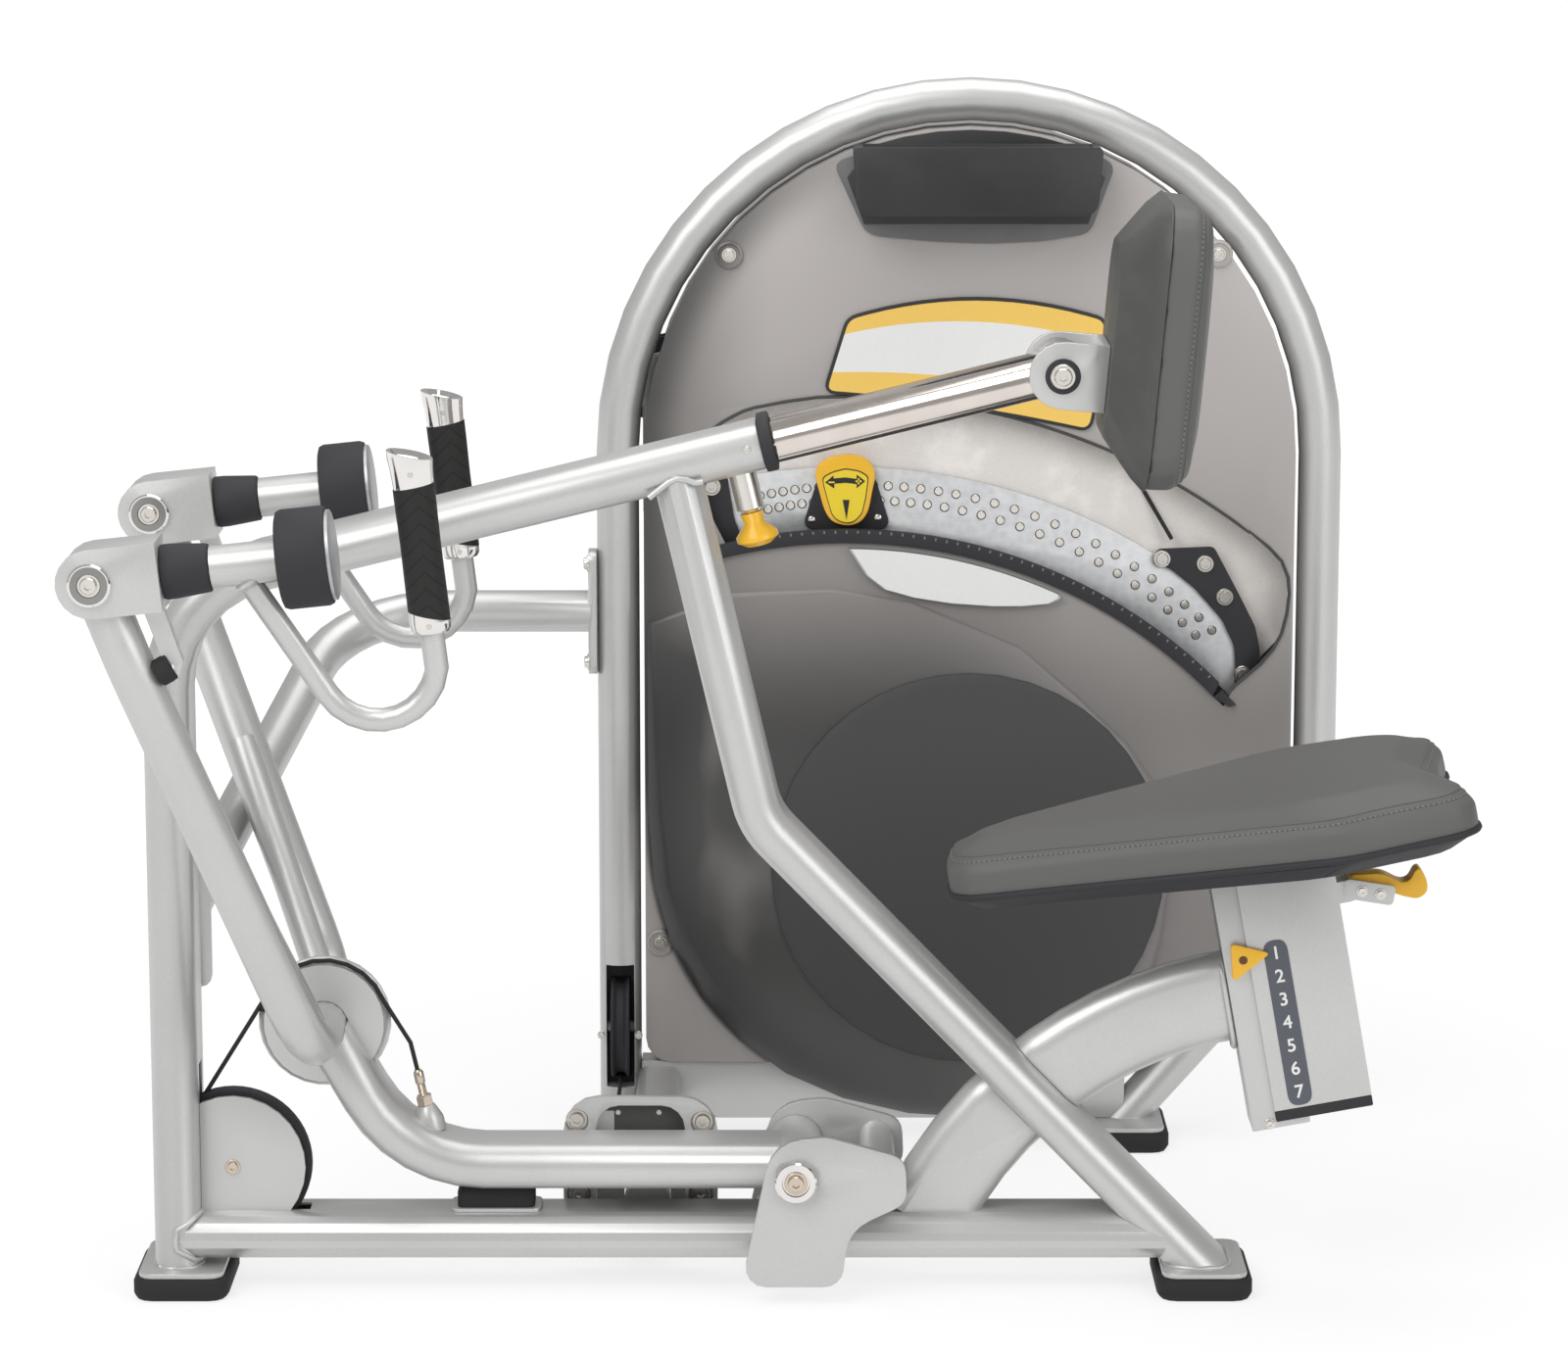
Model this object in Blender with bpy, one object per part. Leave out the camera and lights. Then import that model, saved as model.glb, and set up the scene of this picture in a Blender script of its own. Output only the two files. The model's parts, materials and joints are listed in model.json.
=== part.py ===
"""Seated row machine with a chest pad, an enclosed weight tower and a cable drive.

Metres, +Z up. The user sits at +X, faces -X and pulls the handles towards +X; the tower stands at +Y.
Places below are in the machine's own frame: y is 0 in the plane of the main frame, z is 0 on the floor.
The last step moves everything so that the origin lies under the middle of the machine.
"""

import math

import bmesh
import bpy
from mathutils import Vector

# Stock and clearances
GAP = 0.0003
RUN_GAP = 0.001
TUBE_FLAT = 0.0508
TUBE_WIDE = 0.1016
TUBE_WALL = 0.003
ROUND_TUBE = 0.0508
PLATE = 0.010
WELD = 0.003
CABLE = 0.005
SIDES = 16

# Main frame
POST_X = -0.668
POST_BEND = 0.14
BEAM_ANGLE = math.radians(13.8)
CHEST_PIVOT = Vector((0.2965, 0.0, 1.0185))
BEAM_TO_CHEST_PIVOT = 0.3305
BASE_Z = 0.063
BRACE_TOP_X = -0.118
BRACE_KNEE = Vector((-0.026, 0.0, 0.527))
BRACE_FOOT_X = 0.462
BRACE_BEND = 0.09
FOOT_LENGTH = 0.105
FOOT_WIDTH = 0.150
FOOT_PAD = 0.024
FOOT_PLATE = 0.006
FOOT_INSET = 0.006
FOOT_CORNER = 0.022
FRONT_FOOT_SHIFT = 0.006
BUMPER_X = -0.3175
BUMPER_LENGTH = 0.085
BUMPER_WIDTH = 0.044
BUMPER_EDGE = 0.008

# Row arm
PIVOT = Vector((0.013, 0.0, 0.142))
PIVOT_PLATE_Y = 0.0765
HUB_RADIUS = 0.030
SHAFT_RADIUS = 0.016
SHAFT_CAP = 0.021
SHAFT_HEAD = 0.010
CROSS_TUBE = 0.038
LEVER_BEND_X = -0.417
LEVER_BEND = 0.15
LEVER_STOP = 0.010
YOKE_CROSS = Vector((-0.505, 0.0, 0.298))
YOKE_HALF_WIDTH = 0.150
YOKE_BEND = 0.085
HANDLE_PIVOT = Vector((-0.712, 0.0, 0.831))
ARM_Y = 0.250
ARM_STRAIGHT = 0.17
STRUT_TUBE = 0.034
STRUT_ROOT_Y = 0.075
STRUT_REACH = 0.52
GUIDE_RADIUS = 0.073
GUIDE_WIDTH = 0.018
GROOVE = 0.007
ARM_ANCHOR = Vector((0.107, 0.0, -0.079))

# Handles, in the frame of the handle's own axis
HANDLE_TILT = math.radians(6.0)
CLEVIS_RADIUS = 0.036
CLEVIS_LENGTH = 0.071
CLEVIS_WIDTH = 0.072
CLEVIS_WALL = 0.0085
CLEVIS_SLOT_END = 0.044
CLEVIS_ROOF = 0.006
PIN_RADIUS = 0.008
STOP_TAB = 0.008
STOP_ALONG = 0.118
STOP_LENGTH = 0.018
STOP_RADIUS = 0.011
PIN_HEAD = 0.020
SLEEVE_LENGTH = 0.050
SLEEVE_ROOT_RADIUS = 0.029
SLEEVE_TIP_RADIUS = 0.0255
SPINDLE_RADIUS = 0.014
SWIVEL_RADIUS = 0.0225
SWIVEL_END = 0.247
WEIGHT_START = 0.193
WEIGHT_LENGTH = 0.053
WEIGHT_RADIUS = 0.052
LOOP_TUBE = 0.0254
LOOP_RADIUS = 0.062
LOOP_CENTRE = Vector((-0.4210, 0.0, 0.7450))
LOOP_SLOPE = math.radians(56.0)
GRIP_TOP_Z = 0.966
GRIP_BOTTOM_Z = 0.773
GRIP_RADIUS = 0.0205
GRIP_LEAN = math.radians(7.0)

# Chest support
CHEST_INSERT = 0.22
COLLAR_LENGTH = 0.013
COLLAR_RIM = 0.004
PAD_LEAN = math.radians(5.0)
PAD_CENTRE = Vector((0.419, 0.0, 1.049))
PAD_HEIGHT = 0.312
PAD_WIDTH = 0.270
PAD_THICK = 0.046
PAD_CORNER = 0.060
PAD_EDGE = 0.017
SHELL_DEPTH = 0.048
SHELL_WAIST = 0.030
BRACKET_RADIUS = 0.036
BRACKET_PLATE = 0.008
POP_PIN_X = -0.052
POP_BARREL = 0.0155
POP_BARREL_LENGTH = 0.044
POP_KNOB = 0.023
POP_KNOB_LENGTH = 0.036
POP_ROD = 0.006

# Seat
RAIL_LEAN = math.radians(10.3)
RAIL_FOOT = Vector((0.5146, 0.0, 0.1812))
RAIL_DEPTH = 0.064
RAIL_WIDTH = 0.0635
RAIL_LENGTH = 0.280
SUPPORT_START = Vector((0.155, 0.0, 0.075))
SUPPORT_END_ALONG = 0.150
CARRIAGE_START = 0.027
CARRIAGE_DEPTH = 0.1076
CARRIAGE_WALL = 0.004
CARRIAGE_LOW = 0.020
CARRIAGE_HIGH = 0.300
END_CAP = 0.012
SEAT_PAN = 0.016
SEAT_LENGTH = 0.585
SEAT_NOSE_WIDTH = 0.120
SEAT_REAR_WIDTH = 0.400
SEAT_THICK = 0.062
SEAT_NOSE_ALONG = -0.365
SEAT_DIP = 0.030
SEAT_SHOULDER = 0.160
LEVER_WIDTH = 0.030
LEVER_ROOT = 0.012
LEVER_ALONG = 0.246
LEVER_PIN = 0.004
LEVER_LUG = 0.005

# Tower
TOWER_Y = 0.600
ARCH_X = 0.221
ARCH_Z = 0.849
ARCH_RADIUS = 0.420
RIGHT_KNEE_Z = 0.285
RIGHT_FOOT_X = 0.415
RIGHT_BEND = 0.14
LEG_SLOT_WIDTH = 0.034
LEG_SLOT_LOW = 0.070
LEG_SLOT_HIGH = 0.222
TOWER_BASE_HEIGHT = 0.072
BRIDGE_SHIFT = 0.0465
BRIDGE_Z = 0.0705
BRIDGE_CORNER = 0.012
FLANGE_SHIFT = 0.039
FLANGE_Z = 0.1125
FLANGE_WIDTH = 0.172
FLANGE_HEIGHT = 0.172
FLANGE_CORNER = 0.040
PORT_WIDTH = 0.099
PORT_LOW = 0.052
PORT_HIGH = 0.189
PORT_CORNER = 0.026
BRACE_Z = 0.655
BRACE_BEND_X = -0.528
BRACE_POST_Z = 0.400
BRACE_PLATE_HEIGHT = 0.150
POST_PLATE_WIDTH = 0.068
LEG_PLATE_WIDTH = 0.044
PLATE_CORNER = 0.012
COVER_GAP = 0.006
COVER_WALL = 0.004
SHROUD_FORWARD = 0.028
SHROUD_RIM = 0.032
REAR_RIM_SETBACK = 0.050
REAR_RIM = 0.050
COVER_BOTTOM_Z = 0.103
DISC_CENTRE = Vector((0.2216, 0.0, 0.322))
DISC_RADIUS = 0.237
DISC_LIFT = 0.027
DISC_THICK = 0.009
DISC_EDGE = 0.012
DRUM_SHIFT = 0.030
DRUM_LIFT = 0.068
DRUM_DROP = 0.381
DRUM_SQUARENESS = 2.3
DRUM_TOP = 0.230
DRUM_MARGIN = 0.010
DRUM_RISE = 0.034
DRUM_SLOPE = 0.050
DRUM_LEAN = math.radians(70.0)
DRUM_EDGE = 0.030
DRUM_SPIRAL = ((38.0, 0.006), (57.0, 0.008), (77.0, 0.037), (102.0, 0.092), (116.0, 0.139), (131.0, 0.205))
HEADER_DEPTH = 0.072
HEADER_WALL = 0.006
HEADER_BACK = 0.009
HEADER_WIDTH = 0.292
HEADER_HEIGHT = 0.080
HEADER_SKIRT = 0.038
HEADER_DROP = 0.019
HEADER_SHIFT = 0.0055

# Weight system
ARC_CENTRE = Vector((0.075, 0.0, 0.129))
ARC_INNER = 0.626
ARC_BAND = 0.075
ARC_LEFT = math.radians(-17.0)
ARC_MARGIN = 0.0525
ARC_RIGHT_SLANT = math.radians(5.0)
QUADRANT_FORWARD = 0.0015
QUADRANT_PLATE = 0.008
QUADRANT_PIVOT_ANGLE = math.radians(-13.6)
QUADRANT_PIVOT_INSET = 0.050
WINDOW_RISE = 0.088
WINDOW_DROP = 0.012
WINDOW_LEFT = math.radians(-11.0)
WINDOW_EDGE = 0.002
END_BRACKET = 0.006
ANCHOR_RISE = 0.101
ANCHOR_TURN = math.radians(-10.5)
WEIGHT_DISC_RADIUS = 0.190
WEIGHT_DISC = 0.0435
SELECTOR_STEP = 0.006
SELECTOR_PLATE = 0.0055
SELECTOR_WIDTH = 0.108
TRIGGER_WIDTH = 0.072
TRIGGER_LIFT = 0.012
TRIGGER_RISE = 0.022
TRIGGER_STEP = 0.014
TRIGGER_PLATE = 0.0135

# Pulleys and cable
PULLEY_WIDTH = 0.022
PULLEY_PLATE = 0.006
PULLEY_GUARD = 0.010
CABLE_WINDOW = 0.012
FRONT_PULLEY_REACH = 0.061
FRONT_PULLEY_Z = 0.138
FRONT_GROOVE = 0.064
BASE_GROOVE = 0.026
LEG_GROOVE = 0.056
LEG_PULLEY_Z = 0.141
TOP_GROOVE = 0.046
UPPER_PULLEY_Z = 0.930
DROP_PULLEY = Vector((0.250, 0.0, 1.010))
PULLEY_RIM = 0.006
STUD_RADIUS = 0.007

# Values that follow from the sizes above
TUBE_R = TUBE_FLAT / 2
ROUND_R = ROUND_TUBE / 2
FLOOR_PLATE_TOP = FOOT_PAD + GAP + FOOT_PLATE
BEAM_DIR = Vector((math.cos(BEAM_ANGLE), 0.0, math.sin(BEAM_ANGLE)))
BEAM_DOWN = Vector((math.sin(BEAM_ANGLE), 0.0, -math.cos(BEAM_ANGLE)))
BEAM_END = CHEST_PIVOT - BEAM_DIR * BEAM_TO_CHEST_PIVOT
POST_CORNER = Vector((POST_X, 0.0, CHEST_PIVOT.z - (CHEST_PIVOT.x - POST_X) * math.tan(BEAM_ANGLE)))
RAIL_UP = Vector((-math.sin(RAIL_LEAN), 0.0, math.cos(RAIL_LEAN)))
RAIL_OUT = Vector((math.cos(RAIL_LEAN), 0.0, math.sin(RAIL_LEAN)))
CARRIAGE_WIDTH = RAIL_WIDTH + 2 * (CARRIAGE_WALL + RUN_GAP)
SHROUD_FRONT = TOWER_Y - SHROUD_FORWARD
SHROUD_RIM_END = SHROUD_FRONT + SHROUD_RIM
REAR_RIM_START = TOWER_Y + REAR_RIM_SETBACK
REAR_BACK = REAR_RIM_START + REAR_RIM
QUADRANT_Y = TOWER_Y - QUADRANT_FORWARD
SELECTOR_Y = QUADRANT_Y - SELECTOR_STEP
TRIGGER_Y = SELECTOR_Y - TRIGGER_STEP
LEG_X = ARCH_X - ARCH_RADIUS
BRIDGE_X = LEG_X + BRIDGE_SHIFT
FLANGE_X = LEG_X + FLANGE_SHIFT
RIGHT_LEG_X = ARCH_X + ARCH_RADIUS
ROPE_OFFSET = CABLE / 2 + RUN_GAP
FRONT_PULLEY = Vector((POST_X + FRONT_PULLEY_REACH, 0.0, FRONT_PULLEY_Z))
LEG_PULLEY = Vector((LEG_X, TOWER_Y, LEG_PULLEY_Z))
TOP_Y = TOWER_Y + LEG_GROOVE + ROPE_OFFSET
UPPER_PULLEY = Vector((LEG_X + TOP_GROOVE + ROPE_OFFSET, TOP_Y, UPPER_PULLEY_Z))
BASE_ROPE_Y = -0.020
BASE_PULLEY = Vector((LEG_X - BASE_GROOVE - ROPE_OFFSET, BASE_ROPE_Y + BASE_GROOVE + ROPE_OFFSET, BASE_Z))
COVER_DISC = DISC_CENTRE + Vector((0.0, 0.0, DISC_LIFT))
DRUM_CENTRE = COVER_DISC + Vector((DRUM_SHIFT, 0.0, DRUM_LIFT))
DRUM_LEFT = LEG_X + ROUND_R + COVER_GAP + COVER_WALL
HANDLE_DIR = Vector((math.cos(HANDLE_TILT), 0.0, math.sin(HANDLE_TILT)))
HANDLE_UP = Vector((-math.sin(HANDLE_TILT), 0.0, math.cos(HANDLE_TILT)))
ARC_OUTER = ARC_INNER + ARC_BAND
RIM_X = RIGHT_LEG_X - ROUND_R - COVER_GAP - COVER_WALL
ARC_RIGHT = math.asin((RIM_X - ARC_MARGIN - ARC_CENTRE.x) / ARC_OUTER)
QUADRANT_PIVOT = ARC_CENTRE + (ARC_INNER + QUADRANT_PIVOT_INSET) * Vector(
    (math.sin(QUADRANT_PIVOT_ANGLE), 0.0, math.cos(QUADRANT_PIVOT_ANGLE)))
SIDE_SIGN = {"near": -1.0, "far": 1.0}

SILVER = ("silver_paint", (0.56, 0.56, 0.55), 0.35, 0.7)
CHROME = ("chrome", (0.72, 0.70, 0.67), 0.12, 1.0)
BLACK = ("black_plastic", (0.025, 0.025, 0.027), 0.45, 0.0)
RUBBER = ("black_rubber", (0.02, 0.02, 0.02), 0.75, 0.0)
VINYL = ("grey_vinyl", (0.11, 0.11, 0.105), 0.5, 0.0)
SHROUD = ("grey_shroud", (0.30, 0.285, 0.275), 0.35, 0.0)
DARK = ("dark_shroud", (0.06, 0.06, 0.06), 0.4, 0.0)
AMBER = ("amber_plastic", (0.9, 0.5, 0.03), 0.4, 0.0)
STEEL = ("steel_plate", (0.5, 0.5, 0.5), 0.4, 0.9)

BODIES = {}


def side(x, z, y):
    """Place an outline drawn in the machine's side view, pushed along y."""
    return Vector((x, y, z))


def plan(x, y, z):
    """Place an outline drawn from above, pushed along z."""
    return Vector((x, y, z))


def frame_of(origin, right, up):
    """Return a placing function for an outline drawn along right and up, pushed along their cross product."""
    push = right.cross(up)
    return lambda a, b, c: origin + right * a + up * b + push * c


def material(look):
    """Return the named Principled material, made once."""
    name, colour, roughness, metallic = look
    found = bpy.data.materials.get(name)
    if found:
        return found
    made = bpy.data.materials.new(name)
    made.use_nodes = True
    shader = made.node_tree.nodes["Principled BSDF"]
    shader.inputs["Base Color"].default_value = (*colour, 1.0)
    shader.inputs["Roughness"].default_value = roughness
    shader.inputs["Metallic"].default_value = metallic
    made.diffuse_color = (*colour, 1.0)
    return made


def body(name, origin, parent=None):
    """Add the empty that carries a moving body, on its joint's axis."""
    empty = bpy.data.objects.new("body_" + name, None)
    bpy.context.scene.collection.objects.link(empty)
    holder = BODIES.get(parent)
    if holder:
        empty.parent = holder["empty"]
        empty.location = origin - holder["origin"]
    else:
        empty.location = origin
    BODIES[name] = {"empty": empty, "origin": Vector(origin)}


def add(name, shape, look, on="frame"):
    """Turn a bmesh into a named object on a body."""
    holder = BODIES[on]
    bmesh.ops.remove_doubles(shape, verts=shape.verts, dist=1e-6)
    bmesh.ops.recalc_face_normals(shape, faces=shape.faces)
    bmesh.ops.translate(shape, verts=shape.verts, vec=-holder["origin"])
    mesh = bpy.data.meshes.new(name)
    shape.to_mesh(mesh)
    shape.free()
    mesh.materials.append(material(look))
    mesh.shade_smooth()
    mesh.set_sharp_from_angle(angle=math.radians(35))
    made = bpy.data.objects.new(name, mesh)
    bpy.context.scene.collection.objects.link(made)
    made.parent = holder["empty"]
    return made


def cutter(shape, on="frame"):
    """Turn a bmesh into a hidden helper for Booleans."""
    made = add("helper", shape, STEEL, on)
    made.hide_render = True
    made.display_type = "WIRE"
    return made


def boolean(target, operation, *helpers):
    """Join helpers to the target, or cut them from it."""
    for helper in helpers:
        modifier = target.modifiers.new(operation.lower(), "BOOLEAN")
        modifier.operation = operation
        modifier.object = helper
        modifier.solver = "EXACT"
    return target


def arc(centre, radius, start, end, steps):
    """Return 2D points on an arc, angles in radians from the first axis."""
    span = [start + (end - start) * i / steps for i in range(steps + 1)]
    return [(centre[0] + radius * math.cos(a), centre[1] + radius * math.sin(a)) for a in span]


def bow(centre, radius, start, end, steps):
    """Return side-view points on an arc, angles in radians clockwise from straight up."""
    return arc(centre, radius, math.pi / 2 - start, math.pi / 2 - end, steps)


def rounded(corners, radius, steps=4):
    """Return an outline with each corner filleted; radius is one value or one for each corner."""
    radii = radius if isinstance(radius, (list, tuple)) else [radius] * len(corners)
    outline = []
    for i, corner in enumerate(corners):
        here = Vector(corner)
        before = (Vector(corners[i - 1]) - here).normalized()
        after = (Vector(corners[(i + 1) % len(corners)]) - here).normalized()
        outline += fillet(here, before, after, radii[i], steps)
    return [tuple(point) for point in outline]


def fillet(here, before, after, radius, steps):
    """Return the points of a fillet at a corner, given unit vectors towards its two neighbours."""
    half = before.angle(after) / 2
    if radius <= 0 or half > math.radians(89.5):
        return [here]
    centre = here + (before + after).normalized() * radius / math.sin(half)
    first = here + before * radius / math.tan(half)
    last = here + after * radius / math.tan(half)
    turn = math.pi - 2 * half
    out = []
    for i in range(steps + 1):
        t = i / steps
        a = math.sin((1 - t) * turn) / math.sin(turn)
        b = math.sin(t * turn) / math.sin(turn)
        out.append(centre + (first - centre) * a + (last - centre) * b)
    return out


def bent(points, radius, steps=6):
    """Return a path with its inner corners filleted; radius is one value or one for each inner corner."""
    inner = len(points) - 2
    radii = radius if isinstance(radius, (list, tuple)) else [radius] * inner
    path = [points[0]]
    for i in range(1, len(points) - 1):
        before = (points[i - 1] - points[i]).normalized()
        after = (points[i + 1] - points[i]).normalized()
        path += fillet(points[i], before, after, radii[i - 1], steps)
    return path + [points[-1]]


def stadium(height, width):
    """Return a flat-oval section: height along the bend plane, half-round where it is longer."""
    small, large = sorted((height, width))
    radius, run = small / 2, (large - small) / 2
    quarter = SIDES // 4
    half = [(radius * math.cos(math.pi * i / (2 * quarter)), radius * math.sin(math.pi * i / (2 * quarter)))
            for i in range(2 * quarter + 1)]
    ends = [(c, s + run) for c, s in half] + [(-c, -s - run) for c, s in half]
    return ends if width >= height else [(s, -c) for c, s in ends]


def circle(radius, sides=SIDES):
    """Return a round section."""
    return [(radius * math.cos(2 * math.pi * i / sides), radius * math.sin(2 * math.pi * i / sides))
            for i in range(sides)]


def frames(path, across):
    """Return the section axes at each path point, turned as little as possible from one to the next."""
    count = len(path)
    found = []
    for i in range(count):
        tangent = (path[min(i + 1, count - 1)] - path[max(i - 1, 0)]).normalized()
        across = (across - tangent * across.dot(tangent)).normalized()
        found.append((tangent.cross(across), across))
    return found


def ring(shape, centre, axes, section):
    """Add one section's points and return them."""
    return [shape.verts.new(centre + axes[0] * a + axes[1] * b) for a, b in section]


def skin(shape, rings, close=False):
    """Join successive rings with faces."""
    pairs = list(zip(rings, rings[1:]))
    if close:
        pairs.append((rings[-1], rings[0]))
    for low, high in pairs:
        count = len(low)
        for i in range(count):
            j = (i + 1) % count
            shape.faces.new((low[i], low[j], high[j], high[i]))


def sweep(path, section, across=Vector((0.0, 1.0, 0.0)), bore=None):
    """Sweep a section along a path, solid with capped ends, or with a bore of its own section."""
    shape = bmesh.new()
    axes = frames(path, across)
    outer = [ring(shape, p, a, section) for p, a in zip(path, axes)]
    if bore is None:
        skin(shape, outer)
        shape.faces.new(outer[0])
        shape.faces.new(outer[-1])
        return shape
    inner = [ring(shape, p, a, bore) for p, a in zip(path, axes)]
    skin(shape, outer + inner[::-1], close=True)
    return shape


def prism(outline, low, high, place=side):
    """Push an outline from low to high."""
    shape = bmesh.new()
    rings = [[shape.verts.new(place(a, b, c)) for a, b in outline] for c in (low, high)]
    skin(shape, rings)
    for end in rings:
        shape.faces.new(end)
    return shape


def loft(levels, place):
    """Stack outlines of equal length, each with its height, and cap the ends."""
    shape = bmesh.new()
    rings = [[shape.verts.new(place(a, b, height)) for a, b in outline] for outline, height in levels]
    skin(shape, rings)
    shape.faces.new(rings[0])
    shape.faces.new(rings[-1])
    return shape


def turned(profile, start, axis, sides=SIDES, closed=False):
    """Turn a profile of (radius, height) about an axis; closed profiles make a ring with a bore."""
    shape = bmesh.new()
    axis = axis.normalized()
    across = axis.orthogonal().normalized()
    other = axis.cross(across)
    rings = []
    for radius, height in profile:
        centre = start + axis * height
        rings.append([shape.verts.new(centre + across * a + other * b) for a, b in circle(radius, sides)])
    skin(shape, rings, close=closed)
    if not closed:
        shape.faces.new(rings[0])
        shape.faces.new(rings[-1])
    return shape


def cylinder(radius, start, end, sides=SIDES):
    """Return a plain cylinder between two points."""
    return turned([(radius, 0.0), (radius, (end - start).length)], start, end - start, sides)


def box(low, high):
    """Return a box between two corners."""
    outline = [(low[0], low[1]), (high[0], low[1]), (high[0], high[1]), (low[0], high[1])]
    return prism(outline, low[2], high[2], plan)


def rope(name, points, on):
    """Add a length of cable as a bevelled curve."""
    origin = BODIES[on]["origin"]
    curve = bpy.data.curves.new(name, "CURVE")
    curve.dimensions = "3D"
    curve.bevel_depth = CABLE / 2
    curve.bevel_resolution = 2
    curve.use_fill_caps = True
    spline = curve.splines.new("POLY")
    spline.points.add(len(points) - 1)
    for slot, point in zip(spline.points, points):
        slot.co = (*(point - origin), 1.0)
    curve.materials.append(material(RUBBER))
    made = bpy.data.objects.new(name, curve)
    bpy.context.scene.collection.objects.link(made)
    made.parent = BODIES[on]["empty"]
    return made


def foot_outline(centre, inset=0.0):
    """Return a foot's rounded rectangle, seen from above."""
    x, y = FOOT_LENGTH / 2 - inset, FOOT_WIDTH / 2 - inset
    corners = [(-x, -y), (x, -y), (x, y), (-x, y)]
    return rounded([(centre[0] + a, centre[1] + b) for a, b in corners], FOOT_CORNER - inset, 3)


def foot(name, x, y):
    """Add a rubber foot pad and return the helper for the steel plate that stands on it."""
    shape = loft([(foot_outline((x, y), 0.004), 0.0), (foot_outline((x, y)), 0.006),
                  (foot_outline((x, y)), FOOT_PAD - 0.004), (foot_outline((x, y), 0.003), FOOT_PAD)], plan)
    add(name, shape, RUBBER)
    return cutter(prism(foot_outline((x, y), FOOT_INSET), FOOT_PAD + GAP, FLOOR_PLATE_TOP, plan))


def post_path():
    """Return the centre line of the post and beam."""
    bottom = Vector((POST_X, 0.0, FLOOR_PLATE_TOP - WELD))
    return bent([bottom, POST_CORNER, BEAM_END], POST_BEND)


def brace_path():
    """Return the centre line of the rear brace."""
    top = Vector((BRACE_TOP_X, 0.0, POST_CORNER.z + (BRACE_TOP_X - POST_X) * math.tan(BEAM_ANGLE)))
    slope = Vector((BRACE_FOOT_X, 0.0, FOOT_PAD)) - BRACE_KNEE
    return bent([top, BRACE_KNEE, BRACE_KNEE + slope * 1.08], BRACE_BEND)


def lever_path(stop=LEVER_STOP):
    """Return the centre line of the row lever, ending short of the yoke's middle."""
    bend = Vector((LEVER_BEND_X, 0.0, PIVOT.z))
    return bent([PIVOT, bend, YOKE_CROSS + (bend - YOKE_CROSS).normalized() * stop], LEVER_BEND)


def yoke_path():
    """Return the centre line of the U-shaped yoke, near handle pivot to far handle pivot."""
    down = YOKE_CROSS - HANDLE_PIVOT
    half = []
    for along, y in ((0.0, ARM_Y), (ARM_STRAIGHT, ARM_Y), (1.0, YOKE_HALF_WIDTH)):
        half.append(HANDLE_PIVOT + down * along + Vector((0.0, y, 0.0)))
    near = [Vector((p.x, -p.y, p.z)) for p in half]
    return bent(near + half[::-1], [0.25, YOKE_BEND, YOKE_BEND, 0.25], 4)


def make_main_frame():
    """Post and beam, base, rear brace, seat support, feet, pivot bracket and stop."""
    oval = stadium(TUBE_FLAT, TUBE_WIDE)
    oval_bore = stadium(TUBE_FLAT - 2 * TUBE_WALL, TUBE_WIDE - 2 * TUBE_WALL)
    oval_clear = stadium(TUBE_FLAT + 2 * GAP, TUBE_WIDE + 2 * GAP)
    post_clear = cutter(sweep(post_path(), oval_clear))
    brace_clear = cutter(sweep(brace_path(), oval_clear))

    post = add("post_beam", sweep(post_path(), oval, bore=oval_bore), SILVER)
    slot_half = PULLEY_WIDTH / 2 + 2 * RUN_GAP
    post_slot = cutter(box((POST_X - TUBE_R + TUBE_WALL, -slot_half, BASE_Z - TUBE_R + TUBE_WALL),
                           (POST_X + TUBE_FLAT, slot_half, FRONT_PULLEY.z + FRONT_GROOVE + TUBE_FLAT)))
    boolean(post, "UNION", foot("front_foot_pad", POST_X + FRONT_FOOT_SHIFT, 0.0))
    boolean(post, "DIFFERENCE", post_slot)

    base_line = [Vector((POST_X, 0.0, BASE_Z)), Vector((base_end_x(), 0.0, BASE_Z))]
    base = add("base_tube", sweep(base_line, oval, bore=oval_bore), SILVER)
    add_base_fittings(base)
    boolean(base, "DIFFERENCE", post_clear, brace_clear)

    brace = add("rear_brace", sweep(brace_path(), oval), SILVER)
    boolean(brace, "DIFFERENCE", cutter(box((0.2, -0.2, -0.3), (0.8, 0.2, FLOOR_PLATE_TOP - WELD))), post_clear)
    boolean(brace, "UNION", foot("rear_foot_pad", BRACE_FOOT_X, 0.0))

    make_seat_support(brace_clear)
    make_pivot_bracket()
    lever_bottom = PIVOT.z - TUBE_R
    base_top = BASE_Z + TUBE_R
    bumper = []
    levels = ((0.0, base_top + GAP), (0.0, lever_bottom - BUMPER_EDGE), (BUMPER_EDGE / 2, lever_bottom - GAP))
    for inset, z in levels:
        x, y = BUMPER_LENGTH / 2 - inset, BUMPER_WIDTH / 2 - inset
        corners = [(BUMPER_X - x, -y), (BUMPER_X + x, -y), (BUMPER_X + x, y), (BUMPER_X - x, y)]
        bumper.append((rounded(corners, BUMPER_EDGE), z))
    add("stop_bumper", loft(bumper, plan), RUBBER)


def base_end_x():
    """Return where the base tube's middle meets the brace's middle."""
    fall = (BRACE_KNEE.z - FOOT_PAD) / (BRACE_FOOT_X - BRACE_KNEE.x)
    return BRACE_KNEE.x + (BRACE_KNEE.z - BASE_Z) / fall


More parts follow.
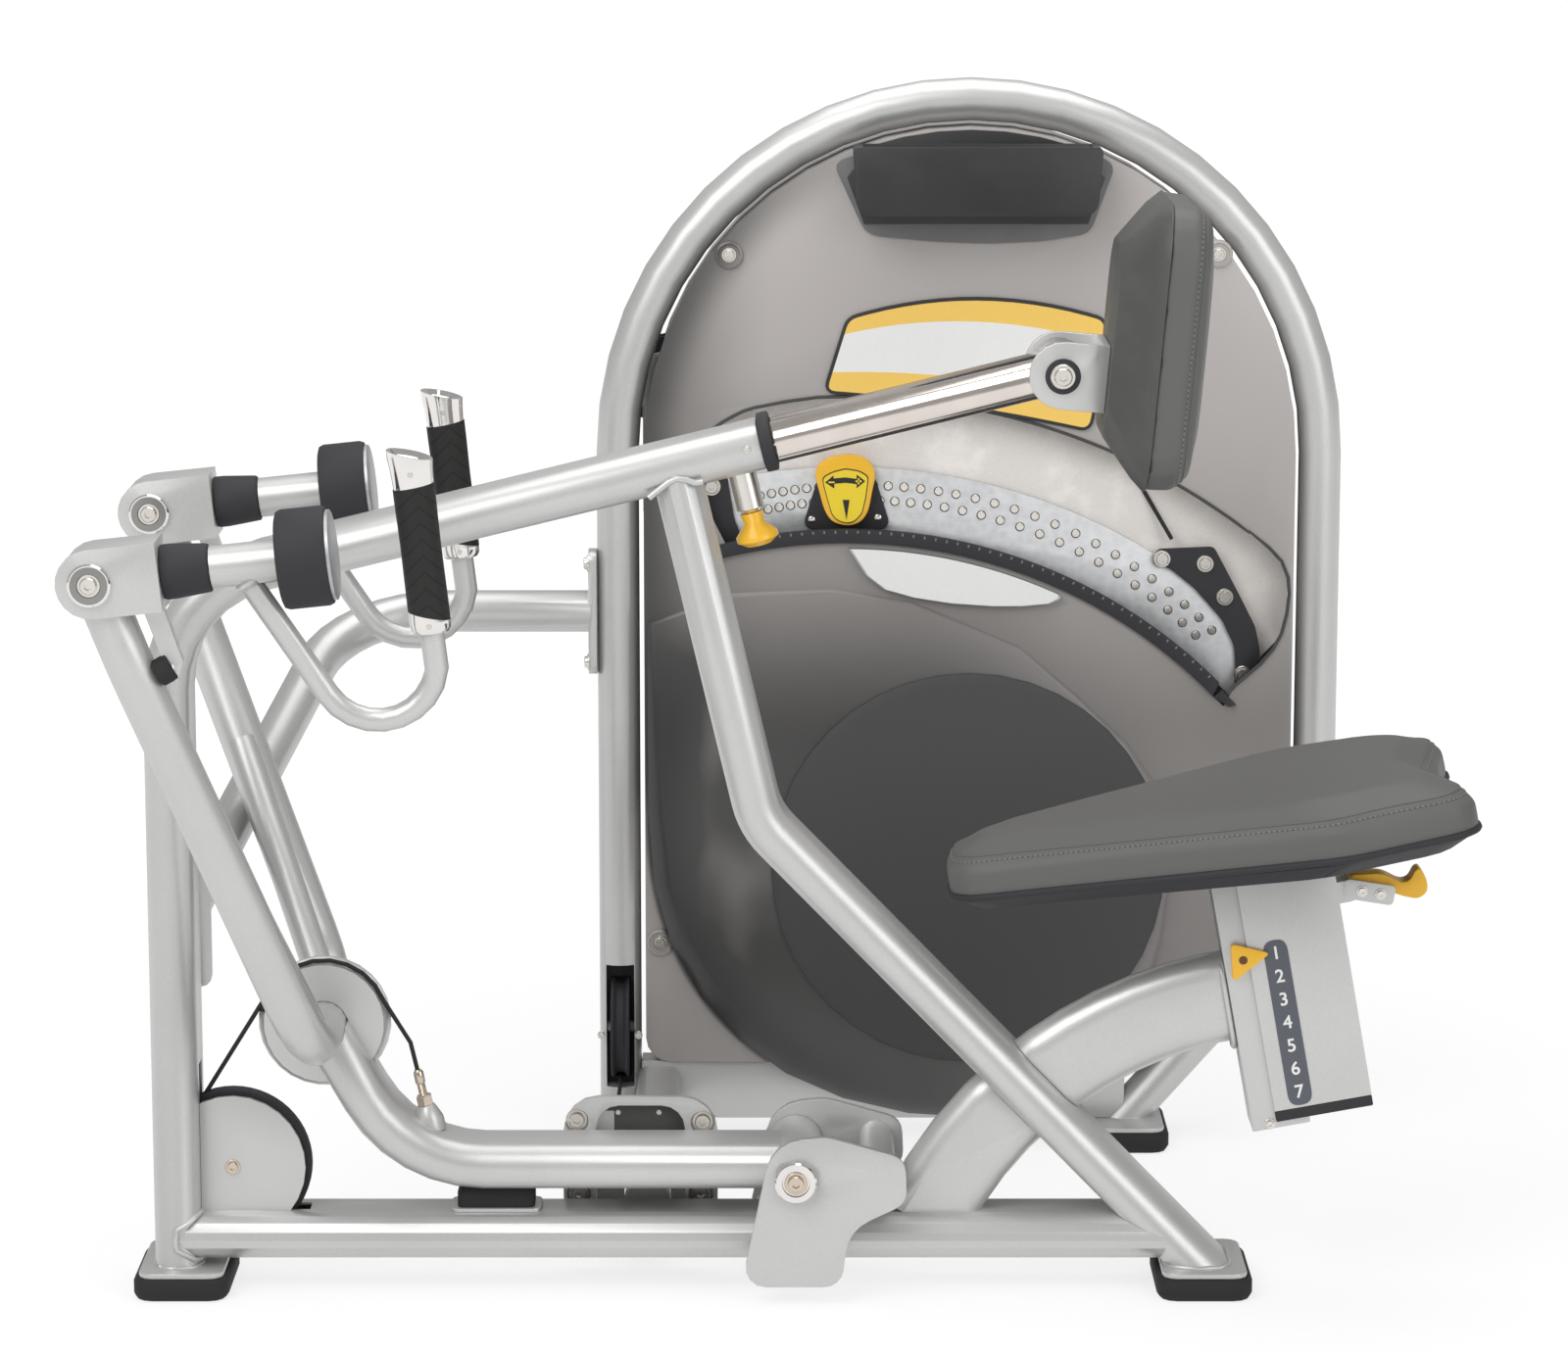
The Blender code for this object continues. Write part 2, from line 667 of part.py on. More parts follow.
def support_arc(start, end, steps):
    """Return points of the seat support's arc; start and end are shares of its sweep."""
    rail_end = RAIL_FOOT + RAIL_UP * SUPPORT_END_ALONG
    chord = rail_end - SUPPORT_START
    chord_angle = math.atan2(chord.z, chord.x)
    turn = 2 * (chord_angle - RAIL_LEAN)
    radius = chord.length / (2 * math.sin(turn / 2))
    first = RAIL_LEAN + turn
    centre = SUPPORT_START + Vector((math.sin(first), 0.0, -math.cos(first))) * radius
    angles = [first - turn * (start + (end - start) * i / steps) for i in range(steps + 1)]
    return [centre + Vector((-math.sin(a), 0.0, math.cos(a))) * radius for a in angles]


def brace_crossing():
    """Return the share of the support's sweep at which it meets the middle of the brace."""
    slope = (FOOT_PAD - BRACE_KNEE.z) / (BRACE_FOOT_X - BRACE_KNEE.x)
    steps = 200
    heights = [p.z - (BRACE_KNEE.z + (p.x - BRACE_KNEE.x) * slope) for p in support_arc(0.0, 1.0, steps)]
    return next(i for i, height in enumerate(heights) if height > 0) / steps


def make_seat_support(brace_clear):
    """The curved tube that carries the seat rail, cut to the brace."""
    edge_oval = stadium(TUBE_WIDE, TUBE_FLAT)
    upper = add("seat_support", sweep(support_arc(brace_crossing(), 1.04, 7), edge_oval), SILVER)
    lie = frame_of(RAIL_FOOT, RAIL_OUT, Vector((0.0, -1.0, 0.0)))
    behind = [(-GAP, -TUBE_WIDE), (TUBE_WIDE, -TUBE_WIDE), (TUBE_WIDE, TUBE_WIDE), (-GAP, TUBE_WIDE)]
    boolean(upper, "DIFFERENCE", brace_clear, cutter(prism(behind, TUBE_WIDE, -RAIL_LENGTH, lie)))


def add_base_fittings(base):
    """Join the seat support's lower end, the front pulley plates and the pulley pins to the base tube."""
    edge_oval = stadium(TUBE_WIDE, TUBE_FLAT)
    stub = cutter(sweep(support_arc(0.0, brace_crossing(), 4), edge_oval))
    floor_of_stub = BASE_Z + TUBE_R - WELD / 2
    below = cutter(box((-0.1, -0.2, -0.1), (0.5, 0.2, floor_of_stub)))
    boolean(stub, "DIFFERENCE", below)
    slot_half = PULLEY_WIDTH / 2 + 2 * RUN_GAP
    slot = cutter(box((POST_X, -slot_half, BASE_Z), (FRONT_PULLEY.x + FRONT_GROOVE + 0.02, slot_half, 0.2)))
    window = cutter(box((LEG_X - CABLE_WINDOW, 0.0, BASE_Z - CABLE_WINDOW),
                        (LEG_X + CABLE_WINDOW, TUBE_WIDE, BASE_Z + CABLE_WINDOW)))
    boolean(base, "DIFFERENCE", slot, window)
    boolean(base, "UNION", stub)
    radius = FRONT_GROOVE + PULLEY_RIM + PULLEY_GUARD
    low = BASE_Z + TUBE_R - WELD / 2
    start = math.asin((low - FRONT_PULLEY.z) / radius)
    end = math.acos((POST_X - FRONT_PULLEY.x) / radius)
    outline = [(POST_X, low)] + arc((FRONT_PULLEY.x, FRONT_PULLEY.z), radius, start, end, 14)
    for sign in SIDE_SIGN.values():
        inner, outer = sorted((sign * slot_half, sign * (slot_half + PULLEY_PLATE)))
        boolean(base, "UNION", cutter(prism(outline, inner, outer)))
    pin_y = Vector((0.0, slot_half + PULLEY_PLATE / 2, 0.0))
    front_pin = cutter(cylinder(STUD_RADIUS, FRONT_PULLEY - pin_y, FRONT_PULLEY + pin_y, 12))
    pin_z = Vector((0.0, 0.0, TUBE_R - TUBE_WALL / 2))
    base_pin = cutter(cylinder(STUD_RADIUS, BASE_PULLEY - pin_z, BASE_PULLEY + pin_z, 12))
    boolean(base, "UNION", front_pin, base_pin)


def make_pivot_bracket():
    """Two shaped plates on the base, joined by a cross tube, and the shaft that the lever turns on."""
    outline = rounded([(PIVOT.x - 0.060, 0.021), (PIVOT.x + 0.050, 0.021), (PIVOT.x + 0.057, 0.085),
                       (PIVOT.x + 0.121, 0.116), (PIVOT.x + 0.119, 0.166), (PIVOT.x + 0.034, 0.190),
                       (PIVOT.x - 0.026, 0.184)], [0.022, 0.022, 0.045, 0.022, 0.022, 0.05, 0.045], 4)
    near = prism(outline, -PIVOT_PLATE_Y - PLATE, -PIVOT_PLATE_Y)
    bracket = add("pivot_bracket", near, SILVER)
    far = cutter(prism(outline, PIVOT_PLATE_Y, PIVOT_PLATE_Y + PLATE))
    cross_end = Vector((0.0, PIVOT_PLATE_Y + PLATE / 2, 0.0))
    cross = Vector((PIVOT.x + 0.090, 0.0, PIVOT.z + 0.004))
    tube = cutter(cylinder(CROSS_TUBE / 2, cross - cross_end, cross + cross_end))
    boolean(bracket, "UNION", tube, far)
    for sign in SIDE_SIGN.values():
        low, high = sorted((sign * (TUBE_WIDE / 2 + GAP), sign * (PIVOT_PLATE_Y + PLATE / 2)))
        lug = [(PIVOT.x - 0.045, BASE_Z - 0.018), (PIVOT.x + 0.040, BASE_Z - 0.018),
               (PIVOT.x + 0.040, BASE_Z + 0.018), (PIVOT.x - 0.045, BASE_Z + 0.018)]
        boolean(bracket, "UNION", cutter(prism(rounded(lug, 0.008, 2), low, high)))
    reach = PIVOT_PLATE_Y + PLATE
    ends = Vector((0.0, reach + 2 * SHAFT_HEAD, 0.0))
    boolean(bracket, "DIFFERENCE", cutter(cylinder(SHAFT_RADIUS + GAP, PIVOT - ends, PIVOT + ends)))
    start = PIVOT - Vector((0.0, reach + SHAFT_HEAD, 0.0))
    cap = SHAFT_HEAD - GAP
    length = 2 * (reach + SHAFT_HEAD)
    edge = SHAFT_HEAD * 0.4
    profile = [(SHAFT_CAP - edge, 0.0), (SHAFT_CAP, edge), (SHAFT_CAP, cap), (SHAFT_RADIUS, cap),
               (SHAFT_RADIUS, length - cap), (SHAFT_CAP, length - cap), (SHAFT_CAP, length - edge),
               (SHAFT_CAP - edge, length)]
    add("pivot_shaft", turned(profile, start, Vector((0.0, 1.0, 0.0))), CHROME)


def make_row_arm():
    """Lever with its hub, the U-shaped yoke with struts, and the cable guide."""
    oval = stadium(TUBE_FLAT, TUBE_WIDE)
    oval_clear = stadium(TUBE_FLAT + 2 * GAP, TUBE_WIDE + 2 * GAP)
    yoke_clear = cutter(sweep(yoke_path(), circle(ROUND_R + GAP)), "row_arm")
    lever = add("row_lever", sweep(lever_path(), oval), SILVER, "row_arm")
    hub_end = Vector((0.0, PIVOT_PLATE_Y - 2 * RUN_GAP, 0.0))
    hub = cutter(cylinder(HUB_RADIUS, PIVOT - hub_end, PIVOT + hub_end, 24), "row_arm")
    bore = cutter(cylinder(SHAFT_RADIUS + RUN_GAP, PIVOT - hub_end * 2, PIVOT + hub_end * 2), "row_arm")
    boolean(lever, "UNION", hub)
    boolean(lever, "DIFFERENCE", bore, yoke_clear)

    yoke = add("row_yoke", sweep(yoke_path(), circle(ROUND_R)), SILVER, "row_arm")
    for sign in SIDE_SIGN.values():
        make_arm_fittings(yoke, sign)

    groove_root = GUIDE_RADIUS - GROOVE
    half = GUIDE_WIDTH / 2
    profile = [(ROUND_R + GAP, -half), (GUIDE_RADIUS, -half), (GUIDE_RADIUS, -half + 0.004),
               (groove_root, -0.0026), (groove_root, 0.0026), (GUIDE_RADIUS, half - 0.004),
               (GUIDE_RADIUS, half), (ROUND_R + GAP, half)]
    guide = add("cable_guide", turned(profile, YOKE_CROSS, Vector((0.0, 1.0, 0.0)), 28, closed=True), SILVER,
                "row_arm")
    boolean(guide, "DIFFERENCE", cutter(sweep(lever_path(0.0), oval_clear), "row_arm"))


def make_arm_fittings(yoke, sign):
    """Join one arm's top hub, pin bore and strut to the yoke."""
    pivot = HANDLE_PIVOT + Vector((0.0, sign * ARM_Y, 0.0))
    half = CLEVIS_WIDTH / 2 - CLEVIS_WALL - RUN_GAP
    reach = Vector((0.0, half, 0.0))
    hub = cutter(cylinder(ROUND_R + 0.003, pivot - reach, pivot + reach), "row_arm")
    bore = cutter(cylinder(PIN_RADIUS + GAP, pivot - reach * 2, pivot + reach * 2, 12), "row_arm")
    up = HANDLE_PIVOT - YOKE_CROSS
    arm_y = YOKE_HALF_WIDTH + (ARM_Y - YOKE_HALF_WIDTH) * STRUT_REACH / (1 - ARM_STRAIGHT)
    foot_point = YOKE_CROSS + Vector((0.0, sign * STRUT_ROOT_Y, 0.0))
    head_point = YOKE_CROSS + up * STRUT_REACH + Vector((0.0, sign * (arm_y - STRUT_TUBE / 2), 0.0))
    forward = Vector((1.0, 0.0, 0.0))
    strut = cutter(sweep([foot_point, head_point], circle(STRUT_TUBE / 2, 12), forward), "row_arm")
    boolean(yoke, "UNION", hub, strut)
    boolean(yoke, "DIFFERENCE", bore)


def make_handle(label):
    """One handle: clevis, sleeve, swivel tube with loop, counterweight and grip."""
    sign = SIDE_SIGN[label]
    y = sign * ARM_Y
    on = "handle_" + label
    origin = HANDLE_PIVOT + Vector((0.0, y, 0.0))
    lie = frame_of(origin, HANDLE_DIR, HANDLE_UP)
    half = CLEVIS_WIDTH / 2
    outline = arc((0.0, 0.0), CLEVIS_RADIUS, math.radians(90), math.radians(270), 10)
    outline += [(CLEVIS_LENGTH, -CLEVIS_RADIUS), (CLEVIS_LENGTH, CLEVIS_RADIUS)]
    clevis = add("clevis_" + label, prism(outline, -half, half, lie), SILVER, on)
    slot = half - CLEVIS_WALL
    gap_outline = [(-0.1, -0.1), (CLEVIS_SLOT_END, -0.1), (CLEVIS_SLOT_END, CLEVIS_RADIUS - CLEVIS_ROOF),
                   (-0.1, CLEVIS_RADIUS - CLEVIS_ROOF)]
    boolean(clevis, "DIFFERENCE", cutter(prism(gap_outline, -slot, slot, lie), on))
    across = Vector((0.0, 1.0, 0.0))
    head = [(PIN_HEAD, half + PIN_RADIUS / 2), (PIN_HEAD, half - WELD), (PIN_RADIUS, half - WELD)]
    profile = [(r, -h) for r, h in head] + [(r, h) for r, h in reversed(head)]
    boolean(clevis, "UNION", cutter(turned(profile, origin, across), on))
    down = (YOKE_CROSS - HANDLE_PIVOT).normalized()
    out = Vector((-down.z, 0.0, down.x))
    rest = origin + down * STOP_ALONG + out * (ROUND_R + GAP)
    tip = rest + out * (STOP_LENGTH - STOP_TAB / 2)
    tab_top = lie(CLEVIS_LENGTH - STOP_RADIUS - WELD, -CLEVIS_RADIUS + WELD, 0.0)
    tab = [(tab_top.x - STOP_RADIUS, tab_top.z), (tab_top.x + STOP_RADIUS, tab_top.z),
           (tip.x + STOP_RADIUS, tip.z + STOP_RADIUS), (tip.x + STOP_RADIUS / 2, tip.z - STOP_RADIUS),
           (tip.x - WELD, tip.z - STOP_RADIUS / 2)]
    boolean(clevis, "UNION", cutter(prism(tab, y - STOP_TAB, y + STOP_TAB), on))
    boolean(clevis, "UNION", cutter(cylinder(STOP_RADIUS, rest, rest + out * STOP_LENGTH, 12), on))
    spindle_end = origin + HANDLE_DIR * (WEIGHT_START - RUN_GAP)
    boolean(clevis, "UNION", cutter(cylinder(SPINDLE_RADIUS, origin + HANDLE_DIR * (CLEVIS_LENGTH - WELD),
                                             spindle_end), on))

    bore = SPINDLE_RADIUS + GAP
    first = CLEVIS_LENGTH + GAP
    last = CLEVIS_LENGTH + SLEEVE_LENGTH
    sleeve = [(bore, first), (SLEEVE_ROOT_RADIUS, first), (SLEEVE_ROOT_RADIUS, first + 0.012),
              (SLEEVE_TIP_RADIUS, last), (bore, last)]
    add("sleeve_" + label, turned(sleeve, origin, HANDLE_DIR, 16, closed=True), BLACK, on)
    make_swivel(label, origin, last + RUN_GAP)


def loop_path(y):
    """Return the loop's centre line: from the swivel axis, round the bottom and up through the grip."""
    start = math.pi + math.pi / 2 - LOOP_SLOPE
    end = 2 * math.pi - GRIP_LEAN
    bottom = arc((LOOP_CENTRE.x, LOOP_CENTRE.z), LOOP_RADIUS, start, end, 9)
    first = Vector((bottom[0][0], y, bottom[0][1]))
    lead = Vector((-math.cos(LOOP_SLOPE), 0.0, math.sin(LOOP_SLOPE)))
    axis_z = HANDLE_PIVOT.z + (first.x - HANDLE_PIVOT.x) * math.tan(HANDLE_TILT)
    rise = (axis_z - first.z) / (lead.z - lead.x * math.tan(HANDLE_TILT))
    last = Vector((bottom[-1][0], y, bottom[-1][1]))
    climb = (GRIP_TOP_Z - last.z) / math.cos(GRIP_LEAN)
    top = last + Vector((-math.sin(GRIP_LEAN), 0.0, math.cos(GRIP_LEAN))) * climb
    return [first + lead * rise] + [Vector((a, y, b)) for a, b in bottom] + [top]


def make_swivel(label, origin, first):
    """The swivelling half of a handle."""
    on = "swivel_" + label
    tube = [(SPINDLE_RADIUS + RUN_GAP, first), (SWIVEL_RADIUS, first), (SWIVEL_RADIUS, WEIGHT_START - GAP),
            (SPINDLE_RADIUS + RUN_GAP, WEIGHT_START - GAP)]
    loop = add("handle_loop_" + label, turned(tube, origin, HANDLE_DIR, closed=True), SILVER, on)
    path = loop_path(origin.y)
    rod = cutter(sweep(path, circle(LOOP_TUBE / 2, 12)), on)
    keep_out = cutter(cylinder(SPINDLE_RADIUS + RUN_GAP, origin, origin + HANDLE_DIR * WEIGHT_START, SIDES), on)
    boolean(loop, "UNION", rod)
    boolean(loop, "DIFFERENCE", keep_out)
    end = WEIGHT_START + WEIGHT_LENGTH
    weight = [(WEIGHT_RADIUS - 0.003, WEIGHT_START), (WEIGHT_RADIUS, WEIGHT_START + 0.003),
              (WEIGHT_RADIUS, end - 0.003), (WEIGHT_RADIUS - 0.003, end), (0.016, end), (0.014, end + 0.005)]
    add("counterweight_" + label, turned(weight, origin, HANDLE_DIR, 24), BLACK, on)
    up = (path[-1] - path[-2]).normalized()
    low = path[-2] + up * ((GRIP_BOTTOM_Z - path[-2].z) / up.z)
    length = (path[-1] - low).length
    bore = LOOP_TUBE / 2 + GAP
    grip = [(bore, 0.0), (GRIP_RADIUS - 0.004, 0.0), (GRIP_RADIUS, 0.006), (GRIP_RADIUS, length - 0.010),
            (GRIP_RADIUS - 0.004, length), (bore, length)]
    add("grip_" + label, turned(grip, low, up, 16, closed=True), RUBBER, on)


def pad_outline(height, width, corner, steps=5):
    """Return the chest pad's rounded rectangle, drawn across and up."""
    x, z = width / 2, height / 2
    return rounded([(-x, -z), (x, -z), (x, z), (-x, z)], corner, steps)


def make_chest_support():
    """Telescoping tube, collar, pop pin, pad bracket, shell and pad."""
    slip = TUBE_WALL + 1.5 * GAP
    section = stadium(TUBE_FLAT - 2 * slip, TUBE_WIDE - 2 * slip)
    bore = stadium(TUBE_FLAT - 2 * slip - 2 * TUBE_WALL, TUBE_WIDE - 2 * slip - 2 * TUBE_WALL)
    tube = add("chest_tube", sweep([BEAM_END - BEAM_DIR * CHEST_INSERT, CHEST_PIVOT], section, bore=bore),
               CHROME, "chest_slide")
    half = TUBE_WIDE / 2 - slip
    reach = Vector((0.0, half, 0.0))
    hub = cutter(cylinder(HUB_RADIUS, CHEST_PIVOT - reach, CHEST_PIVOT + reach, 24), "chest_slide")
    boolean(tube, "UNION", hub)
    bolt_bore = cutter(cylinder(PIN_RADIUS + GAP, CHEST_PIVOT - reach * 2, CHEST_PIVOT + reach * 2, 12),
                       "chest_slide")
    boolean(tube, "DIFFERENCE", bolt_bore)

    rim = stadium(TUBE_FLAT + 2 * COLLAR_RIM, TUBE_WIDE + 2 * COLLAR_RIM)
    slip_bore = stadium(TUBE_FLAT - 2 * TUBE_WALL, TUBE_WIDE - 2 * TUBE_WALL)
    start = BEAM_END + BEAM_DIR * GAP
    add("beam_collar", sweep([start, start + BEAM_DIR * COLLAR_LENGTH], rim, bore=slip_bore), BLACK)
    make_pop_pin()

    lean_up = Vector((math.sin(PAD_LEAN), 0.0, math.cos(PAD_LEAN)))
    lean_out = Vector((math.cos(PAD_LEAN), 0.0, -math.sin(PAD_LEAN)))
    lie = frame_of(PAD_CENTRE, Vector((0.0, 1.0, 0.0)), lean_up)
    full = pad_outline(PAD_HEIGHT, PAD_WIDTH, PAD_CORNER)
    front = pad_outline(PAD_HEIGHT - 2 * PAD_EDGE, PAD_WIDTH - 2 * PAD_EDGE, PAD_CORNER - PAD_EDGE)
    middle = PAD_THICK / 2
    levels = [(full, -middle), (full, middle - PAD_EDGE), (front, middle)]
    add("chest_pad", loft(levels, lie), VINYL, "chest_tilt")
    back = pad_outline(PAD_HEIGHT * 0.66, PAD_WIDTH * 0.66, PAD_CORNER * 0.8)
    waist = pad_outline(PAD_HEIGHT - SHELL_WAIST, PAD_WIDTH - SHELL_WAIST, PAD_CORNER - SHELL_WAIST / 2)
    shell_front = -middle - GAP
    shell_back = shell_front - SHELL_DEPTH
    levels = [(back, shell_back), (waist, shell_front - SHELL_DEPTH / 3), (full, shell_front)]
    add("pad_shell", loft(levels, lie), BLACK, "chest_tilt")
    make_pad_bracket(half, lean_up, lean_out, shell_back)


def make_pad_bracket(half, lean_up, lean_out, shell_back):
    """The forked plate that carries the pad on the end of the chest tube."""
    back = (PAD_CENTRE - CHEST_PIVOT).dot(lean_out) + shell_back - GAP
    lie = frame_of(CHEST_PIVOT, lean_out, lean_up)
    outline = arc((0.0, 0.0), BRACKET_RADIUS, math.radians(90), math.radians(270), 10)
    outline += [(back, -BRACKET_RADIUS), (back, BRACKET_RADIUS)]
    inner = half + RUN_GAP
    outer = inner + BRACKET_PLATE
    bracket = add("pad_bracket", prism(outline, -outer, outer, lie), SILVER, "chest_tilt")
    gap_outline = [(-0.1, -0.1), (back - BRACKET_PLATE, -0.1), (back - BRACKET_PLATE, 0.1), (-0.1, 0.1)]
    boolean(bracket, "DIFFERENCE", cutter(prism(gap_outline, -inner, inner, lie), "chest_tilt"))
    head = [(PIN_RADIUS + 0.008, outer + 0.004), (PIN_RADIUS + 0.008, outer - WELD), (PIN_RADIUS, outer - WELD)]
    profile = [(r, -h) for r, h in head] + [(r, h) for r, h in reversed(head)]
    boolean(bracket, "UNION", cutter(turned(profile, CHEST_PIVOT, Vector((0.0, 1.0, 0.0))), "chest_tilt"))


def pop_pin_top():
    """Return where the pop pin's axis leaves the beam's underside."""
    along = (POP_PIN_X - POST_X) / math.cos(BEAM_ANGLE)
    return POST_CORNER + BEAM_DIR * along + BEAM_DOWN * (TUBE_R + GAP)


def make_pop_pin():
    """Barrel under the beam, and the sprung knob with its rod."""
    top = pop_pin_top()
    bore = POP_ROD + GAP
    barrel = [(bore, 0.0), (POP_BARREL, 0.0), (POP_BARREL, POP_BARREL_LENGTH - 0.004),
              (POP_BARREL - 0.003, POP_BARREL_LENGTH), (bore, POP_BARREL_LENGTH)]
    add("pop_pin_barrel", turned(barrel, top, BEAM_DOWN, closed=True), CHROME)
    low = POP_BARREL_LENGTH + RUN_GAP
    knob = [(POP_ROD, 0.004), (POP_ROD, low), (0.013, low), (0.011, low + 0.012), (POP_KNOB, low + 0.024),
            (POP_KNOB, low + 0.030), (0.014, low + POP_KNOB_LENGTH)]
    add("pop_pin_knob", turned(knob, top, BEAM_DOWN), AMBER, "pop_pin")


def seat_outline(inset):
    """Return the saddle's outline from above: a narrow nose, a wide rear with a shallow dip."""
    nose, rear = SEAT_NOSE_WIDTH / 2 - inset, SEAT_REAR_WIDTH / 2 - inset
    front, back = SEAT_NOSE_ALONG + inset, SEAT_NOSE_ALONG + SEAT_LENGTH - inset
    dip = back - SEAT_DIP
    widest = back - SEAT_SHOULDER
    corners = [(front, -nose), (widest, -rear), (back, -rear * 0.86), (dip, 0.0), (back, rear * 0.86),
               (widest, rear), (front, nose)]
    radii = [nose * 0.9, SEAT_SHOULDER * 0.6, SEAT_DIP * 1.5, SEAT_DIP * 4, SEAT_DIP * 1.5, SEAT_SHOULDER * 0.6,
             nose * 0.9]
    return rounded(corners, radii, 4)


def make_seat():
    """Rail, carriage, pan, cushion and release lever."""
    lie = frame_of(RAIL_FOOT, RAIL_OUT, Vector((0.0, -1.0, 0.0)))
    half = RAIL_WIDTH / 2
    rail = add("seat_rail", prism([(0.0, -half), (RAIL_DEPTH, -half), (RAIL_DEPTH, half), (0.0, half)],
                                  0.0, -RAIL_LENGTH, lie), SILVER)
    wall = TUBE_WALL
    hollow = [(wall, wall - half), (RAIL_DEPTH - wall, wall - half), (RAIL_DEPTH - wall, half - wall),
              (wall, half - wall)]
    boolean(rail, "DIFFERENCE", cutter(prism(hollow, 0.05, -RAIL_LENGTH - 0.05, lie)))

    outer, inner = CARRIAGE_WIDTH / 2, CARRIAGE_WIDTH / 2 - CARRIAGE_WALL
    near, far = CARRIAGE_START, CARRIAGE_START + CARRIAGE_DEPTH
    channel = [(near, -outer), (far, -outer), (far, outer), (near, outer), (near, inner),
               (far - CARRIAGE_WALL, inner), (far - CARRIAGE_WALL, -inner), (near, -inner)]
    carriage = add("seat_carriage", prism(channel, -CARRIAGE_LOW, -CARRIAGE_HIGH, lie), SILVER, "seat_slide")
    cap_back = RAIL_DEPTH + 2 * RUN_GAP
    cap = [(near, -outer), (far, -outer), (far, outer), (near, outer), (near, inner), (cap_back, inner),
           (cap_back, -inner), (near, -inner)]
    cap_top = GAP - CARRIAGE_LOW
    add("seat_end_cap", prism(cap, cap_top + END_CAP, cap_top, lie), BLACK, "seat_slide")

    top = CARRIAGE_HIGH + GAP
    centre = RAIL_FOOT + RAIL_OUT * (CARRIAGE_START + CARRIAGE_DEPTH / 2)
    deck = frame_of(centre, RAIL_OUT, Vector((0.0, 1.0, 0.0)))
    pan = [(seat_outline(0.030), top), (seat_outline(0.008), top + SEAT_PAN)]
    add("seat_pan", loft(pan, deck), BLACK, "seat_slide")
    low = top + SEAT_PAN + GAP
    cushion = [(seat_outline(0.004), low), (seat_outline(0.0), low + 0.010), (seat_outline(0.0), low + 0.034),
               (seat_outline(0.012), low + 0.050), (seat_outline(0.045), low + SEAT_THICK)]
    add("seat_cushion", loft(cushion, deck), VINYL, "seat_slide")
    make_seat_lever(carriage)


def seat_lever_pivot():
    """Return the release lever's pivot, just behind the carriage."""
    out = CARRIAGE_START + CARRIAGE_DEPTH + LEVER_ROOT + RUN_GAP
    return RAIL_FOOT + RAIL_OUT * out + RAIL_UP * LEVER_ALONG


def make_seat_lever(carriage):
    """The hooked release lever behind the carriage, between two lugs with a pin."""
    lie = frame_of(seat_lever_pivot(), RAIL_OUT, RAIL_UP)
    outline = arc((0.0, 0.0), LEVER_ROOT, math.radians(90), math.radians(270), 8)
    outline += [(0.022, -0.010), (0.040, -0.004), (0.062, -0.006), (0.084, 0.004), (0.090, 0.022),
                (0.082, 0.024), (0.074, 0.010), (0.058, 0.005), (0.036, 0.008), (0.018, 0.012)]
    half = LEVER_WIDTH / 2
    lever = add("seat_lever", prism(outline, -half, half, lie), AMBER, "seat_lever")
    reach = Vector((0.0, half + 2 * LEVER_LUG, 0.0))
    pivot = seat_lever_pivot()
    bore = cutter(cylinder(LEVER_PIN + GAP, pivot - reach, pivot + reach, 12), "seat_lever")
    boolean(lever, "DIFFERENCE", bore)
    back = -LEVER_ROOT - RUN_GAP - WELD
    lug = arc((0.0, 0.0), LEVER_ROOT, math.radians(-90), math.radians(90), 8)
    lug += [(back, LEVER_ROOT), (back, -LEVER_ROOT)]
    for sign in SIDE_SIGN.values():
        low, high = sorted((sign * (half + RUN_GAP), sign * (half + RUN_GAP + LEVER_LUG)))
        boolean(carriage, "UNION", cutter(prism(lug, low, high, lie), "seat_slide"))
    reach = Vector((0.0, half + RUN_GAP + LEVER_LUG / 2, 0.0))
    boolean(carriage, "UNION", cutter(cylinder(LEVER_PIN, pivot - reach, pivot + reach, 12), "seat_slide"))


def cover_outline(inset):
    """Return the outline of the tower's covers, inside the arch, less an inset."""
    away = ROUND_R + COVER_GAP + inset
    radius = ARCH_RADIUS - away
    left, right, low = ARCH_X - radius, ARCH_X + radius, COVER_BOTTOM_Z + inset
    lean = math.atan2(RIGHT_LEG_X - RIGHT_FOOT_X, RIGHT_KNEE_Z - FLOOR_PLATE_TOP)
    corner_z = RIGHT_KNEE_Z + away * math.tan(lean / 2)
    heel_x = right - (corner_z - low) * math.tan(lean)
    lower = rounded([(left, ARCH_Z), (left, low), (heel_x, low), (right, corner_z), (right, ARCH_Z)],
                    [0.0, 0.030 - inset, 0.050 - inset, RIGHT_BEND - away, 0.0], 4)
    top = arc((ARCH_X, ARCH_Z), radius, 0.0, math.pi, 24)
    return lower + top[1:-1]


def window_outline():
    """Return the opening in the shroud that shows the weight arm, kept inside the shroud's right edge."""
    centre = (ARC_CENTRE.x, ARC_CENTRE.z)
    upper, lower = ARC_OUTER + WINDOW_RISE, ARC_INNER - WINDOW_DROP
    edge = RIM_X - WINDOW_EDGE
    turn = math.asin((edge - ARC_CENTRE.x) / upper)
    top = bow(centre, upper, WINDOW_LEFT, turn - math.radians(3.0), 12)
    nose = [(edge, top[-1][1] - ARC_BAND / 2), (edge - ARC_BAND / 15, top[-1][1] - ARC_BAND)]
    bottom = bow(centre, lower, turn + math.radians(5.5), WINDOW_LEFT - math.radians(2.0), 14)
    return top + nose + bottom + [polar(lower + ARC_BAND, WINDOW_LEFT - math.radians(3.5))]


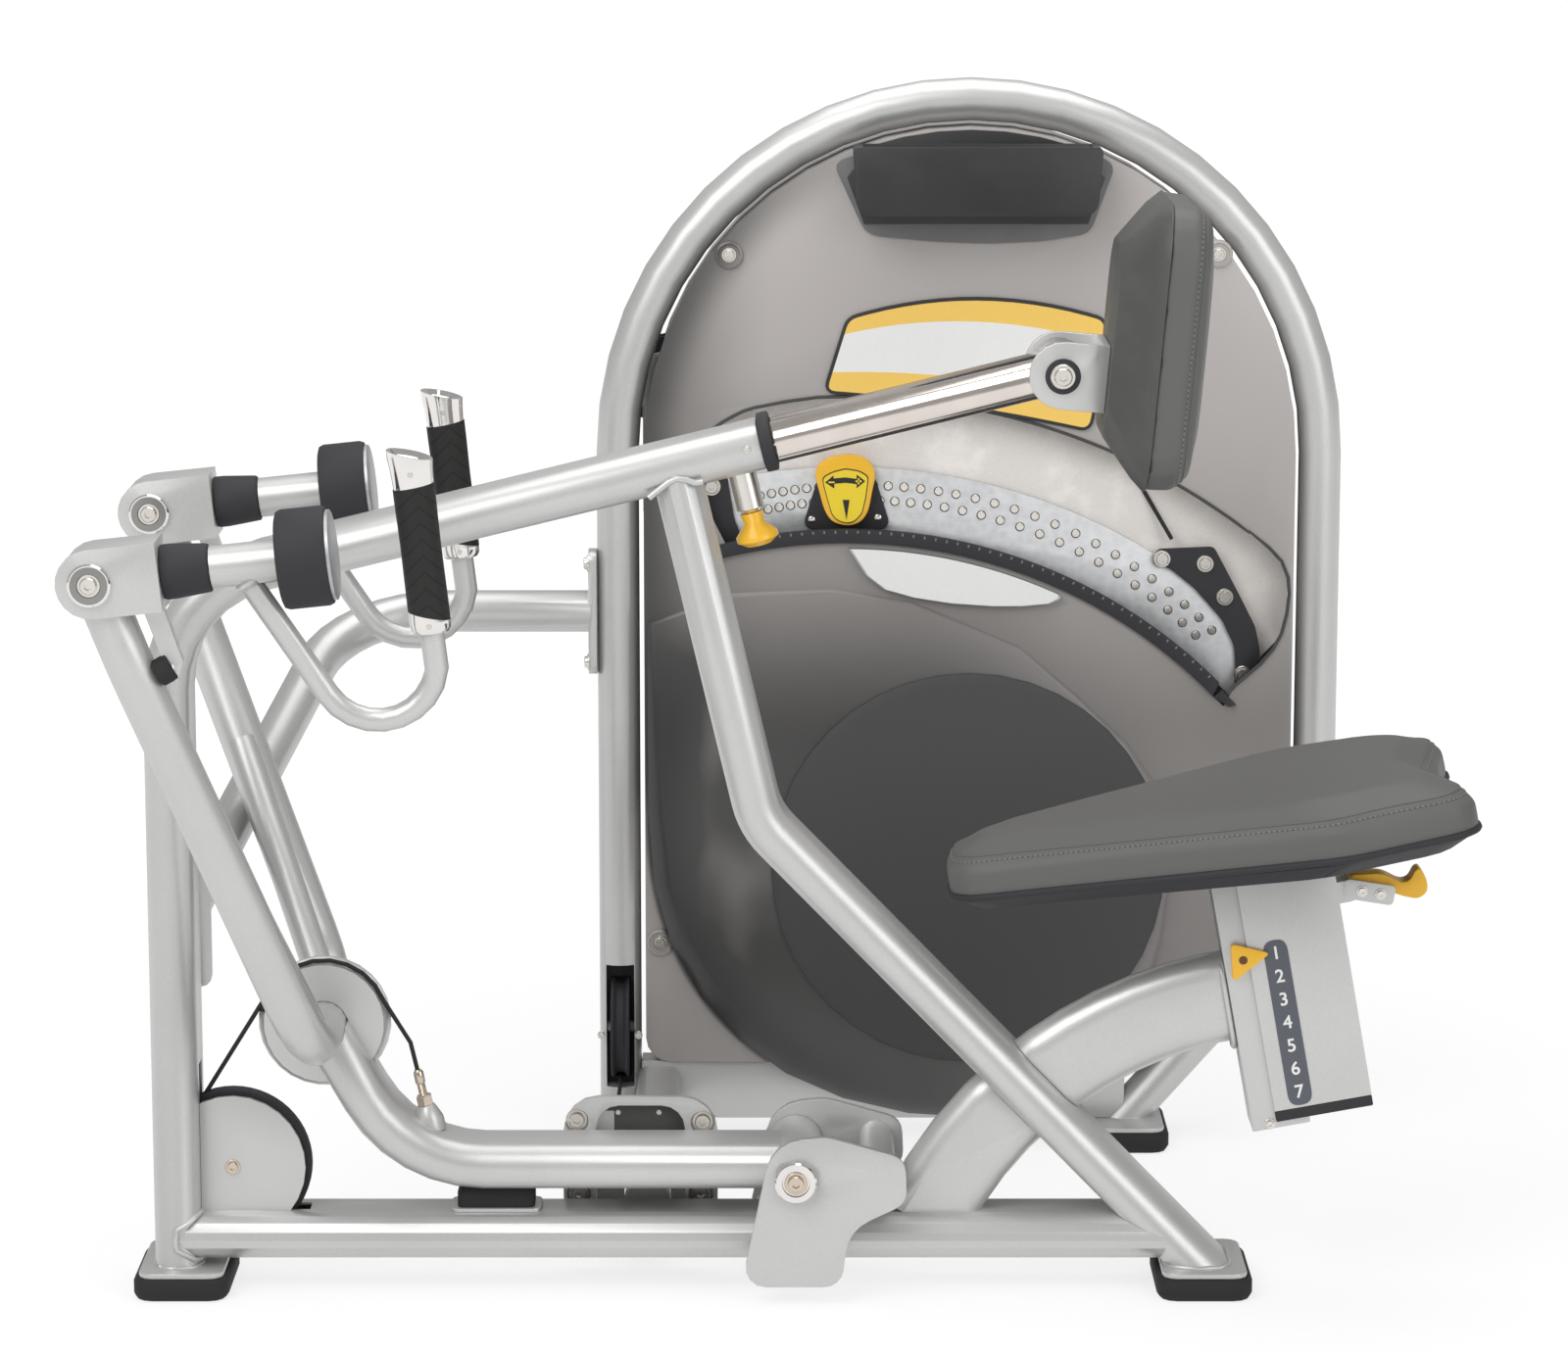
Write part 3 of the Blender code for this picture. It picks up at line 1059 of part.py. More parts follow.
def drum_rise(x, z):
    """Return how far the shroud's drum stands out: most at the lower left, falling evenly to the upper right."""
    along = (x - DRUM_LEFT) * math.cos(DRUM_LEAN) + (z - DRUM_CENTRE.z) * math.sin(DRUM_LEAN)
    below = (DRUM_DROP - DISC_LIFT) * math.sin(DRUM_LEAN) * 0.75
    return DRUM_RISE - DRUM_SLOPE * (along + below)


def drum_outline():
    """Return the drum's outline: squarish at the left and below, drawn in to the disc in a spiral at the right."""
    outline = [(DRUM_LEFT, DRUM_CENTRE.z + DRUM_TOP)]
    right = COVER_DISC.x + DISC_RADIUS + DRUM_MARGIN - DRUM_CENTRE.x
    for i in range(17):
        turn = math.pi * (1.0 + i / 16)
        reach = DRUM_CENTRE.x - DRUM_LEFT if i <= 8 else right
        power = 2.0 / DRUM_SQUARENESS
        across = math.copysign(abs(math.cos(turn)) ** power, math.cos(turn))
        outline.append((DRUM_CENTRE.x + reach * across, DRUM_CENTRE.z - DRUM_DROP * abs(math.sin(turn)) ** power))
    for angle, out in DRUM_SPIRAL:
        turn, radius = math.radians(angle), DISC_RADIUS + out
        outline.append((COVER_DISC.x + radius * math.cos(turn), COVER_DISC.z + radius * math.sin(turn)))
    return outline


def drum_top_outline():
    """Return the drum's outline drawn in by its rounded edge, in proportion to its rise there."""
    outline = [Vector(point) for point in drum_outline()]
    drawn = []
    for i, here in enumerate(outline):
        along = (outline[(i + 1) % len(outline)] - outline[i - 1]).normalized()
        inset = DRUM_EDGE * drum_rise(*here) / DRUM_RISE
        drawn.append(tuple(here + inset * Vector((-along.y, along.x))))
    return drawn


def make_drum(shroud):
    """Drum on the front of the shroud, with the disc cover lying on its sloping face."""
    outline, top = drum_outline(), drum_top_outline()
    middle = [((a + c) / 2, (b + d) / 2) for (a, b), (c, d) in zip(outline, top)]
    root = SHROUD_FRONT + COVER_WALL / 4

    def risen(x, z, share):
        return Vector((x, root - share * (drum_rise(x, z) + COVER_WALL / 4), z))

    def on_face(x, z, height):
        return Vector((x, SHROUD_FRONT - drum_rise(x, z) - height, z))

    boolean(shroud, "UNION", cutter(loft([(outline, 0.0), (outline, 0.45), (middle, 0.85), (top, 1.0)], risen)))
    rim, crown = [[(COVER_DISC.x + a, COVER_DISC.z + b) for a, b in circle(radius, 40)]
                  for radius in (DISC_RADIUS, DISC_RADIUS - DISC_EDGE)]
    levels = [(rim, GAP), (rim, DISC_THICK / 2), (crown, DISC_THICK)]
    add("disc_cover", loft(levels, on_face), DARK)


def make_tower():
    """Arch, base, feet, bridge, brace and covers."""
    leg_foot = Vector((LEG_X, TOWER_Y, FLOOR_PLATE_TOP - WELD))
    crown = [Vector((x, TOWER_Y, z)) for x, z in
             arc((ARCH_X, ARCH_Z), ARCH_RADIUS, math.pi, 0.0, 24)]
    knee = Vector((RIGHT_LEG_X, TOWER_Y, RIGHT_KNEE_Z))
    right_foot = Vector((RIGHT_FOOT_X, TOWER_Y, FLOOR_PLATE_TOP - WELD))
    leg = bent([crown[-1], knee, right_foot + (right_foot - knee) * 0.15], RIGHT_BEND, 5)
    arch = add("tower_arch", sweep([leg_foot] + crown + leg[1:], circle(ROUND_R)), SILVER)
    slot_x = LEG_SLOT_WIDTH / 2
    slot = cutter(box((LEG_X - slot_x, TOWER_Y - ROUND_TUBE, LEG_SLOT_LOW),
                      (LEG_X + slot_x, TOWER_Y + ROUND_TUBE, LEG_SLOT_HIGH)))
    below = cutter(box((0.2, TOWER_Y - 0.2, -0.2), (0.7, TOWER_Y + 0.2, FLOOR_PLATE_TOP - WELD)))
    pin = Vector((slot_x + WELD, 0.0, 0.0))
    boolean(arch, "DIFFERENCE", slot, below)
    boolean(arch, "UNION", cutter(cylinder(STUD_RADIUS, LEG_PULLEY - pin, LEG_PULLEY + pin, 12)))
    for name, x in (("tower_foot_left", LEG_X), ("tower_foot_right", RIGHT_FOOT_X)):
        boolean(arch, "UNION", foot(name, x, TOWER_Y))
    depth = ROUND_TUBE * 0.8
    low = FLOOR_PLATE_TOP + GAP
    base = add("tower_base", box((LEG_X + ROUND_R + GAP, TOWER_Y - depth / 2, low),
                                 (RIGHT_FOOT_X, TOWER_Y + depth / 2, low + TOWER_BASE_HEIGHT)), SILVER)
    arch_clear = cutter(sweep([leg_foot] + crown + leg[1:], circle(ROUND_R + GAP)))
    boolean(base, "DIFFERENCE", arch_clear)
    make_bridge()
    make_tower_brace(arch_clear)
    make_covers()


def block_outline(x, low, high, width, corner):
    """Return an upright rounded oblong, centred on x, between two heights."""
    left, right = x - width / 2, x + width / 2
    return rounded([(left, low), (right, low), (right, high), (left, high)], corner, 4)


def make_bridge():
    """Square tube that joins the tower to the base tube, and the flange with a port for the cable on its end."""
    start = TUBE_WIDE / 2 + GAP
    end = TOWER_Y - ROUND_TUBE * 0.4 - GAP
    low, high = BRIDGE_Z - TUBE_R, BRIDGE_Z + TUBE_R
    tube = block_outline(BRIDGE_X, low, high, TUBE_FLAT, BRIDGE_CORNER)
    bore = block_outline(BRIDGE_X, low + TUBE_WALL, high - TUBE_WALL, TUBE_FLAT - 2 * TUBE_WALL,
                         BRIDGE_CORNER - TUBE_WALL)
    half = FLANGE_HEIGHT / 2
    plate = block_outline(FLANGE_X, FLANGE_Z - half, FLANGE_Z + half, FLANGE_WIDTH, FLANGE_CORNER)
    port = block_outline(FLANGE_X, PORT_LOW, PORT_HIGH, PORT_WIDTH, PORT_CORNER)
    bridge = add("tower_bridge", prism(plate, start, start + PLATE), SILVER)
    boolean(bridge, "DIFFERENCE", cutter(prism(port, start - PLATE, start + 2 * PLATE)))
    boolean(bridge, "UNION", cutter(prism(tube, start + WELD, end)))
    boolean(bridge, "DIFFERENCE", cutter(prism(bore, start - PLATE, end + PLATE)))


def make_tower_brace(arch_clear):
    """Bent tube from the tower's left leg to the back of the post, with an end plate at each end."""
    leg_face = LEG_X - ROUND_R - GAP - PLATE
    post_face = TUBE_WIDE / 2 + GAP
    bend = Vector((BRACE_BEND_X, TOWER_Y, BRACE_Z))
    end = Vector((POST_X, post_face + WELD, BRACE_POST_Z))
    start = Vector((leg_face + WELD, TOWER_Y, BRACE_Z))
    brace = add("tower_brace", sweep(bent([start, bend, end], 0.15, 8), circle(ROUND_R)), SILVER)
    keep_out = cutter(box((POST_X - 0.2, -0.1, 0.0), (POST_X + 0.2, post_face, 0.8)))
    boolean(brace, "DIFFERENCE", keep_out)
    half = BRACE_PLATE_HEIGHT / 2
    left, right = POST_X - POST_PLATE_WIDTH / 2, POST_X + POST_PLATE_WIDTH / 2
    post_plate = rounded([(left, BRACE_POST_Z - half), (right, BRACE_POST_Z - half), (right, BRACE_POST_Z + half),
                          (left, BRACE_POST_Z + half)], PLATE_CORNER, 3)
    left, right = TOWER_Y - LEG_PLATE_WIDTH / 2, TOWER_Y + LEG_PLATE_WIDTH / 2
    leg_plate = rounded([(left, BRACE_Z - half), (right, BRACE_Z - half), (right, BRACE_Z + half),
                         (left, BRACE_Z + half)], PLATE_CORNER, 3)
    across = frame_of(Vector((0.0, 0.0, 0.0)), Vector((0.0, 1.0, 0.0)), Vector((0.0, 0.0, 1.0)))
    boolean(brace, "UNION", cutter(prism(post_plate, post_face, post_face + PLATE)),
            cutter(prism(leg_plate, leg_face, leg_face + PLATE, across)))


def make_covers():
    """Front shroud with its window, disc cover, rear cover and header housing."""
    front = add("front_shroud", prism(cover_outline(0.0), SHROUD_FRONT, SHROUD_RIM_END), SHROUD)
    hollow = cutter(prism(cover_outline(COVER_WALL), SHROUD_FRONT + COVER_WALL, SHROUD_RIM_END + 0.05))
    window = cutter(prism(window_outline(), SHROUD_FRONT - 0.05, SHROUD_RIM_END + 0.05))
    boolean(front, "DIFFERENCE", hollow, window)
    make_drum(front)

    rear = add("rear_cover", prism(cover_outline(0.0), REAR_RIM_START, REAR_BACK), SHROUD)
    hollow = cutter(prism(cover_outline(COVER_WALL), REAR_RIM_START - 0.05, REAR_BACK - COVER_WALL))
    reach = TOP_GROOVE + PULLEY_RIM + 4 * RUN_GAP
    notch = cutter(box((LEG_X - 0.05, REAR_RIM_START - 0.05, UPPER_PULLEY_Z - reach),
                       (UPPER_PULLEY.x + reach, TOP_Y + PULLEY_WIDTH, UPPER_PULLEY_Z + reach)))
    boolean(rear, "DIFFERENCE", hollow, notch)

    face = SHROUD_FRONT - GAP
    make_header(face)


def make_header(face):
    """Open-topped pocket on a curved back plate at the head of the shroud."""
    x, radius = ARCH_X + HEADER_SHIFT, ARCH_RADIUS - ROUND_R - COVER_GAP
    top = ARCH_Z + radius - HEADER_DROP
    half, low = HEADER_WIDTH / 2, top - HEADER_HEIGHT
    skirt = low - HEADER_SKIRT
    crown = arc((ARCH_X, ARCH_Z), radius - HEADER_WALL / 2, math.radians(72), math.radians(108), 6)
    shoulder, heel = half + HEADER_WALL, half - 3 * HEADER_WALL
    lower = rounded([(x - shoulder, top - HEADER_HEIGHT / 2), (x - heel, skirt + 2 * HEADER_WALL), (x, skirt),
                     (x + heel, skirt + 2 * HEADER_WALL), (x + shoulder, top - HEADER_HEIGHT / 2)],
                    [0.0, 3 * HEADER_WALL, 100 * HEADER_WALL, 3 * HEADER_WALL, 0.0], 4)
    plate = prism(crown + lower, face - HEADER_BACK, face)
    header = add("header_housing", plate, BLACK)
    front = face - HEADER_DEPTH
    foot_half = half - HEADER_WALL
    outline = rounded([(x - half, top), (x - foot_half, low), (x + foot_half, low), (x + half, top)],
                      [HEADER_WALL, 3 * HEADER_WALL, 3 * HEADER_WALL, HEADER_WALL], 4)
    boolean(header, "UNION", cutter(prism(outline, front, face - HEADER_WALL)))
    inset = 2 * HEADER_WALL
    pocket = cutter(box((x - half + inset, front + HEADER_WALL, low + 4 * HEADER_WALL),
                        (x + half - inset, face - HEADER_BACK - GAP, top + HEADER_HEIGHT)))
    boolean(header, "DIFFERENCE", pocket)


def polar(radius, angle):
    """Return a side-view point about the weight arm's arc centre, angle clockwise from straight up."""
    return ARC_CENTRE.x + math.sin(angle) * radius, ARC_CENTRE.z + math.cos(angle) * radius


def make_weight_arm():
    """Quadrant plate with its pivot hole, end bracket and weight disc."""
    centre = (ARC_CENTRE.x, ARC_CENTRE.z)
    web_left, web_right = math.radians(4.0), math.radians(30.0)
    outline = bow(centre, ARC_OUTER, ARC_LEFT, ARC_RIGHT, 18)
    outline += bow(centre, ARC_INNER, ARC_RIGHT + ARC_RIGHT_SLANT, web_right, 5)
    outline += [(DISC_CENTRE.x + 0.10, DISC_CENTRE.z - 0.02), (DISC_CENTRE.x, DISC_CENTRE.z - 0.09),
                (DISC_CENTRE.x - 0.10, DISC_CENTRE.z - 0.02)]
    outline += bow(centre, ARC_INNER, web_left, ARC_LEFT, 7)
    back = QUADRANT_Y + QUADRANT_PLATE
    plate = add("quadrant", prism(outline, QUADRANT_Y, back), STEEL, "weight_arm")
    ends = Vector((0.0, 1.0, 0.0))
    boolean(plate, "DIFFERENCE", cutter(cylinder(STUD_RADIUS + GAP, QUADRANT_PIVOT, QUADRANT_PIVOT + ends, 12),
                                        "weight_arm"))
    spot = Vector((DISC_CENTRE.x, back + GAP, DISC_CENTRE.z))
    profile = [(WEIGHT_DISC_RADIUS - 0.003, 0.0), (WEIGHT_DISC_RADIUS, 0.003),
               (WEIGHT_DISC_RADIUS, WEIGHT_DISC - 0.003), (WEIGHT_DISC_RADIUS - 0.003, WEIGHT_DISC)]
    add("weight_disc", turned(profile, spot, ends, 32), STEEL, "weight_arm")
    corners = [(0.0726, -11.4), (0.0874, -10.0), (0.1145, -7.3), (0.0965, -3.4), (0.0660, 1.3), (0.0380, 4.2),
               (0.0165, 4.1), (0.0470, 1.2), (0.0715, -2.1), (0.0850, -5.7), (0.0763, -8.0), (0.0570, -10.4)]
    bracket = [polar(ARC_INNER + rise, ARC_RIGHT + math.radians(turn)) for rise, turn in corners]
    add("end_bracket", prism(bracket, QUADRANT_Y - GAP - END_BRACKET, QUADRANT_Y - GAP), BLACK, "weight_arm")


def make_selector():
    """Selector carriage on the arc, and its squeeze trigger."""
    x, low, high = ARC_CENTRE.x, ARC_CENTRE.z + ARC_INNER, ARC_CENTRE.z + ARC_OUTER
    half, waist = SELECTOR_WIDTH / 2, SELECTOR_WIDTH * 0.28
    plate = rounded([(x - half, low), (x + half, low), (x + waist, high), (x - waist, high)],
                    [0.010, 0.010, 0.024, 0.024], 4)
    add("selector", prism(plate, SELECTOR_Y, SELECTOR_Y + SELECTOR_PLATE), BLACK, "selector")
    half, tip = TRIGGER_WIDTH / 2, TRIGGER_WIDTH * 0.2
    base, brow = low + TRIGGER_LIFT, half * 0.85
    trigger = rounded([(x - tip, base), (x + tip, base), (x + half, high - TRIGGER_LIFT),
                       (x + brow, high + TRIGGER_RISE), (x - brow, high + TRIGGER_RISE),
                       (x - half, high - TRIGGER_LIFT)], [0.012, 0.012, 0.020, 0.014, 0.014, 0.020], 4)
    add("squeeze_trigger", prism(trigger, TRIGGER_Y, TRIGGER_Y + TRIGGER_PLATE), AMBER, "squeeze")


def make_pulley(name, centre, axis, groove, on):
    """One grooved pulley that turns on a pin."""
    half = PULLEY_WIDTH / 2
    rim = groove + PULLEY_RIM
    bore = STUD_RADIUS + 2 * GAP
    profile = [(bore, -half), (rim, -half), (rim, -half + 0.003), (groove, -0.004), (groove, 0.004),
               (rim, half - 0.003), (rim, half), (bore, half)]
    add(name, turned(profile, centre, axis, 20, closed=True), BLACK, on)


def make_pulleys():
    """The five pulleys and the bar that carries the two at the top and the weight arm's pivot."""
    across = Vector((0.0, 1.0, 0.0))
    make_pulley("front_pulley", FRONT_PULLEY, across, FRONT_GROOVE, "front_pulley")
    make_pulley("base_pulley", BASE_PULLEY, Vector((0.0, 0.0, 1.0)), BASE_GROOVE, "base_pulley")
    make_pulley("leg_pulley", LEG_PULLEY, Vector((1.0, 0.0, 0.0)), LEG_GROOVE, "leg_pulley")
    drop = Vector((DROP_PULLEY.x, TOP_Y, DROP_PULLEY.z))
    make_pulley("upper_pulley", UPPER_PULLEY, across, TOP_GROOVE, "upper_pulley")
    make_pulley("drop_pulley", drop, across, TOP_GROOVE, "drop_pulley")

    bar_front = TOP_Y - PULLEY_WIDTH / 2 - 0.022
    bar_back = bar_front + 0.012
    upper, lower = DROP_PULLEY.z, QUADRANT_PIVOT.z
    outline = [(UPPER_PULLEY.x - 0.02, lower - 0.025), (QUADRANT_PIVOT.x + 0.03, lower - 0.025),
               (QUADRANT_PIVOT.x + 0.03, UPPER_PULLEY_Z - 0.03), (drop.x + 0.03, upper - 0.03),
               (drop.x + 0.03, upper + 0.03), (UPPER_PULLEY.x - 0.02, UPPER_PULLEY_Z + 0.03)]
    carrier = add("pulley_carrier", prism(rounded(outline, 0.012, 3), bar_front, bar_back), SILVER)
    for centre in (UPPER_PULLEY, drop):
        start = Vector((centre.x, bar_front + WELD, centre.z))
        end = Vector((centre.x, TOP_Y + PULLEY_WIDTH / 2, centre.z))
        boolean(carrier, "UNION", cutter(cylinder(STUD_RADIUS, start, end, 12)))
    stud = Vector((QUADRANT_PIVOT.x, bar_front + WELD, QUADRANT_PIVOT.z))
    tip = Vector((QUADRANT_PIVOT.x, QUADRANT_Y - 0.004, QUADRANT_PIVOT.z))
    boolean(carrier, "UNION", cutter(cylinder(STUD_RADIUS, stud, tip, 12)))
    lug_low = UPPER_PULLEY_Z - 0.03
    lug = cutter(box((LEG_X - 0.01, TOWER_Y + ROUND_R + GAP, lug_low),
                     (UPPER_PULLEY.x, bar_back, UPPER_PULLEY_Z + 0.03)))
    boolean(carrier, "UNION", lug)


def tangent_points(first, first_radius, second, second_radius, hand):
    """Return where a cable leaves one round guide and meets the next, both on the same hand."""
    gap = second - first
    along = gap.normalized()
    across = Vector((-along.z, 0.0, along.x)) * hand
    lean = (first_radius - second_radius) / gap.length
    normal = along * lean + across * math.sqrt(1 - lean * lean)
    return first + normal * first_radius, second + normal * second_radius


def wrap(centre, start, end, clockwise, steps):
    """Return points round a guide in the side view from one point to another."""
    a = math.atan2(start.z - centre.z, start.x - centre.x)
    b = math.atan2(end.z - centre.z, end.x - centre.x)
    if clockwise and b > a:
        b -= 2 * math.pi
    if not clockwise and b < a:
        b += 2 * math.pi
    radius = (start - centre).length
    return [Vector((x, centre.y, z)) for x, z in arc((centre.x, centre.z), radius, a, b, steps)]


def make_cables():
    """The cable from the lever, through base and tower, to the weight arm."""
    guide_radius = GUIDE_RADIUS - GROOVE + ROPE_OFFSET
    front_radius = FRONT_GROOVE + ROPE_OFFSET
    leave, meet = tangent_points(YOKE_CROSS, guide_radius, FRONT_PULLEY, front_radius, -1.0)
    anchor = YOKE_CROSS + ARM_ANCHOR
    start_angle = math.radians(20)
    first = YOKE_CROSS + Vector((math.cos(start_angle), 0.0, math.sin(start_angle))) * guide_radius
    over = wrap(YOKE_CROSS, first, leave, False, 8)
    rope("cable_arm", [anchor, anchor.lerp(first, 0.5) + Vector((0.008, 0.0, 0.004))] + over, "row_arm")
    step = (meet - leave).normalized() * GAP
    rope("cable_front", [leave + step, leave.lerp(meet, 0.5), meet - step], "frame")

    low = Vector((FRONT_PULLEY.x, 0.0, FRONT_PULLEY.z - front_radius))
    path = wrap(FRONT_PULLEY, meet, low, False, 8)
    rope_z = low.z
    base_radius = BASE_GROOVE + ROPE_OFFSET
    corner = [Vector((x, y, BASE_Z)) for x, y in
              arc((BASE_PULLEY.x, BASE_PULLEY.y), base_radius, -math.pi / 2, 0.0, 5)]
    lead = Vector((BASE_PULLEY.x - 0.05, BASE_ROPE_Y, BASE_Z))
    leg_radius = LEG_GROOVE + ROPE_OFFSET
    around = [Vector((LEG_X, y, z)) for y, z in
              arc((LEG_PULLEY.y, LEG_PULLEY.z), leg_radius, -math.pi / 2, 0.0, 6)]
    path += [Vector((FRONT_PULLEY.x + 0.08, 0.0, rope_z)), lead] + corner + around
    drop = Vector((DROP_PULLEY.x, TOP_Y, DROP_PULLEY.z))
    top_radius = TOP_GROOVE + ROPE_OFFSET
    away, onto = tangent_points(UPPER_PULLEY, top_radius, drop, top_radius, 1.0)
    climb = UPPER_PULLEY - Vector((top_radius, 0.0, 0.0))
    path += wrap(UPPER_PULLEY, climb, away, True, 5)
    anchor_x, anchor_z = polar(ARC_INNER + ANCHOR_RISE, ARC_RIGHT + ANCHOR_TURN)
    anchor = Vector((anchor_x, QUADRANT_Y - END_BRACKET / 2, anchor_z))
    down = anchor - drop
    down.y = 0.0
    fall = math.acos(top_radius / down.length)
    angle = math.atan2(down.z, down.x) + fall
    off = drop + Vector((math.cos(angle), 0.0, math.sin(angle))) * top_radius
    path += wrap(drop, onto, off, True, 6)
    rope("cable_main", path, "frame")
    step = (anchor - off).normalized() * RUN_GAP
    rope("cable_drop", [off + step, off.lerp(anchor, 0.5), anchor - step], "frame")


def make_bodies():
    """The empties that carry the moving bodies."""
    body("frame", Vector((0.0, 0.0, 0.0)))
    body("row_arm", PIVOT, "frame")
    for label, sign in SIDE_SIGN.items():
        pivot = HANDLE_PIVOT + Vector((0.0, sign * ARM_Y, 0.0))
        body("handle_" + label, pivot, "row_arm")
        body("swivel_" + label, pivot + HANDLE_DIR * CLEVIS_LENGTH, "handle_" + label)
    body("chest_slide", BEAM_END, "frame")
    body("chest_tilt", CHEST_PIVOT, "chest_slide")
    body("pop_pin", pop_pin_top(), "frame")
    body("seat_slide", RAIL_FOOT, "frame")
    body("seat_lever", seat_lever_pivot(), "seat_slide")
    body("weight_arm", QUADRANT_PIVOT + Vector((0.0, QUADRANT_Y, 0.0)), "frame")
    body("selector", ARC_CENTRE + Vector((0.0, SELECTOR_Y, 0.0)), "weight_arm")
    body("squeeze", ARC_CENTRE + Vector((0.0, TRIGGER_Y, 0.0)), "selector")
    pulleys = {"front_pulley": FRONT_PULLEY, "base_pulley": BASE_PULLEY, "leg_pulley": LEG_PULLEY,
               "upper_pulley": UPPER_PULLEY, "drop_pulley": Vector((DROP_PULLEY.x, TOP_Y, DROP_PULLEY.z))}
    for name, centre in pulleys.items():
        body(name, centre, "frame")


def centre_on_floor():
    """Move the machine so that the origin lies on the floor under the middle of its box."""
    bpy.context.view_layer.update()
    graph = bpy.context.evaluated_depsgraph_get()
    corners = []
    for made in bpy.context.scene.objects:
        if made.type == "EMPTY" or made.hide_render:
            continue
        solid = made.evaluated_get(graph)
        corners += [solid.matrix_world @ vertex.co for vertex in solid.to_mesh().vertices]
        solid.to_mesh_clear()
    for axis in (0, 1):
        values = [corner[axis] for corner in corners]
        BODIES["frame"]["empty"].location[axis] = -(min(values) + max(values)) / 2


def main():
    """Build the machine."""
    for old in list(bpy.data.objects):
        bpy.data.objects.remove(old)
    make_bodies()
    make_main_frame()
    make_row_arm()
    for label in SIDE_SIGN:
        make_handle(label)
    make_chest_support()
    make_seat()
    make_tower()
    make_weight_arm()
    make_selector()
    make_pulleys()
    make_cables()
    centre_on_floor()


main()
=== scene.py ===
"""Looks of the seated row machine: finishes, upholstery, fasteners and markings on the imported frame.

Sizes and places are metres in the machine's own frame: x towards the seat, y towards the weight tower,
z up from the floor, with y = 0 in the plane of the main frame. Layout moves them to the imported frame.
"""

import json
import logging
import math
from contextlib import contextmanager
from dataclasses import dataclass
from enum import Enum
from typing import Callable, Iterator, Sequence

import bmesh
import bpy
import numpy as np
from mathutils import Matrix, Vector
from mathutils.geometry import convex_hull_2d

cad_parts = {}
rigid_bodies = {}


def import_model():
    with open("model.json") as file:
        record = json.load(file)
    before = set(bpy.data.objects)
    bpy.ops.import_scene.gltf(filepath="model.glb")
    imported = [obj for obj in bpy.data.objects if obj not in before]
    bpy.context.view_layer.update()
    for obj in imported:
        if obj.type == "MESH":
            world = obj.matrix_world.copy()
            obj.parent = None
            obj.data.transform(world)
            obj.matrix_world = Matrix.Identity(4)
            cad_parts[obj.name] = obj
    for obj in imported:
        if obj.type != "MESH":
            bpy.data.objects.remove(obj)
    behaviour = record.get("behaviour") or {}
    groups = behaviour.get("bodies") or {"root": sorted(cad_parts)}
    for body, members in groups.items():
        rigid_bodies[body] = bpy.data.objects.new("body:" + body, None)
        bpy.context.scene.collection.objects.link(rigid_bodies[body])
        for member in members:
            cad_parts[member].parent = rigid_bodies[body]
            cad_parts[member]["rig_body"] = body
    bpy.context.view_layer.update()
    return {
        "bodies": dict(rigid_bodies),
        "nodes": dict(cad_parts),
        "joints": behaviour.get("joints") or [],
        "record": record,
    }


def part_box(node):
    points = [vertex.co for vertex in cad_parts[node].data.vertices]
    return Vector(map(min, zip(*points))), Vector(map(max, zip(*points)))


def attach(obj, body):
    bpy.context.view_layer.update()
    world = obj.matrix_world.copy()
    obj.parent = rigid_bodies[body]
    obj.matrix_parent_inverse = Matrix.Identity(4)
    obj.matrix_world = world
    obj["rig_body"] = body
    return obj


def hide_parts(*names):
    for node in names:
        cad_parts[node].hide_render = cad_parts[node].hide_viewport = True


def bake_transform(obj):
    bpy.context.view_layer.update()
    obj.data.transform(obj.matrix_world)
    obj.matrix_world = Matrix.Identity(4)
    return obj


LOG = logging.getLogger("row_machine")

Colour = tuple[float, float, float]
Point2 = tuple[float, float]
Point3 = tuple[float, float, float]
Outline = tuple[Point2, ...]
Piece = bpy.types.Object
Placer = Callable[[float, float, float], Vector]

UP = Vector((0.0, 0.0, 1.0))
ORIGIN = Vector((0.0, 0.0, 0.0))
# Places in the side view that several sub-assemblies share; MIDDLE is the plane of the main frame.
PIVOT: Point2 = (0.013, 0.142)
GUIDE: Point2 = (-0.505, 0.298)
FRONT_PULLEY: Point2 = (-0.607, 0.138)
ARC_CENTRE: Point2 = (0.075, 0.129)
MIDDLE = 0.0

# How far each bolt of a row is turned, and how copies of CAD nodes are measured and cleaned.
BOLT_TURN = 0.7
END_BAND = 0.06
MERGE_GAP = 2e-5
FLAT_ANGLE = 0.4


class Axis(Enum):
    """Directions that fasteners and discs face."""

    NEAR = (0.0, -1.0, 0.0)
    FAR = (0.0, 1.0, 0.0)
    LEFT = (-1.0, 0.0, 0.0)
    RIGHT = (1.0, 0.0, 0.0)
    UP = (0.0, 0.0, 1.0)

    @property
    def vector(self) -> Vector:
        """The direction as a vector."""
        return Vector(self.value)


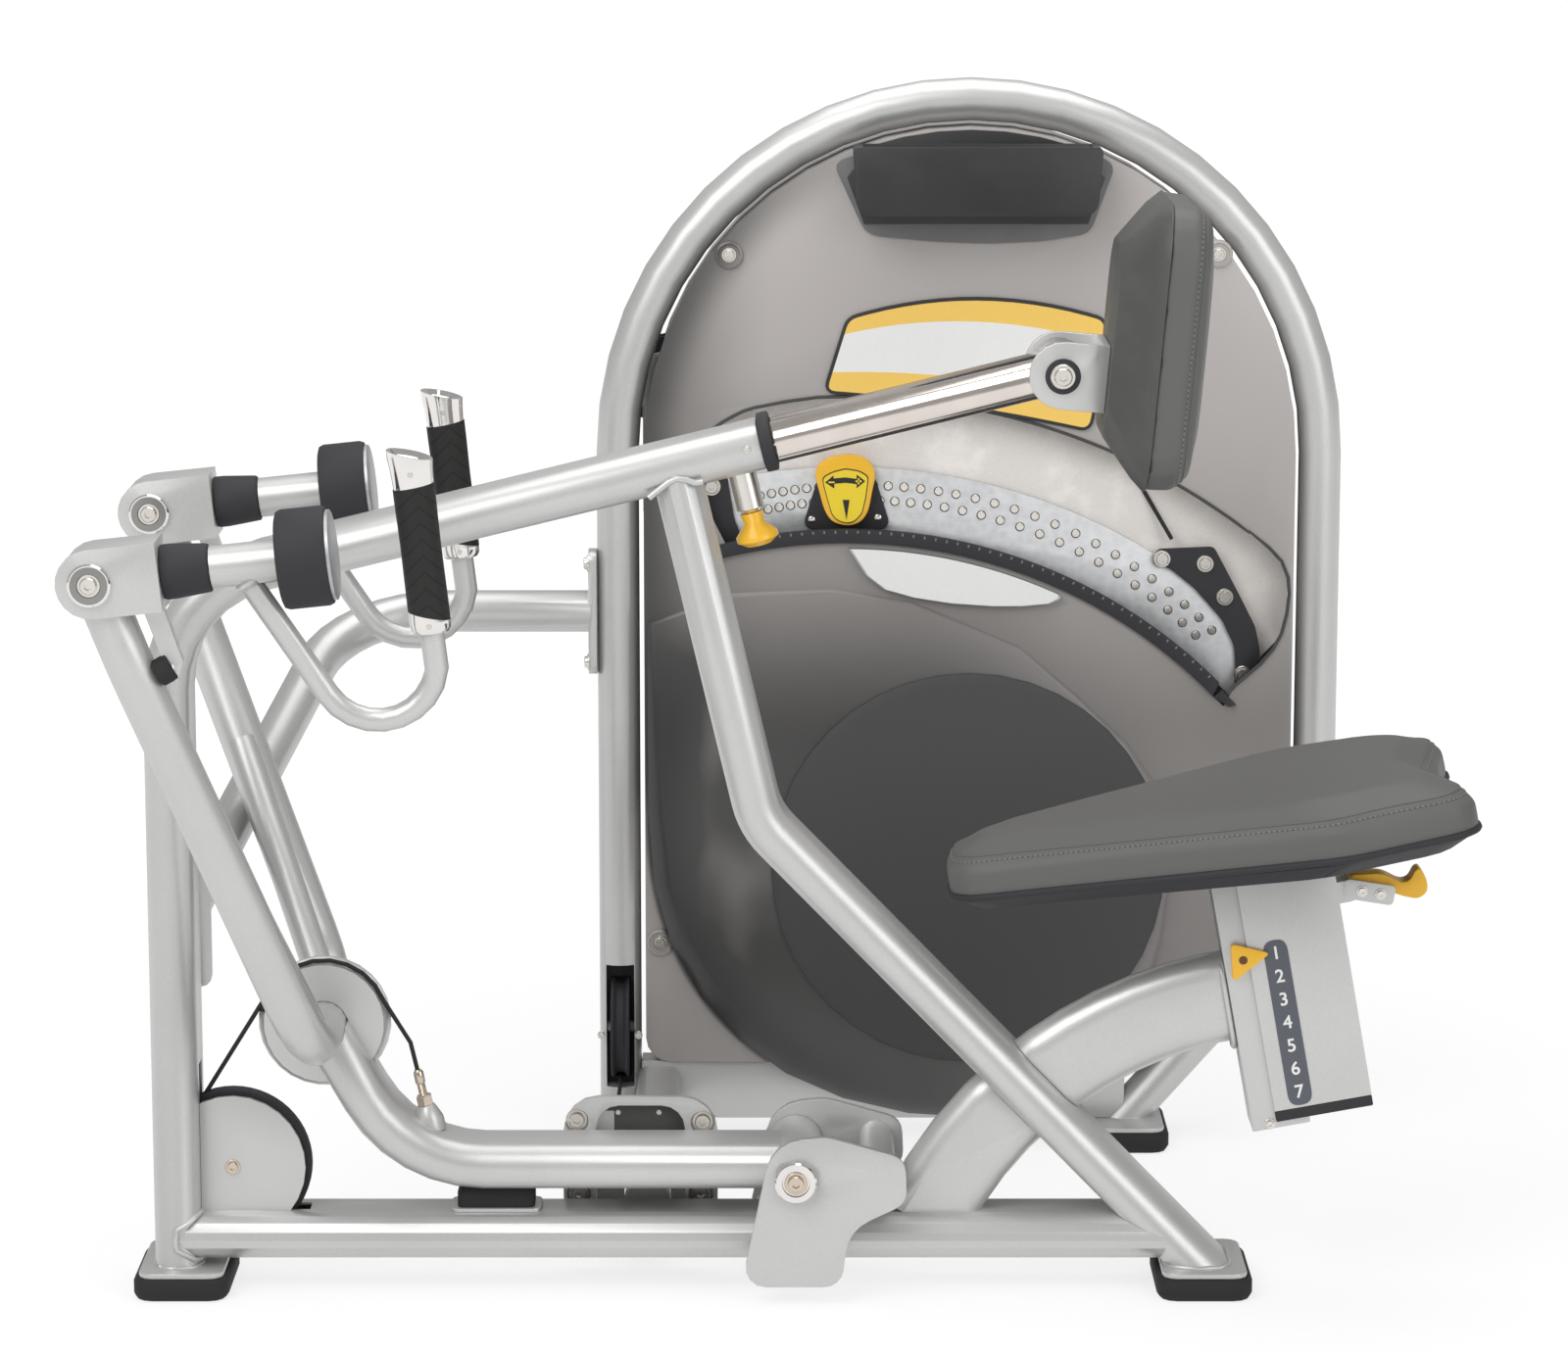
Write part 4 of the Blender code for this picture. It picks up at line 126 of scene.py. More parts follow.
class Signal:
    """A node's output, with arithmetic that adds Math nodes."""

    def __init__(self, graph: "ShaderGraph", socket: bpy.types.NodeSocket) -> None:
        """Keep the graph and the socket.

        Args:
            graph: The graph that new Math nodes go into.
            socket: The output to wrap.
        """
        self.graph = graph
        self.socket = socket

    def math(self, operation: str, *others: "Signal | float", clamp: bool = False) -> "Signal":
        """Add a Math node with this signal first.

        Args:
            operation: Blender's name of the operation.
            others: The further inputs.
            clamp: Whether to keep the result from 0 to 1.

        Returns:
            The result.
        """
        settings = {"operation": operation, "use_clamp": clamp}
        return self.graph.node("ShaderNodeMath", settings, dict(enumerate((self, *others))))

    def reflected(self, operation: str, other: "Signal | float") -> "Signal":
        """Add a Math node with this signal second."""
        return self.graph.node("ShaderNodeMath", {"operation": operation}, {0: other, 1: self})

    def __add__(self, other: "Signal | float") -> "Signal":
        """Sum."""
        return self.math("ADD", other)

    def __radd__(self, other: float) -> "Signal":
        """Sum with a number first."""
        return self.reflected("ADD", other)

    def __sub__(self, other: "Signal | float") -> "Signal":
        """Difference."""
        return self.math("SUBTRACT", other)

    def __rsub__(self, other: float) -> "Signal":
        """Difference with a number first."""
        return self.reflected("SUBTRACT", other)

    def __mul__(self, other: "Signal | float") -> "Signal":
        """Product."""
        return self.math("MULTIPLY", other)

    def __rmul__(self, other: float) -> "Signal":
        """Product with a number first."""
        return self.reflected("MULTIPLY", other)

    def __truediv__(self, other: "Signal | float") -> "Signal":
        """Quotient."""
        return self.math("DIVIDE", other)

    def __rtruediv__(self, other: float) -> "Signal":
        """Quotient with a number first."""
        return self.reflected("DIVIDE", other)

    def __pow__(self, other: float) -> "Signal":
        """Power."""
        return self.math("POWER", other)

    def step(self, low: float, high: float) -> "Signal":
        """Return a smooth rise from 0 at low to 1 at high."""
        inputs = {"Value": self, "From Min": low, "From Max": high}
        return self.graph.node("ShaderNodeMapRange", {"interpolation_type": "SMOOTHSTEP"}, inputs)

    def span(self, low: float, high: float) -> "Signal":
        """Return a 0 to 1 signal stretched from low to high."""
        return self * (high - low) + low


class ShaderGraph:
    """A material's nodes: one Principled shader and whatever feeds it."""

    def __init__(self, name: str) -> None:
        """Start an empty material.

        Args:
            name: The material's name.
        """
        self.material = bpy.data.materials.new(name)
        self.material.use_nodes = True
        self.tree = self.material.node_tree
        self.shader = self.tree.nodes["Principled BSDF"]

    def node(self, kind: str, settings: dict | None = None, inputs: dict | None = None,
             output: int | str = 0) -> Signal:
        """Add any node.

        Args:
            kind: The node's type.
            settings: Attributes set before the inputs; stops is a ramp's list of place and colour.
            inputs: Values or signals by socket name or number.
            output: The output to return.

        Returns:
            The chosen output.
        """
        made = self.tree.nodes.new(kind)
        for key, value in (settings or {}).items():
            if key == "stops":
                self._fill_ramp(made.color_ramp, value)
            else:
                setattr(made, key, value)
        for key, value in (inputs or {}).items():
            self._feed(made.inputs[key], value)
        return Signal(self, made.outputs[output])

    def _feed(self, socket: bpy.types.NodeSocket, value: object) -> None:
        """Link a signal to a socket, or set its value."""
        if isinstance(value, Signal):
            self.tree.links.new(value.socket, socket)
        else:
            socket.default_value = value

    @staticmethod
    def _fill_ramp(ramp: bpy.types.ColorRamp, stops: Sequence[tuple[float, Colour]]) -> None:
        """Give a ramp its stops."""
        while len(ramp.elements) < len(stops):
            ramp.elements.new(1.0)
        for element, (place, colour) in zip(ramp.elements, stops):
            element.position = place
            element.color = (*colour, 1.0)

    def feed(self, **values: object) -> None:
        """Feed the Principled shader, with underscores for the spaces in its socket names."""
        for key, value in values.items():
            socket = self.shader.inputs[key.replace("_", " ")]
            if isinstance(value, tuple) and len(value) == 3:
                value = (*value, 1.0)
            self._feed(socket, value)

    def place(self) -> Signal:
        """Return Object coordinates."""
        return self.node("ShaderNodeTexCoord", output="Object")

    def noise(self, scale: float, detail: float = 2.0, roughness: float = 0.5,
              stretch: Point3 | None = None) -> Signal:
        """Return noise on Object coordinates.

        Args:
            scale: Features to the metre.
            detail: Octaves.
            roughness: The share of the finer octaves.
            stretch: Scale of each axis before the noise.

        Returns:
            The noise, about 0 to 1.
        """
        vector = self.place()
        if stretch:
            vector = self.node("ShaderNodeMapping", {}, {"Vector": vector, "Scale": stretch})
        inputs = {"Vector": vector, "Scale": scale, "Detail": detail, "Roughness": roughness}
        return self.node("ShaderNodeTexNoise", {}, inputs)

    def mix(self, factor: Signal | float, first: Signal | Colour, second: Signal | Colour) -> Signal:
        """Mix two colours.

        Args:
            factor: 0 for the first, 1 for the second.
            first: A colour or signal.
            second: A colour or signal.

        Returns:
            The mixed colour.
        """
        ends = [(*value, 1.0) if isinstance(value, tuple) else value for value in (first, second)]
        return self.node("ShaderNodeMix", {"data_type": "RGBA"}, {0: factor, 6: ends[0], 7: ends[1]}, 2)

    def shade(self, colour: Colour, factor: Signal, low: float, high: float) -> Signal:
        """Return a colour that goes from low to high times its value with a 0 to 1 signal."""
        dark, light = (tuple(channel * by for channel in colour) for by in (low, high))
        return self.mix(factor, dark, light)

    def bump(self, height: Signal, strength: float, distance: float) -> None:
        """Roughen the surface.

        Args:
            height: The relief.
            strength: 0 to 1.
            distance: Metres that a height of 1 stands for.
        """
        inputs = {"Height": height, "Strength": strength, "Distance": distance}
        self._feed(self.shader.inputs["Normal"], self.node("ShaderNodeBump", {}, inputs))


@dataclass(frozen=True)
class Finish:
    """A surface finish, made into a material once."""

    name: str
    colour: Colour
    roughness: float

    def material(self) -> bpy.types.Material:
        """Return the material, made on first use."""
        found = bpy.data.materials.get(self.name)
        if found:
            return found
        graph = ShaderGraph(self.name)
        self.paint(graph)
        graph.material.diffuse_color = (*self.colour, 1.0)
        return graph.material

    def paint(self, graph: ShaderGraph) -> None:
        """Add the finish's nodes; each kind of finish has its own."""
        raise NotImplementedError


@dataclass(frozen=True)
class PowderCoat(Finish):
    """Metallic powder coat: fine flake over a soft orange peel."""

    metallic: float = 0.55
    flake: float = 1500.0
    peel: float = 300.0

    def paint(self, graph: ShaderGraph) -> None:
        """Add flake, peel and faint blotches."""
        flake = graph.noise(self.flake, 1.0)
        blotch = graph.noise(7.0, 3.0)
        dull = graph.noise(self.flake * 0.6, 1.0)
        tone = (flake * 0.7 + blotch * 0.3).step(0.25, 0.75)
        graph.feed(Base_Color=graph.shade(self.colour, tone, 0.9, 1.07), Metallic=self.metallic,
                   Roughness=dull.span(self.roughness - 0.07, self.roughness + 0.09))
        graph.bump(graph.noise(self.peel, 2.0), 0.1, 0.0006)


@dataclass(frozen=True)
class Polished(Finish):
    """Chrome or bright steel with faint haze and fine draw lines."""

    stretch: Point3 = (1.0, 1.0, 1.0)

    def paint(self, graph: ShaderGraph) -> None:
        """Add haze and draw lines."""
        haze = graph.noise(26.0, 4.0)
        lines = graph.noise(700.0, 2.0, stretch=self.stretch)
        graph.feed(Base_Color=graph.shade(self.colour, haze, 0.88, 1.08), Metallic=1.0,
                   Roughness=(haze * 0.5 + lines * 0.5).span(self.roughness * 0.6, self.roughness * 1.5))
        graph.bump(lines, 0.04, 0.0003)


@dataclass(frozen=True)
class Moulded(Finish):
    """Moulded plastic or rubber with a fine texture and dull rubbed patches."""

    grain: float = 900.0
    relief: float = 0.1
    coat: float = 0.0
    gloss: float = 0.5

    def paint(self, graph: ShaderGraph) -> None:
        """Add texture and rubbed patches."""
        grain = graph.noise(self.grain, 2.0)
        rubbed = graph.noise(18.0, 4.0, 0.6).step(0.45, 0.75)
        graph.feed(Base_Color=graph.shade(self.colour, grain * 0.5 + rubbed * 0.5, 0.85, 1.2),
                   Roughness=(rubbed * 0.6 + grain * 0.4).span(self.roughness - 0.07, self.roughness + 0.1),
                   Coat_Weight=self.coat, Coat_Roughness=0.2, Specular_IOR_Level=self.gloss)
        graph.bump(grain, self.relief, 0.0005)


@dataclass(frozen=True)
class ChevronRubber(Finish):
    """Grip rubber moulded with shallow chevrons about the grip's leaning axis."""

    pitch: float = 0.017
    foot: Point2 = (-0.362, 0.773)
    lean: float = 0.0793

    def paint(self, graph: ShaderGraph) -> None:
        """Add chevrons and a fine grain."""
        across = graph.node("ShaderNodeSeparateXYZ", {}, {0: graph.place()}, "X")
        high = graph.node("ShaderNodeSeparateXYZ", {}, {0: graph.place()}, "Z")
        away = (across - self.foot[0] + (high - self.foot[1]) * self.lean).math("ABSOLUTE")
        wave = ((high / self.pitch + away * 55.0).math("FRACT") - 0.5).math("ABSOLUTE")
        raised = wave.step(0.04, 0.12)
        grain = graph.noise(900.0, 2.0)
        # The grooves between the chevrons are painted darker: painted shade; the grain is tone that differs
        # at random.
        tone = raised * 0.7 + grain * 0.3
        graph.feed(Base_Color=graph.shade(self.colour, tone, 0.75, 1.2), Specular_IOR_Level=0.18,
                   Roughness=grain.span(self.roughness - 0.05, self.roughness + 0.08))
        graph.bump(raised + grain * 0.1, 0.35, 0.0009)


@dataclass(frozen=True)
class Vinyl(Finish):
    """Upholstery vinyl with a pebbled leather grain."""

    pebble: float = 520.0
    warp: float = 0.0014

    def paint(self, graph: ShaderGraph) -> None:
        """Add pebbles, creases between them and a faint sheen change."""
        drift = graph.node("ShaderNodeTexNoise", {}, {"Vector": graph.place(), "Scale": 180.0}, "Color")
        warped = graph.node("ShaderNodeVectorMath", {"operation": "MULTIPLY_ADD"},
                            {0: drift, 1: (self.warp, self.warp, self.warp), 2: graph.place()})
        cells = graph.node("ShaderNodeTexVoronoi", {"feature": "DISTANCE_TO_EDGE"},
                           {"Vector": warped, "Scale": self.pebble})
        crease = cells.step(0.0, 0.22)
        wear = graph.noise(9.0, 3.0)
        # The creases between pebbles are painted darker: painted shade; the wear mottle is tone that differs
        # at random.
        graph.feed(Base_Color=graph.shade(self.colour, crease * 0.65 + wear * 0.35, 0.82, 1.12),
                   Roughness=(crease * 0.5 + wear * 0.5).span(self.roughness + 0.08, self.roughness - 0.06))
        graph.bump(crease + graph.noise(1500.0, 1.0) * 0.3, 0.16, 0.0005)


@dataclass(frozen=True)
class SteelPlate(Finish):
    """Bare or zinc-plated steel plate with mottled crystals."""

    metallic: float = 0.85

    def paint(self, graph: ShaderGraph) -> None:
        """Add mottling and fine scratches."""
        mottle = graph.node("ShaderNodeTexVoronoi", {}, {"Vector": graph.place(), "Scale": 110.0})
        scratch = graph.noise(500.0, 2.0, stretch=(0.15, 1.0, 1.0))
        tone = mottle * 0.6 + scratch * 0.5
        graph.feed(Base_Color=graph.shade(self.colour, tone, 0.86, 1.1), Metallic=self.metallic,
                   Roughness=tone.span(self.roughness - 0.08, self.roughness + 0.12))
        graph.bump(scratch, 0.06, 0.0003)


@dataclass(frozen=True)
class Printed(Finish):
    """Printed film or flat ink with a faint mottle."""

    def paint(self, graph: ShaderGraph) -> None:
        """Add the mottle."""
        mottle = graph.noise(420.0, 3.0)
        graph.feed(Base_Color=graph.shade(self.colour, mottle, 0.95, 1.04),
                   Roughness=mottle.span(self.roughness - 0.05, self.roughness + 0.08))
        graph.bump(mottle, 0.03, 0.0003)


@dataclass(frozen=True)
class SmokedShroud(Finish):
    """Shroud moulding: warm grey above, smoked below, with painted shade along the drum's rolled edge and by
    the arch.
    """

    smoked: Colour = (0.06, 0.058, 0.057)
    drum: Point2 = (0.2536, 0.417)
    reach: Point2 = (0.415, 0.381)
    squareness: float = 2.3
    crown: Point2 = (0.2226, 0.849)
    edge: float = 0.3886

    def paint(self, graph: ShaderGraph) -> None:
        """Add the fade from grey to smoke, painted reflections, painted shade at the drum's edge and by the
        arch, and the pale corner outside the drum.
        """
        across = graph.node("ShaderNodeSeparateXYZ", {}, {0: graph.place()}, "X")
        high = graph.node("ShaderNodeSeparateXYZ", {}, {0: graph.place()}, "Z")
        ring = (((across - self.drum[0]) / self.reach[0]).math("ABSOLUTE") ** self.squareness
                + ((high - self.drum[1]) / self.reach[1]).math("ABSOLUTE") ** self.squareness)
        low = 1.0 - high.step(0.4, 0.46)
        corner = ring.step(0.99, 1.04) * low
        # Painted shade: a dark band just inside the drum's rolled edge at the lower left, turned away from
        # the light.
        drum_edge_shade = ring.step(0.62, 0.92) * (1.0 - across.step(-0.02, 0.2)) * (1.0 - high.step(0.5, 0.66))
        # Painted reflections: lighter cloudy patches on the left of the smoked drum; the same patches also
        # vary the roughness.
        reflection_patch = graph.noise(7.5, 2.0, 0.45, (1.0, 1.0, 0.62)).step(0.46, 0.66)
        reflection_patch = reflection_patch * (1.0 - across.step(0.0, 0.22)) * high.step(0.16, 0.3) * (1.0 - high.step(0.5, 0.6))
        upper = high.step(0.5, 0.86) * (across.step(-0.17, 0.0) * 0.7 + 0.3)
        pale = (upper + across.step(0.15, 0.5) * 0.45).math("MINIMUM", 1.0)
        pale = (pale + reflection_patch * 0.3 - drum_edge_shade * 0.35).math("MAXIMUM", corner * 0.8, clamp=True)
        # Painted shade: a band along the shroud's edge by the arch, at the upper left, pulled towards near
        # black.
        rise = (high - self.crown[1]).math("MAXIMUM", 0.0)
        out = ((across - self.crown[0]) ** 2.0 + rise ** 2.0).math("SQRT")
        arch_edge_shade = out.step(self.edge - 0.055, self.edge) * (1.0 - across.step(-0.1, 0.16))
        arch_edge_shade = arch_edge_shade * high.step(0.46, 0.56)
        base = graph.mix(arch_edge_shade * 0.85, graph.mix(pale, self.smoked, self.colour), (0.05, 0.049, 0.048))
        grain = graph.noise(700.0, 2.0)
        # The drum edge's painted shade pulls the colour towards near black, except in the pale corner.
        graph.feed(Base_Color=graph.mix(drum_edge_shade * (1.0 - corner) * 0.72, base, (0.022, 0.021, 0.021)),
                   Roughness=(grain * 0.5 + reflection_patch * 0.5).span(self.roughness - 0.04, self.roughness + 0.08),
                   Coat_Weight=0.12, Coat_Roughness=0.25)
        graph.bump(grain, 0.05, 0.0004)


@dataclass(frozen=True)
class Palette:
    """Every finish on the machine."""

    silver: PowderCoat = PowderCoat("silver_powder_coat", (0.6, 0.6, 0.59), 0.36)
    chrome: Polished = Polished("warm_chrome", (0.72, 0.66, 0.61), 0.13, stretch=(0.06, 1.0, 1.0))
    bright: Polished = Polished("bright_steel", (0.74, 0.71, 0.66), 0.22)
    black: Moulded = Moulded("black_plastic", (0.009, 0.009, 0.0095), 0.38, gloss=0.16)
    rubber: Moulded = Moulded("black_rubber", (0.01, 0.01, 0.01), 0.62, 700.0, 0.22, gloss=0.16)
    grip: ChevronRubber = ChevronRubber("grip_rubber", (0.024, 0.0235, 0.023), 0.55)
    # Pale grey, partly painted light: lighter to make up for the shade that the header's box casts on the
    # skirt.
    skirt: Moulded = Moulded("skirt_moulding", (0.155, 0.156, 0.157), 0.45, 1100.0, 0.16)
    header: Moulded = Moulded("charcoal_moulding", (0.024, 0.0245, 0.0255), 0.42, 1100.0, 0.16)
    vinyl: Vinyl = Vinyl("grey_vinyl", (0.068, 0.068, 0.0655), 0.44)
    shell: Moulded = Moulded("charcoal_shell", (0.072, 0.072, 0.07), 0.48, 800.0, 0.2)
    shroud: SmokedShroud = SmokedShroud("smoked_shroud", (0.44, 0.412, 0.396), 0.34)
    inner: Moulded = Moulded("pale_liner", (0.84, 0.8, 0.765), 0.6, 500.0, 0.05)
    rear: Moulded = Moulded("rear_moulding", (0.3, 0.285, 0.275), 0.4, 900.0, 0.12)
    dark: Moulded = Moulded("dark_shroud", (0.051, 0.05, 0.049), 0.4, 600.0, 0.1)
    amber: Moulded = Moulded("amber_plastic", (0.9, 0.47, 0.022), 0.38, 900.0, 0.06, 0.2)
    steel: SteelPlate = SteelPlate("zinc_plate", (0.5, 0.51, 0.52), 0.42)
    plate: SteelPlate = SteelPlate("bright_plate", (0.7, 0.71, 0.72), 0.4, metallic=0.55)
    lemon: Printed = Printed("lemon_film", (0.88, 0.66, 0.03), 0.4)
    slate: Printed = Printed("slate_film", (0.095, 0.105, 0.125), 0.45)
    white: Printed = Printed("white_film", (0.84, 0.84, 0.83), 0.4)
    orange: Printed = Printed("amber_film", (0.92, 0.6, 0.13), 0.42)
    ink: Printed = Printed("black_ink", (0.012, 0.012, 0.012), 0.5)
    mirror: Polished = Polished("mirror_chrome", (0.78, 0.76, 0.74), 0.08)
    rust: Moulded = Moulded("brown_screw", (0.12, 0.05, 0.012), 0.5)
    # Dark chrome for the painted shade in the gap round each clevis bolt.
    smoke: Polished = Polished("smoked_chrome", (0.3, 0.3, 0.29), 0.2)
    brass: Polished = Polished("zinc_brass", (0.66, 0.57, 0.47), 0.25)
    thread: Printed = Printed("grey_thread", (0.2, 0.2, 0.195), 0.7)


@dataclass(frozen=True)
class Layout:
    """Where the machine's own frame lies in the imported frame."""

    shift: Vector

    def at(self, x: float, y: float, z: float) -> Vector:
        """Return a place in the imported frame."""
        return Vector((x, y, z)) + self.shift

    def side(self, y: float) -> Placer:
        """Return a placing function for outlines drawn in the side view at y, pushed towards the viewer."""
        return lambda a, b, c: self.at(a, y - c, b)

    @staticmethod
    def lie(origin: Vector, right: Vector, up: Vector) -> Placer:
        """Return a placing function for outlines along right and up, pushed along their cross product."""
        push = right.cross(up)
        return lambda a, b, c: origin + right * a + up * b + push * c


class Bench:
    """Modelling steps shared by all sub-assemblies."""

    @staticmethod
    def clear() -> None:
        """Deselect everything."""
        if bpy.context.object and bpy.context.object.mode != "OBJECT":
            bpy.ops.object.mode_set(mode="OBJECT")
        bpy.ops.object.select_all(action="DESELECT")

    @classmethod
    def pick(cls, *pieces: Piece) -> None:
        """Select pieces alone and make the first active."""
        cls.clear()
        for piece in pieces:
            piece.select_set(True)
        bpy.context.view_layer.objects.active = pieces[0]

    @classmethod
    @contextmanager
    def editing(cls, piece: Piece) -> Iterator[None]:
        """Hold a piece in edit mode with everything selected.

        Args:
            piece: The piece to edit.

        Returns:
            A context for edit-mode operators.
        """
        cls.pick(piece)
        bpy.ops.object.mode_set(mode="EDIT")
        bpy.ops.mesh.select_all(action="SELECT")
        yield
        bpy.ops.object.mode_set(mode="OBJECT")

    @classmethod
    def named(cls, name: str) -> Piece:
        """Name the new active piece."""
        piece = bpy.context.object
        piece.name = name
        piece.data.name = name
        return piece

    @classmethod
    def heal(cls, piece: Piece, gap: float = 1e-6) -> None:
        """Merge doubles and point faces outwards."""
        with cls.editing(piece):
            bpy.ops.mesh.remove_doubles(threshold=gap)
            bpy.ops.mesh.normals_make_consistent(inside=False)

    @classmethod
    def apply(cls, piece: Piece, kind: str, **settings: object) -> None:
        """Add a modifier and apply it.

        Args:
            piece: The piece.
            kind: The modifier's type.
            settings: Its attributes.
        """
        modifier = piece.modifiers.new(kind.lower(), kind)
        for key, value in settings.items():
            setattr(modifier, key, value)
        cls.pick(piece)
        bpy.ops.object.modifier_apply(modifier=modifier.name)

    @classmethod
    def smooth(cls, piece: Piece, angle: float = 36.0) -> None:
        """Shade smooth below an angle in degrees."""
        cls.pick(piece)
        bpy.ops.object.shade_smooth_by_angle(angle=math.radians(angle))

    @classmethod
    def ease(cls, piece: Piece, width: float, segments: int = 2, angle: float = 40.0) -> None:
        """Round off sharp edges.

        Args:
            piece: The piece.
            width: The rounding's width.
            segments: Faces across it.
            angle: Edges sharper than this, in degrees, are rounded.
        """
        cls.apply(piece, "BEVEL", width=width, segments=segments, limit_method="ANGLE",
                  angle_limit=math.radians(angle), harden_normals=False, use_clamp_overlap=True)

    @classmethod
    def lathe(cls, name: str, profile: Sequence[Point2], start: Vector, axis: Vector,
              sides: int = 32) -> Piece:
        """Turn a profile: a disc, extruded and resized level by level.

        Args:
            name: The piece's name.
            profile: Radius and height of each level.
            start: Where height 0 lies.
            axis: The direction of growing height.
            sides: Faces round it.

        Returns:
            The closed piece.
        """
        cls.clear()
        radius, height = profile[0]
        bpy.ops.mesh.primitive_circle_add(vertices=sides, radius=radius, fill_type="NGON", location=ORIGIN)
        piece = cls.named(name)
        with cls.editing(piece):
            bpy.ops.transform.translate(value=(0.0, 0.0, height))
            for wide, high in profile[1:]:
                bpy.ops.mesh.extrude_region_move(TRANSFORM_OT_translate={"value": (0.0, 0.0, high - height)})
                by = wide / radius
                bpy.ops.transform.resize(value=(by, by, 1.0), center_override=(0.0, 0.0, high))
                radius, height = wide, high
        turn = UP.rotation_difference(axis.normalized()).to_matrix().to_4x4()
        piece.data.transform(Matrix.Translation(start) @ turn)
        cls.heal(piece)
        cls.smooth(piece)
        return piece

    @classmethod
    def plate(cls, name: str, outline: Sequence[Point2], thick: float, place: Placer,
              edge: float = 0.0) -> Piece:
        """Cut a plate to an outline, push it to its thickness and round its upper edge.

        Args:
            name: The piece's name.
            outline: The outline's points.
            thick: The plate's thickness.
            place: Puts outline points and a height where the plate lies.
            edge: The rounding of the upper edge.

        Returns:
            The closed piece.
        """
        cls.clear()
        bpy.ops.mesh.primitive_circle_add(vertices=len(outline), fill_type="NGON", location=ORIGIN)
        piece = cls.named(name)
        for vertex, (a, b) in zip(piece.data.vertices, outline):
            vertex.co = (a, b, 0.0)
        with cls.editing(piece):
            bpy.ops.mesh.extrude_region_move(TRANSFORM_OT_translate={"value": (0.0, 0.0, thick)})
            if edge:
                bpy.ops.mesh.bevel(offset=edge, segments=2, profile=0.6, clamp_overlap=True)
        for vertex in piece.data.vertices:
            vertex.co = place(*vertex.co)
        cls.heal(piece)
        cls.smooth(piece)
        return piece

    @classmethod
    def wires(cls, name: str, runs: Sequence[Sequence[Vector]], radius: float, closed: bool = False,
              sides: int = 2) -> Piece:
        """Run round wires, beads or stitches along runs of points.

        Args:
            name: The piece's name.
            runs: The centre lines.
            radius: The wires' radius.
            closed: Whether the ends of each run meet.
            sides: How finely they are rounded.

        Returns:
            The closed piece.
        """
        curve = bpy.data.curves.new(name, "CURVE")
        curve.dimensions = "3D"
        curve.bevel_depth = radius
        curve.bevel_resolution = sides
        curve.use_fill_caps = True
        for points in runs:
            spline = curve.splines.new("POLY")
            spline.points.add(len(points) - 1)
            for knot, point in zip(spline.points, points):
                knot.co = (*point, 1.0)
            spline.use_cyclic_u = closed
        piece = bpy.data.objects.new(name, curve)
        bpy.context.scene.collection.objects.link(piece)
        cls.pick(piece)
        bpy.ops.object.convert(target="MESH")
        piece = cls.named(name)
        cls.heal(piece)
        cls.smooth(piece, 60.0)
        return piece

    @classmethod
    def copy(cls, piece: Piece, name: str, move: Matrix) -> Piece:
        """Copy a piece with a mesh of its own.

        Args:
            piece: The piece to copy.
            name: The copy's name.
            move: Where the copy goes from the first one.

        Returns:
            The copy.
        """
        made = piece.copy()
        made.data = piece.data.copy()
        made.name = name
        made.data.name = name
        made.data.transform(move)
        bpy.context.scene.collection.objects.link(made)
        return made

    @classmethod
    def join(cls, name: str, pieces: Sequence[Piece]) -> Piece:
        """Join pieces into one."""
        cls.pick(*pieces)
        if len(pieces) > 1:
            bpy.ops.object.join()
        return cls.named(name)


class Shapes:
    """Outlines that several pieces share."""

    @staticmethod
    def bow(centre: Point2, radius: float, start: float, end: float, steps: int) -> list[Point2]:
        """Return an arc, angles in degrees clockwise from straight up.

        Args:
            centre: The arc's centre.
            radius: Its radius.
            start: The first angle.
            end: The last angle.
            steps: Chords along it.

        Returns:
            The points.
        """
        turns = [math.radians(start + (end - start) * i / steps) for i in range(steps + 1)]
        return [(centre[0] + radius * math.sin(turn), centre[1] + radius * math.cos(turn)) for turn in turns]

    @staticmethod
    def rounded(corners: Sequence[Point2], radius: float, steps: int = 5) -> list[Point2]:
        """Return an outline with its corners rounded.

        Args:
            corners: The sharp outline.
            radius: How far along each side a rounding starts, at most.
            steps: Chords in each rounding.

        Returns:
            The points.
        """
        outline = []
        for i, corner in enumerate(corners):
            here = Vector(corner)
            ends = []
            for other in (corners[i - 1], corners[(i + 1) % len(corners)]):
                way = Vector(other) - here
                ends.append(here + way.normalized() * min(radius, way.length * 0.45))
            for k in range(steps + 1):
                share = k / steps
                point = ends[0] * (1 - share) ** 2 + here * (2 * share * (1 - share)) + ends[1] * share ** 2
                outline.append((point.x, point.y))
        return outline

    @staticmethod
    def panel(width: float, height: float, radius: float) -> list[Point2]:
        """Return a rounded rectangle about the origin."""
        a, b = width / 2, height / 2
        return Shapes.rounded(Shapes.box(-a, -b, a, b), radius)

    @staticmethod
    def box(left: float, low: float, right: float, high: float) -> list[Point2]:
        """Return a sharp rectangle."""
        return [(left, low), (right, low), (right, high), (left, high)]

    @staticmethod
    def grow(outline: Sequence[Point2], by: float) -> list[Point2]:
        """Return a counter-clockwise outline moved outwards by a distance."""
        points = []
        for i, here in enumerate(outline):
            way = Vector(outline[(i + 1) % len(outline)]) - Vector(outline[i - 1])
            out = Vector((way.y, -way.x)).normalized() * by
            points.append((here[0] + out.x, here[1] + out.y))
        return points

    @staticmethod
    def shrink(outline: Sequence[Point2], share: float) -> list[Point2]:
        """Return an outline scaled about its middle."""
        a = sum(point[0] for point in outline) / len(outline)
        b = sum(point[1] for point in outline) / len(outline)
        return [(a + (x - a) * share, b + (z - b) * share) for x, z in outline]


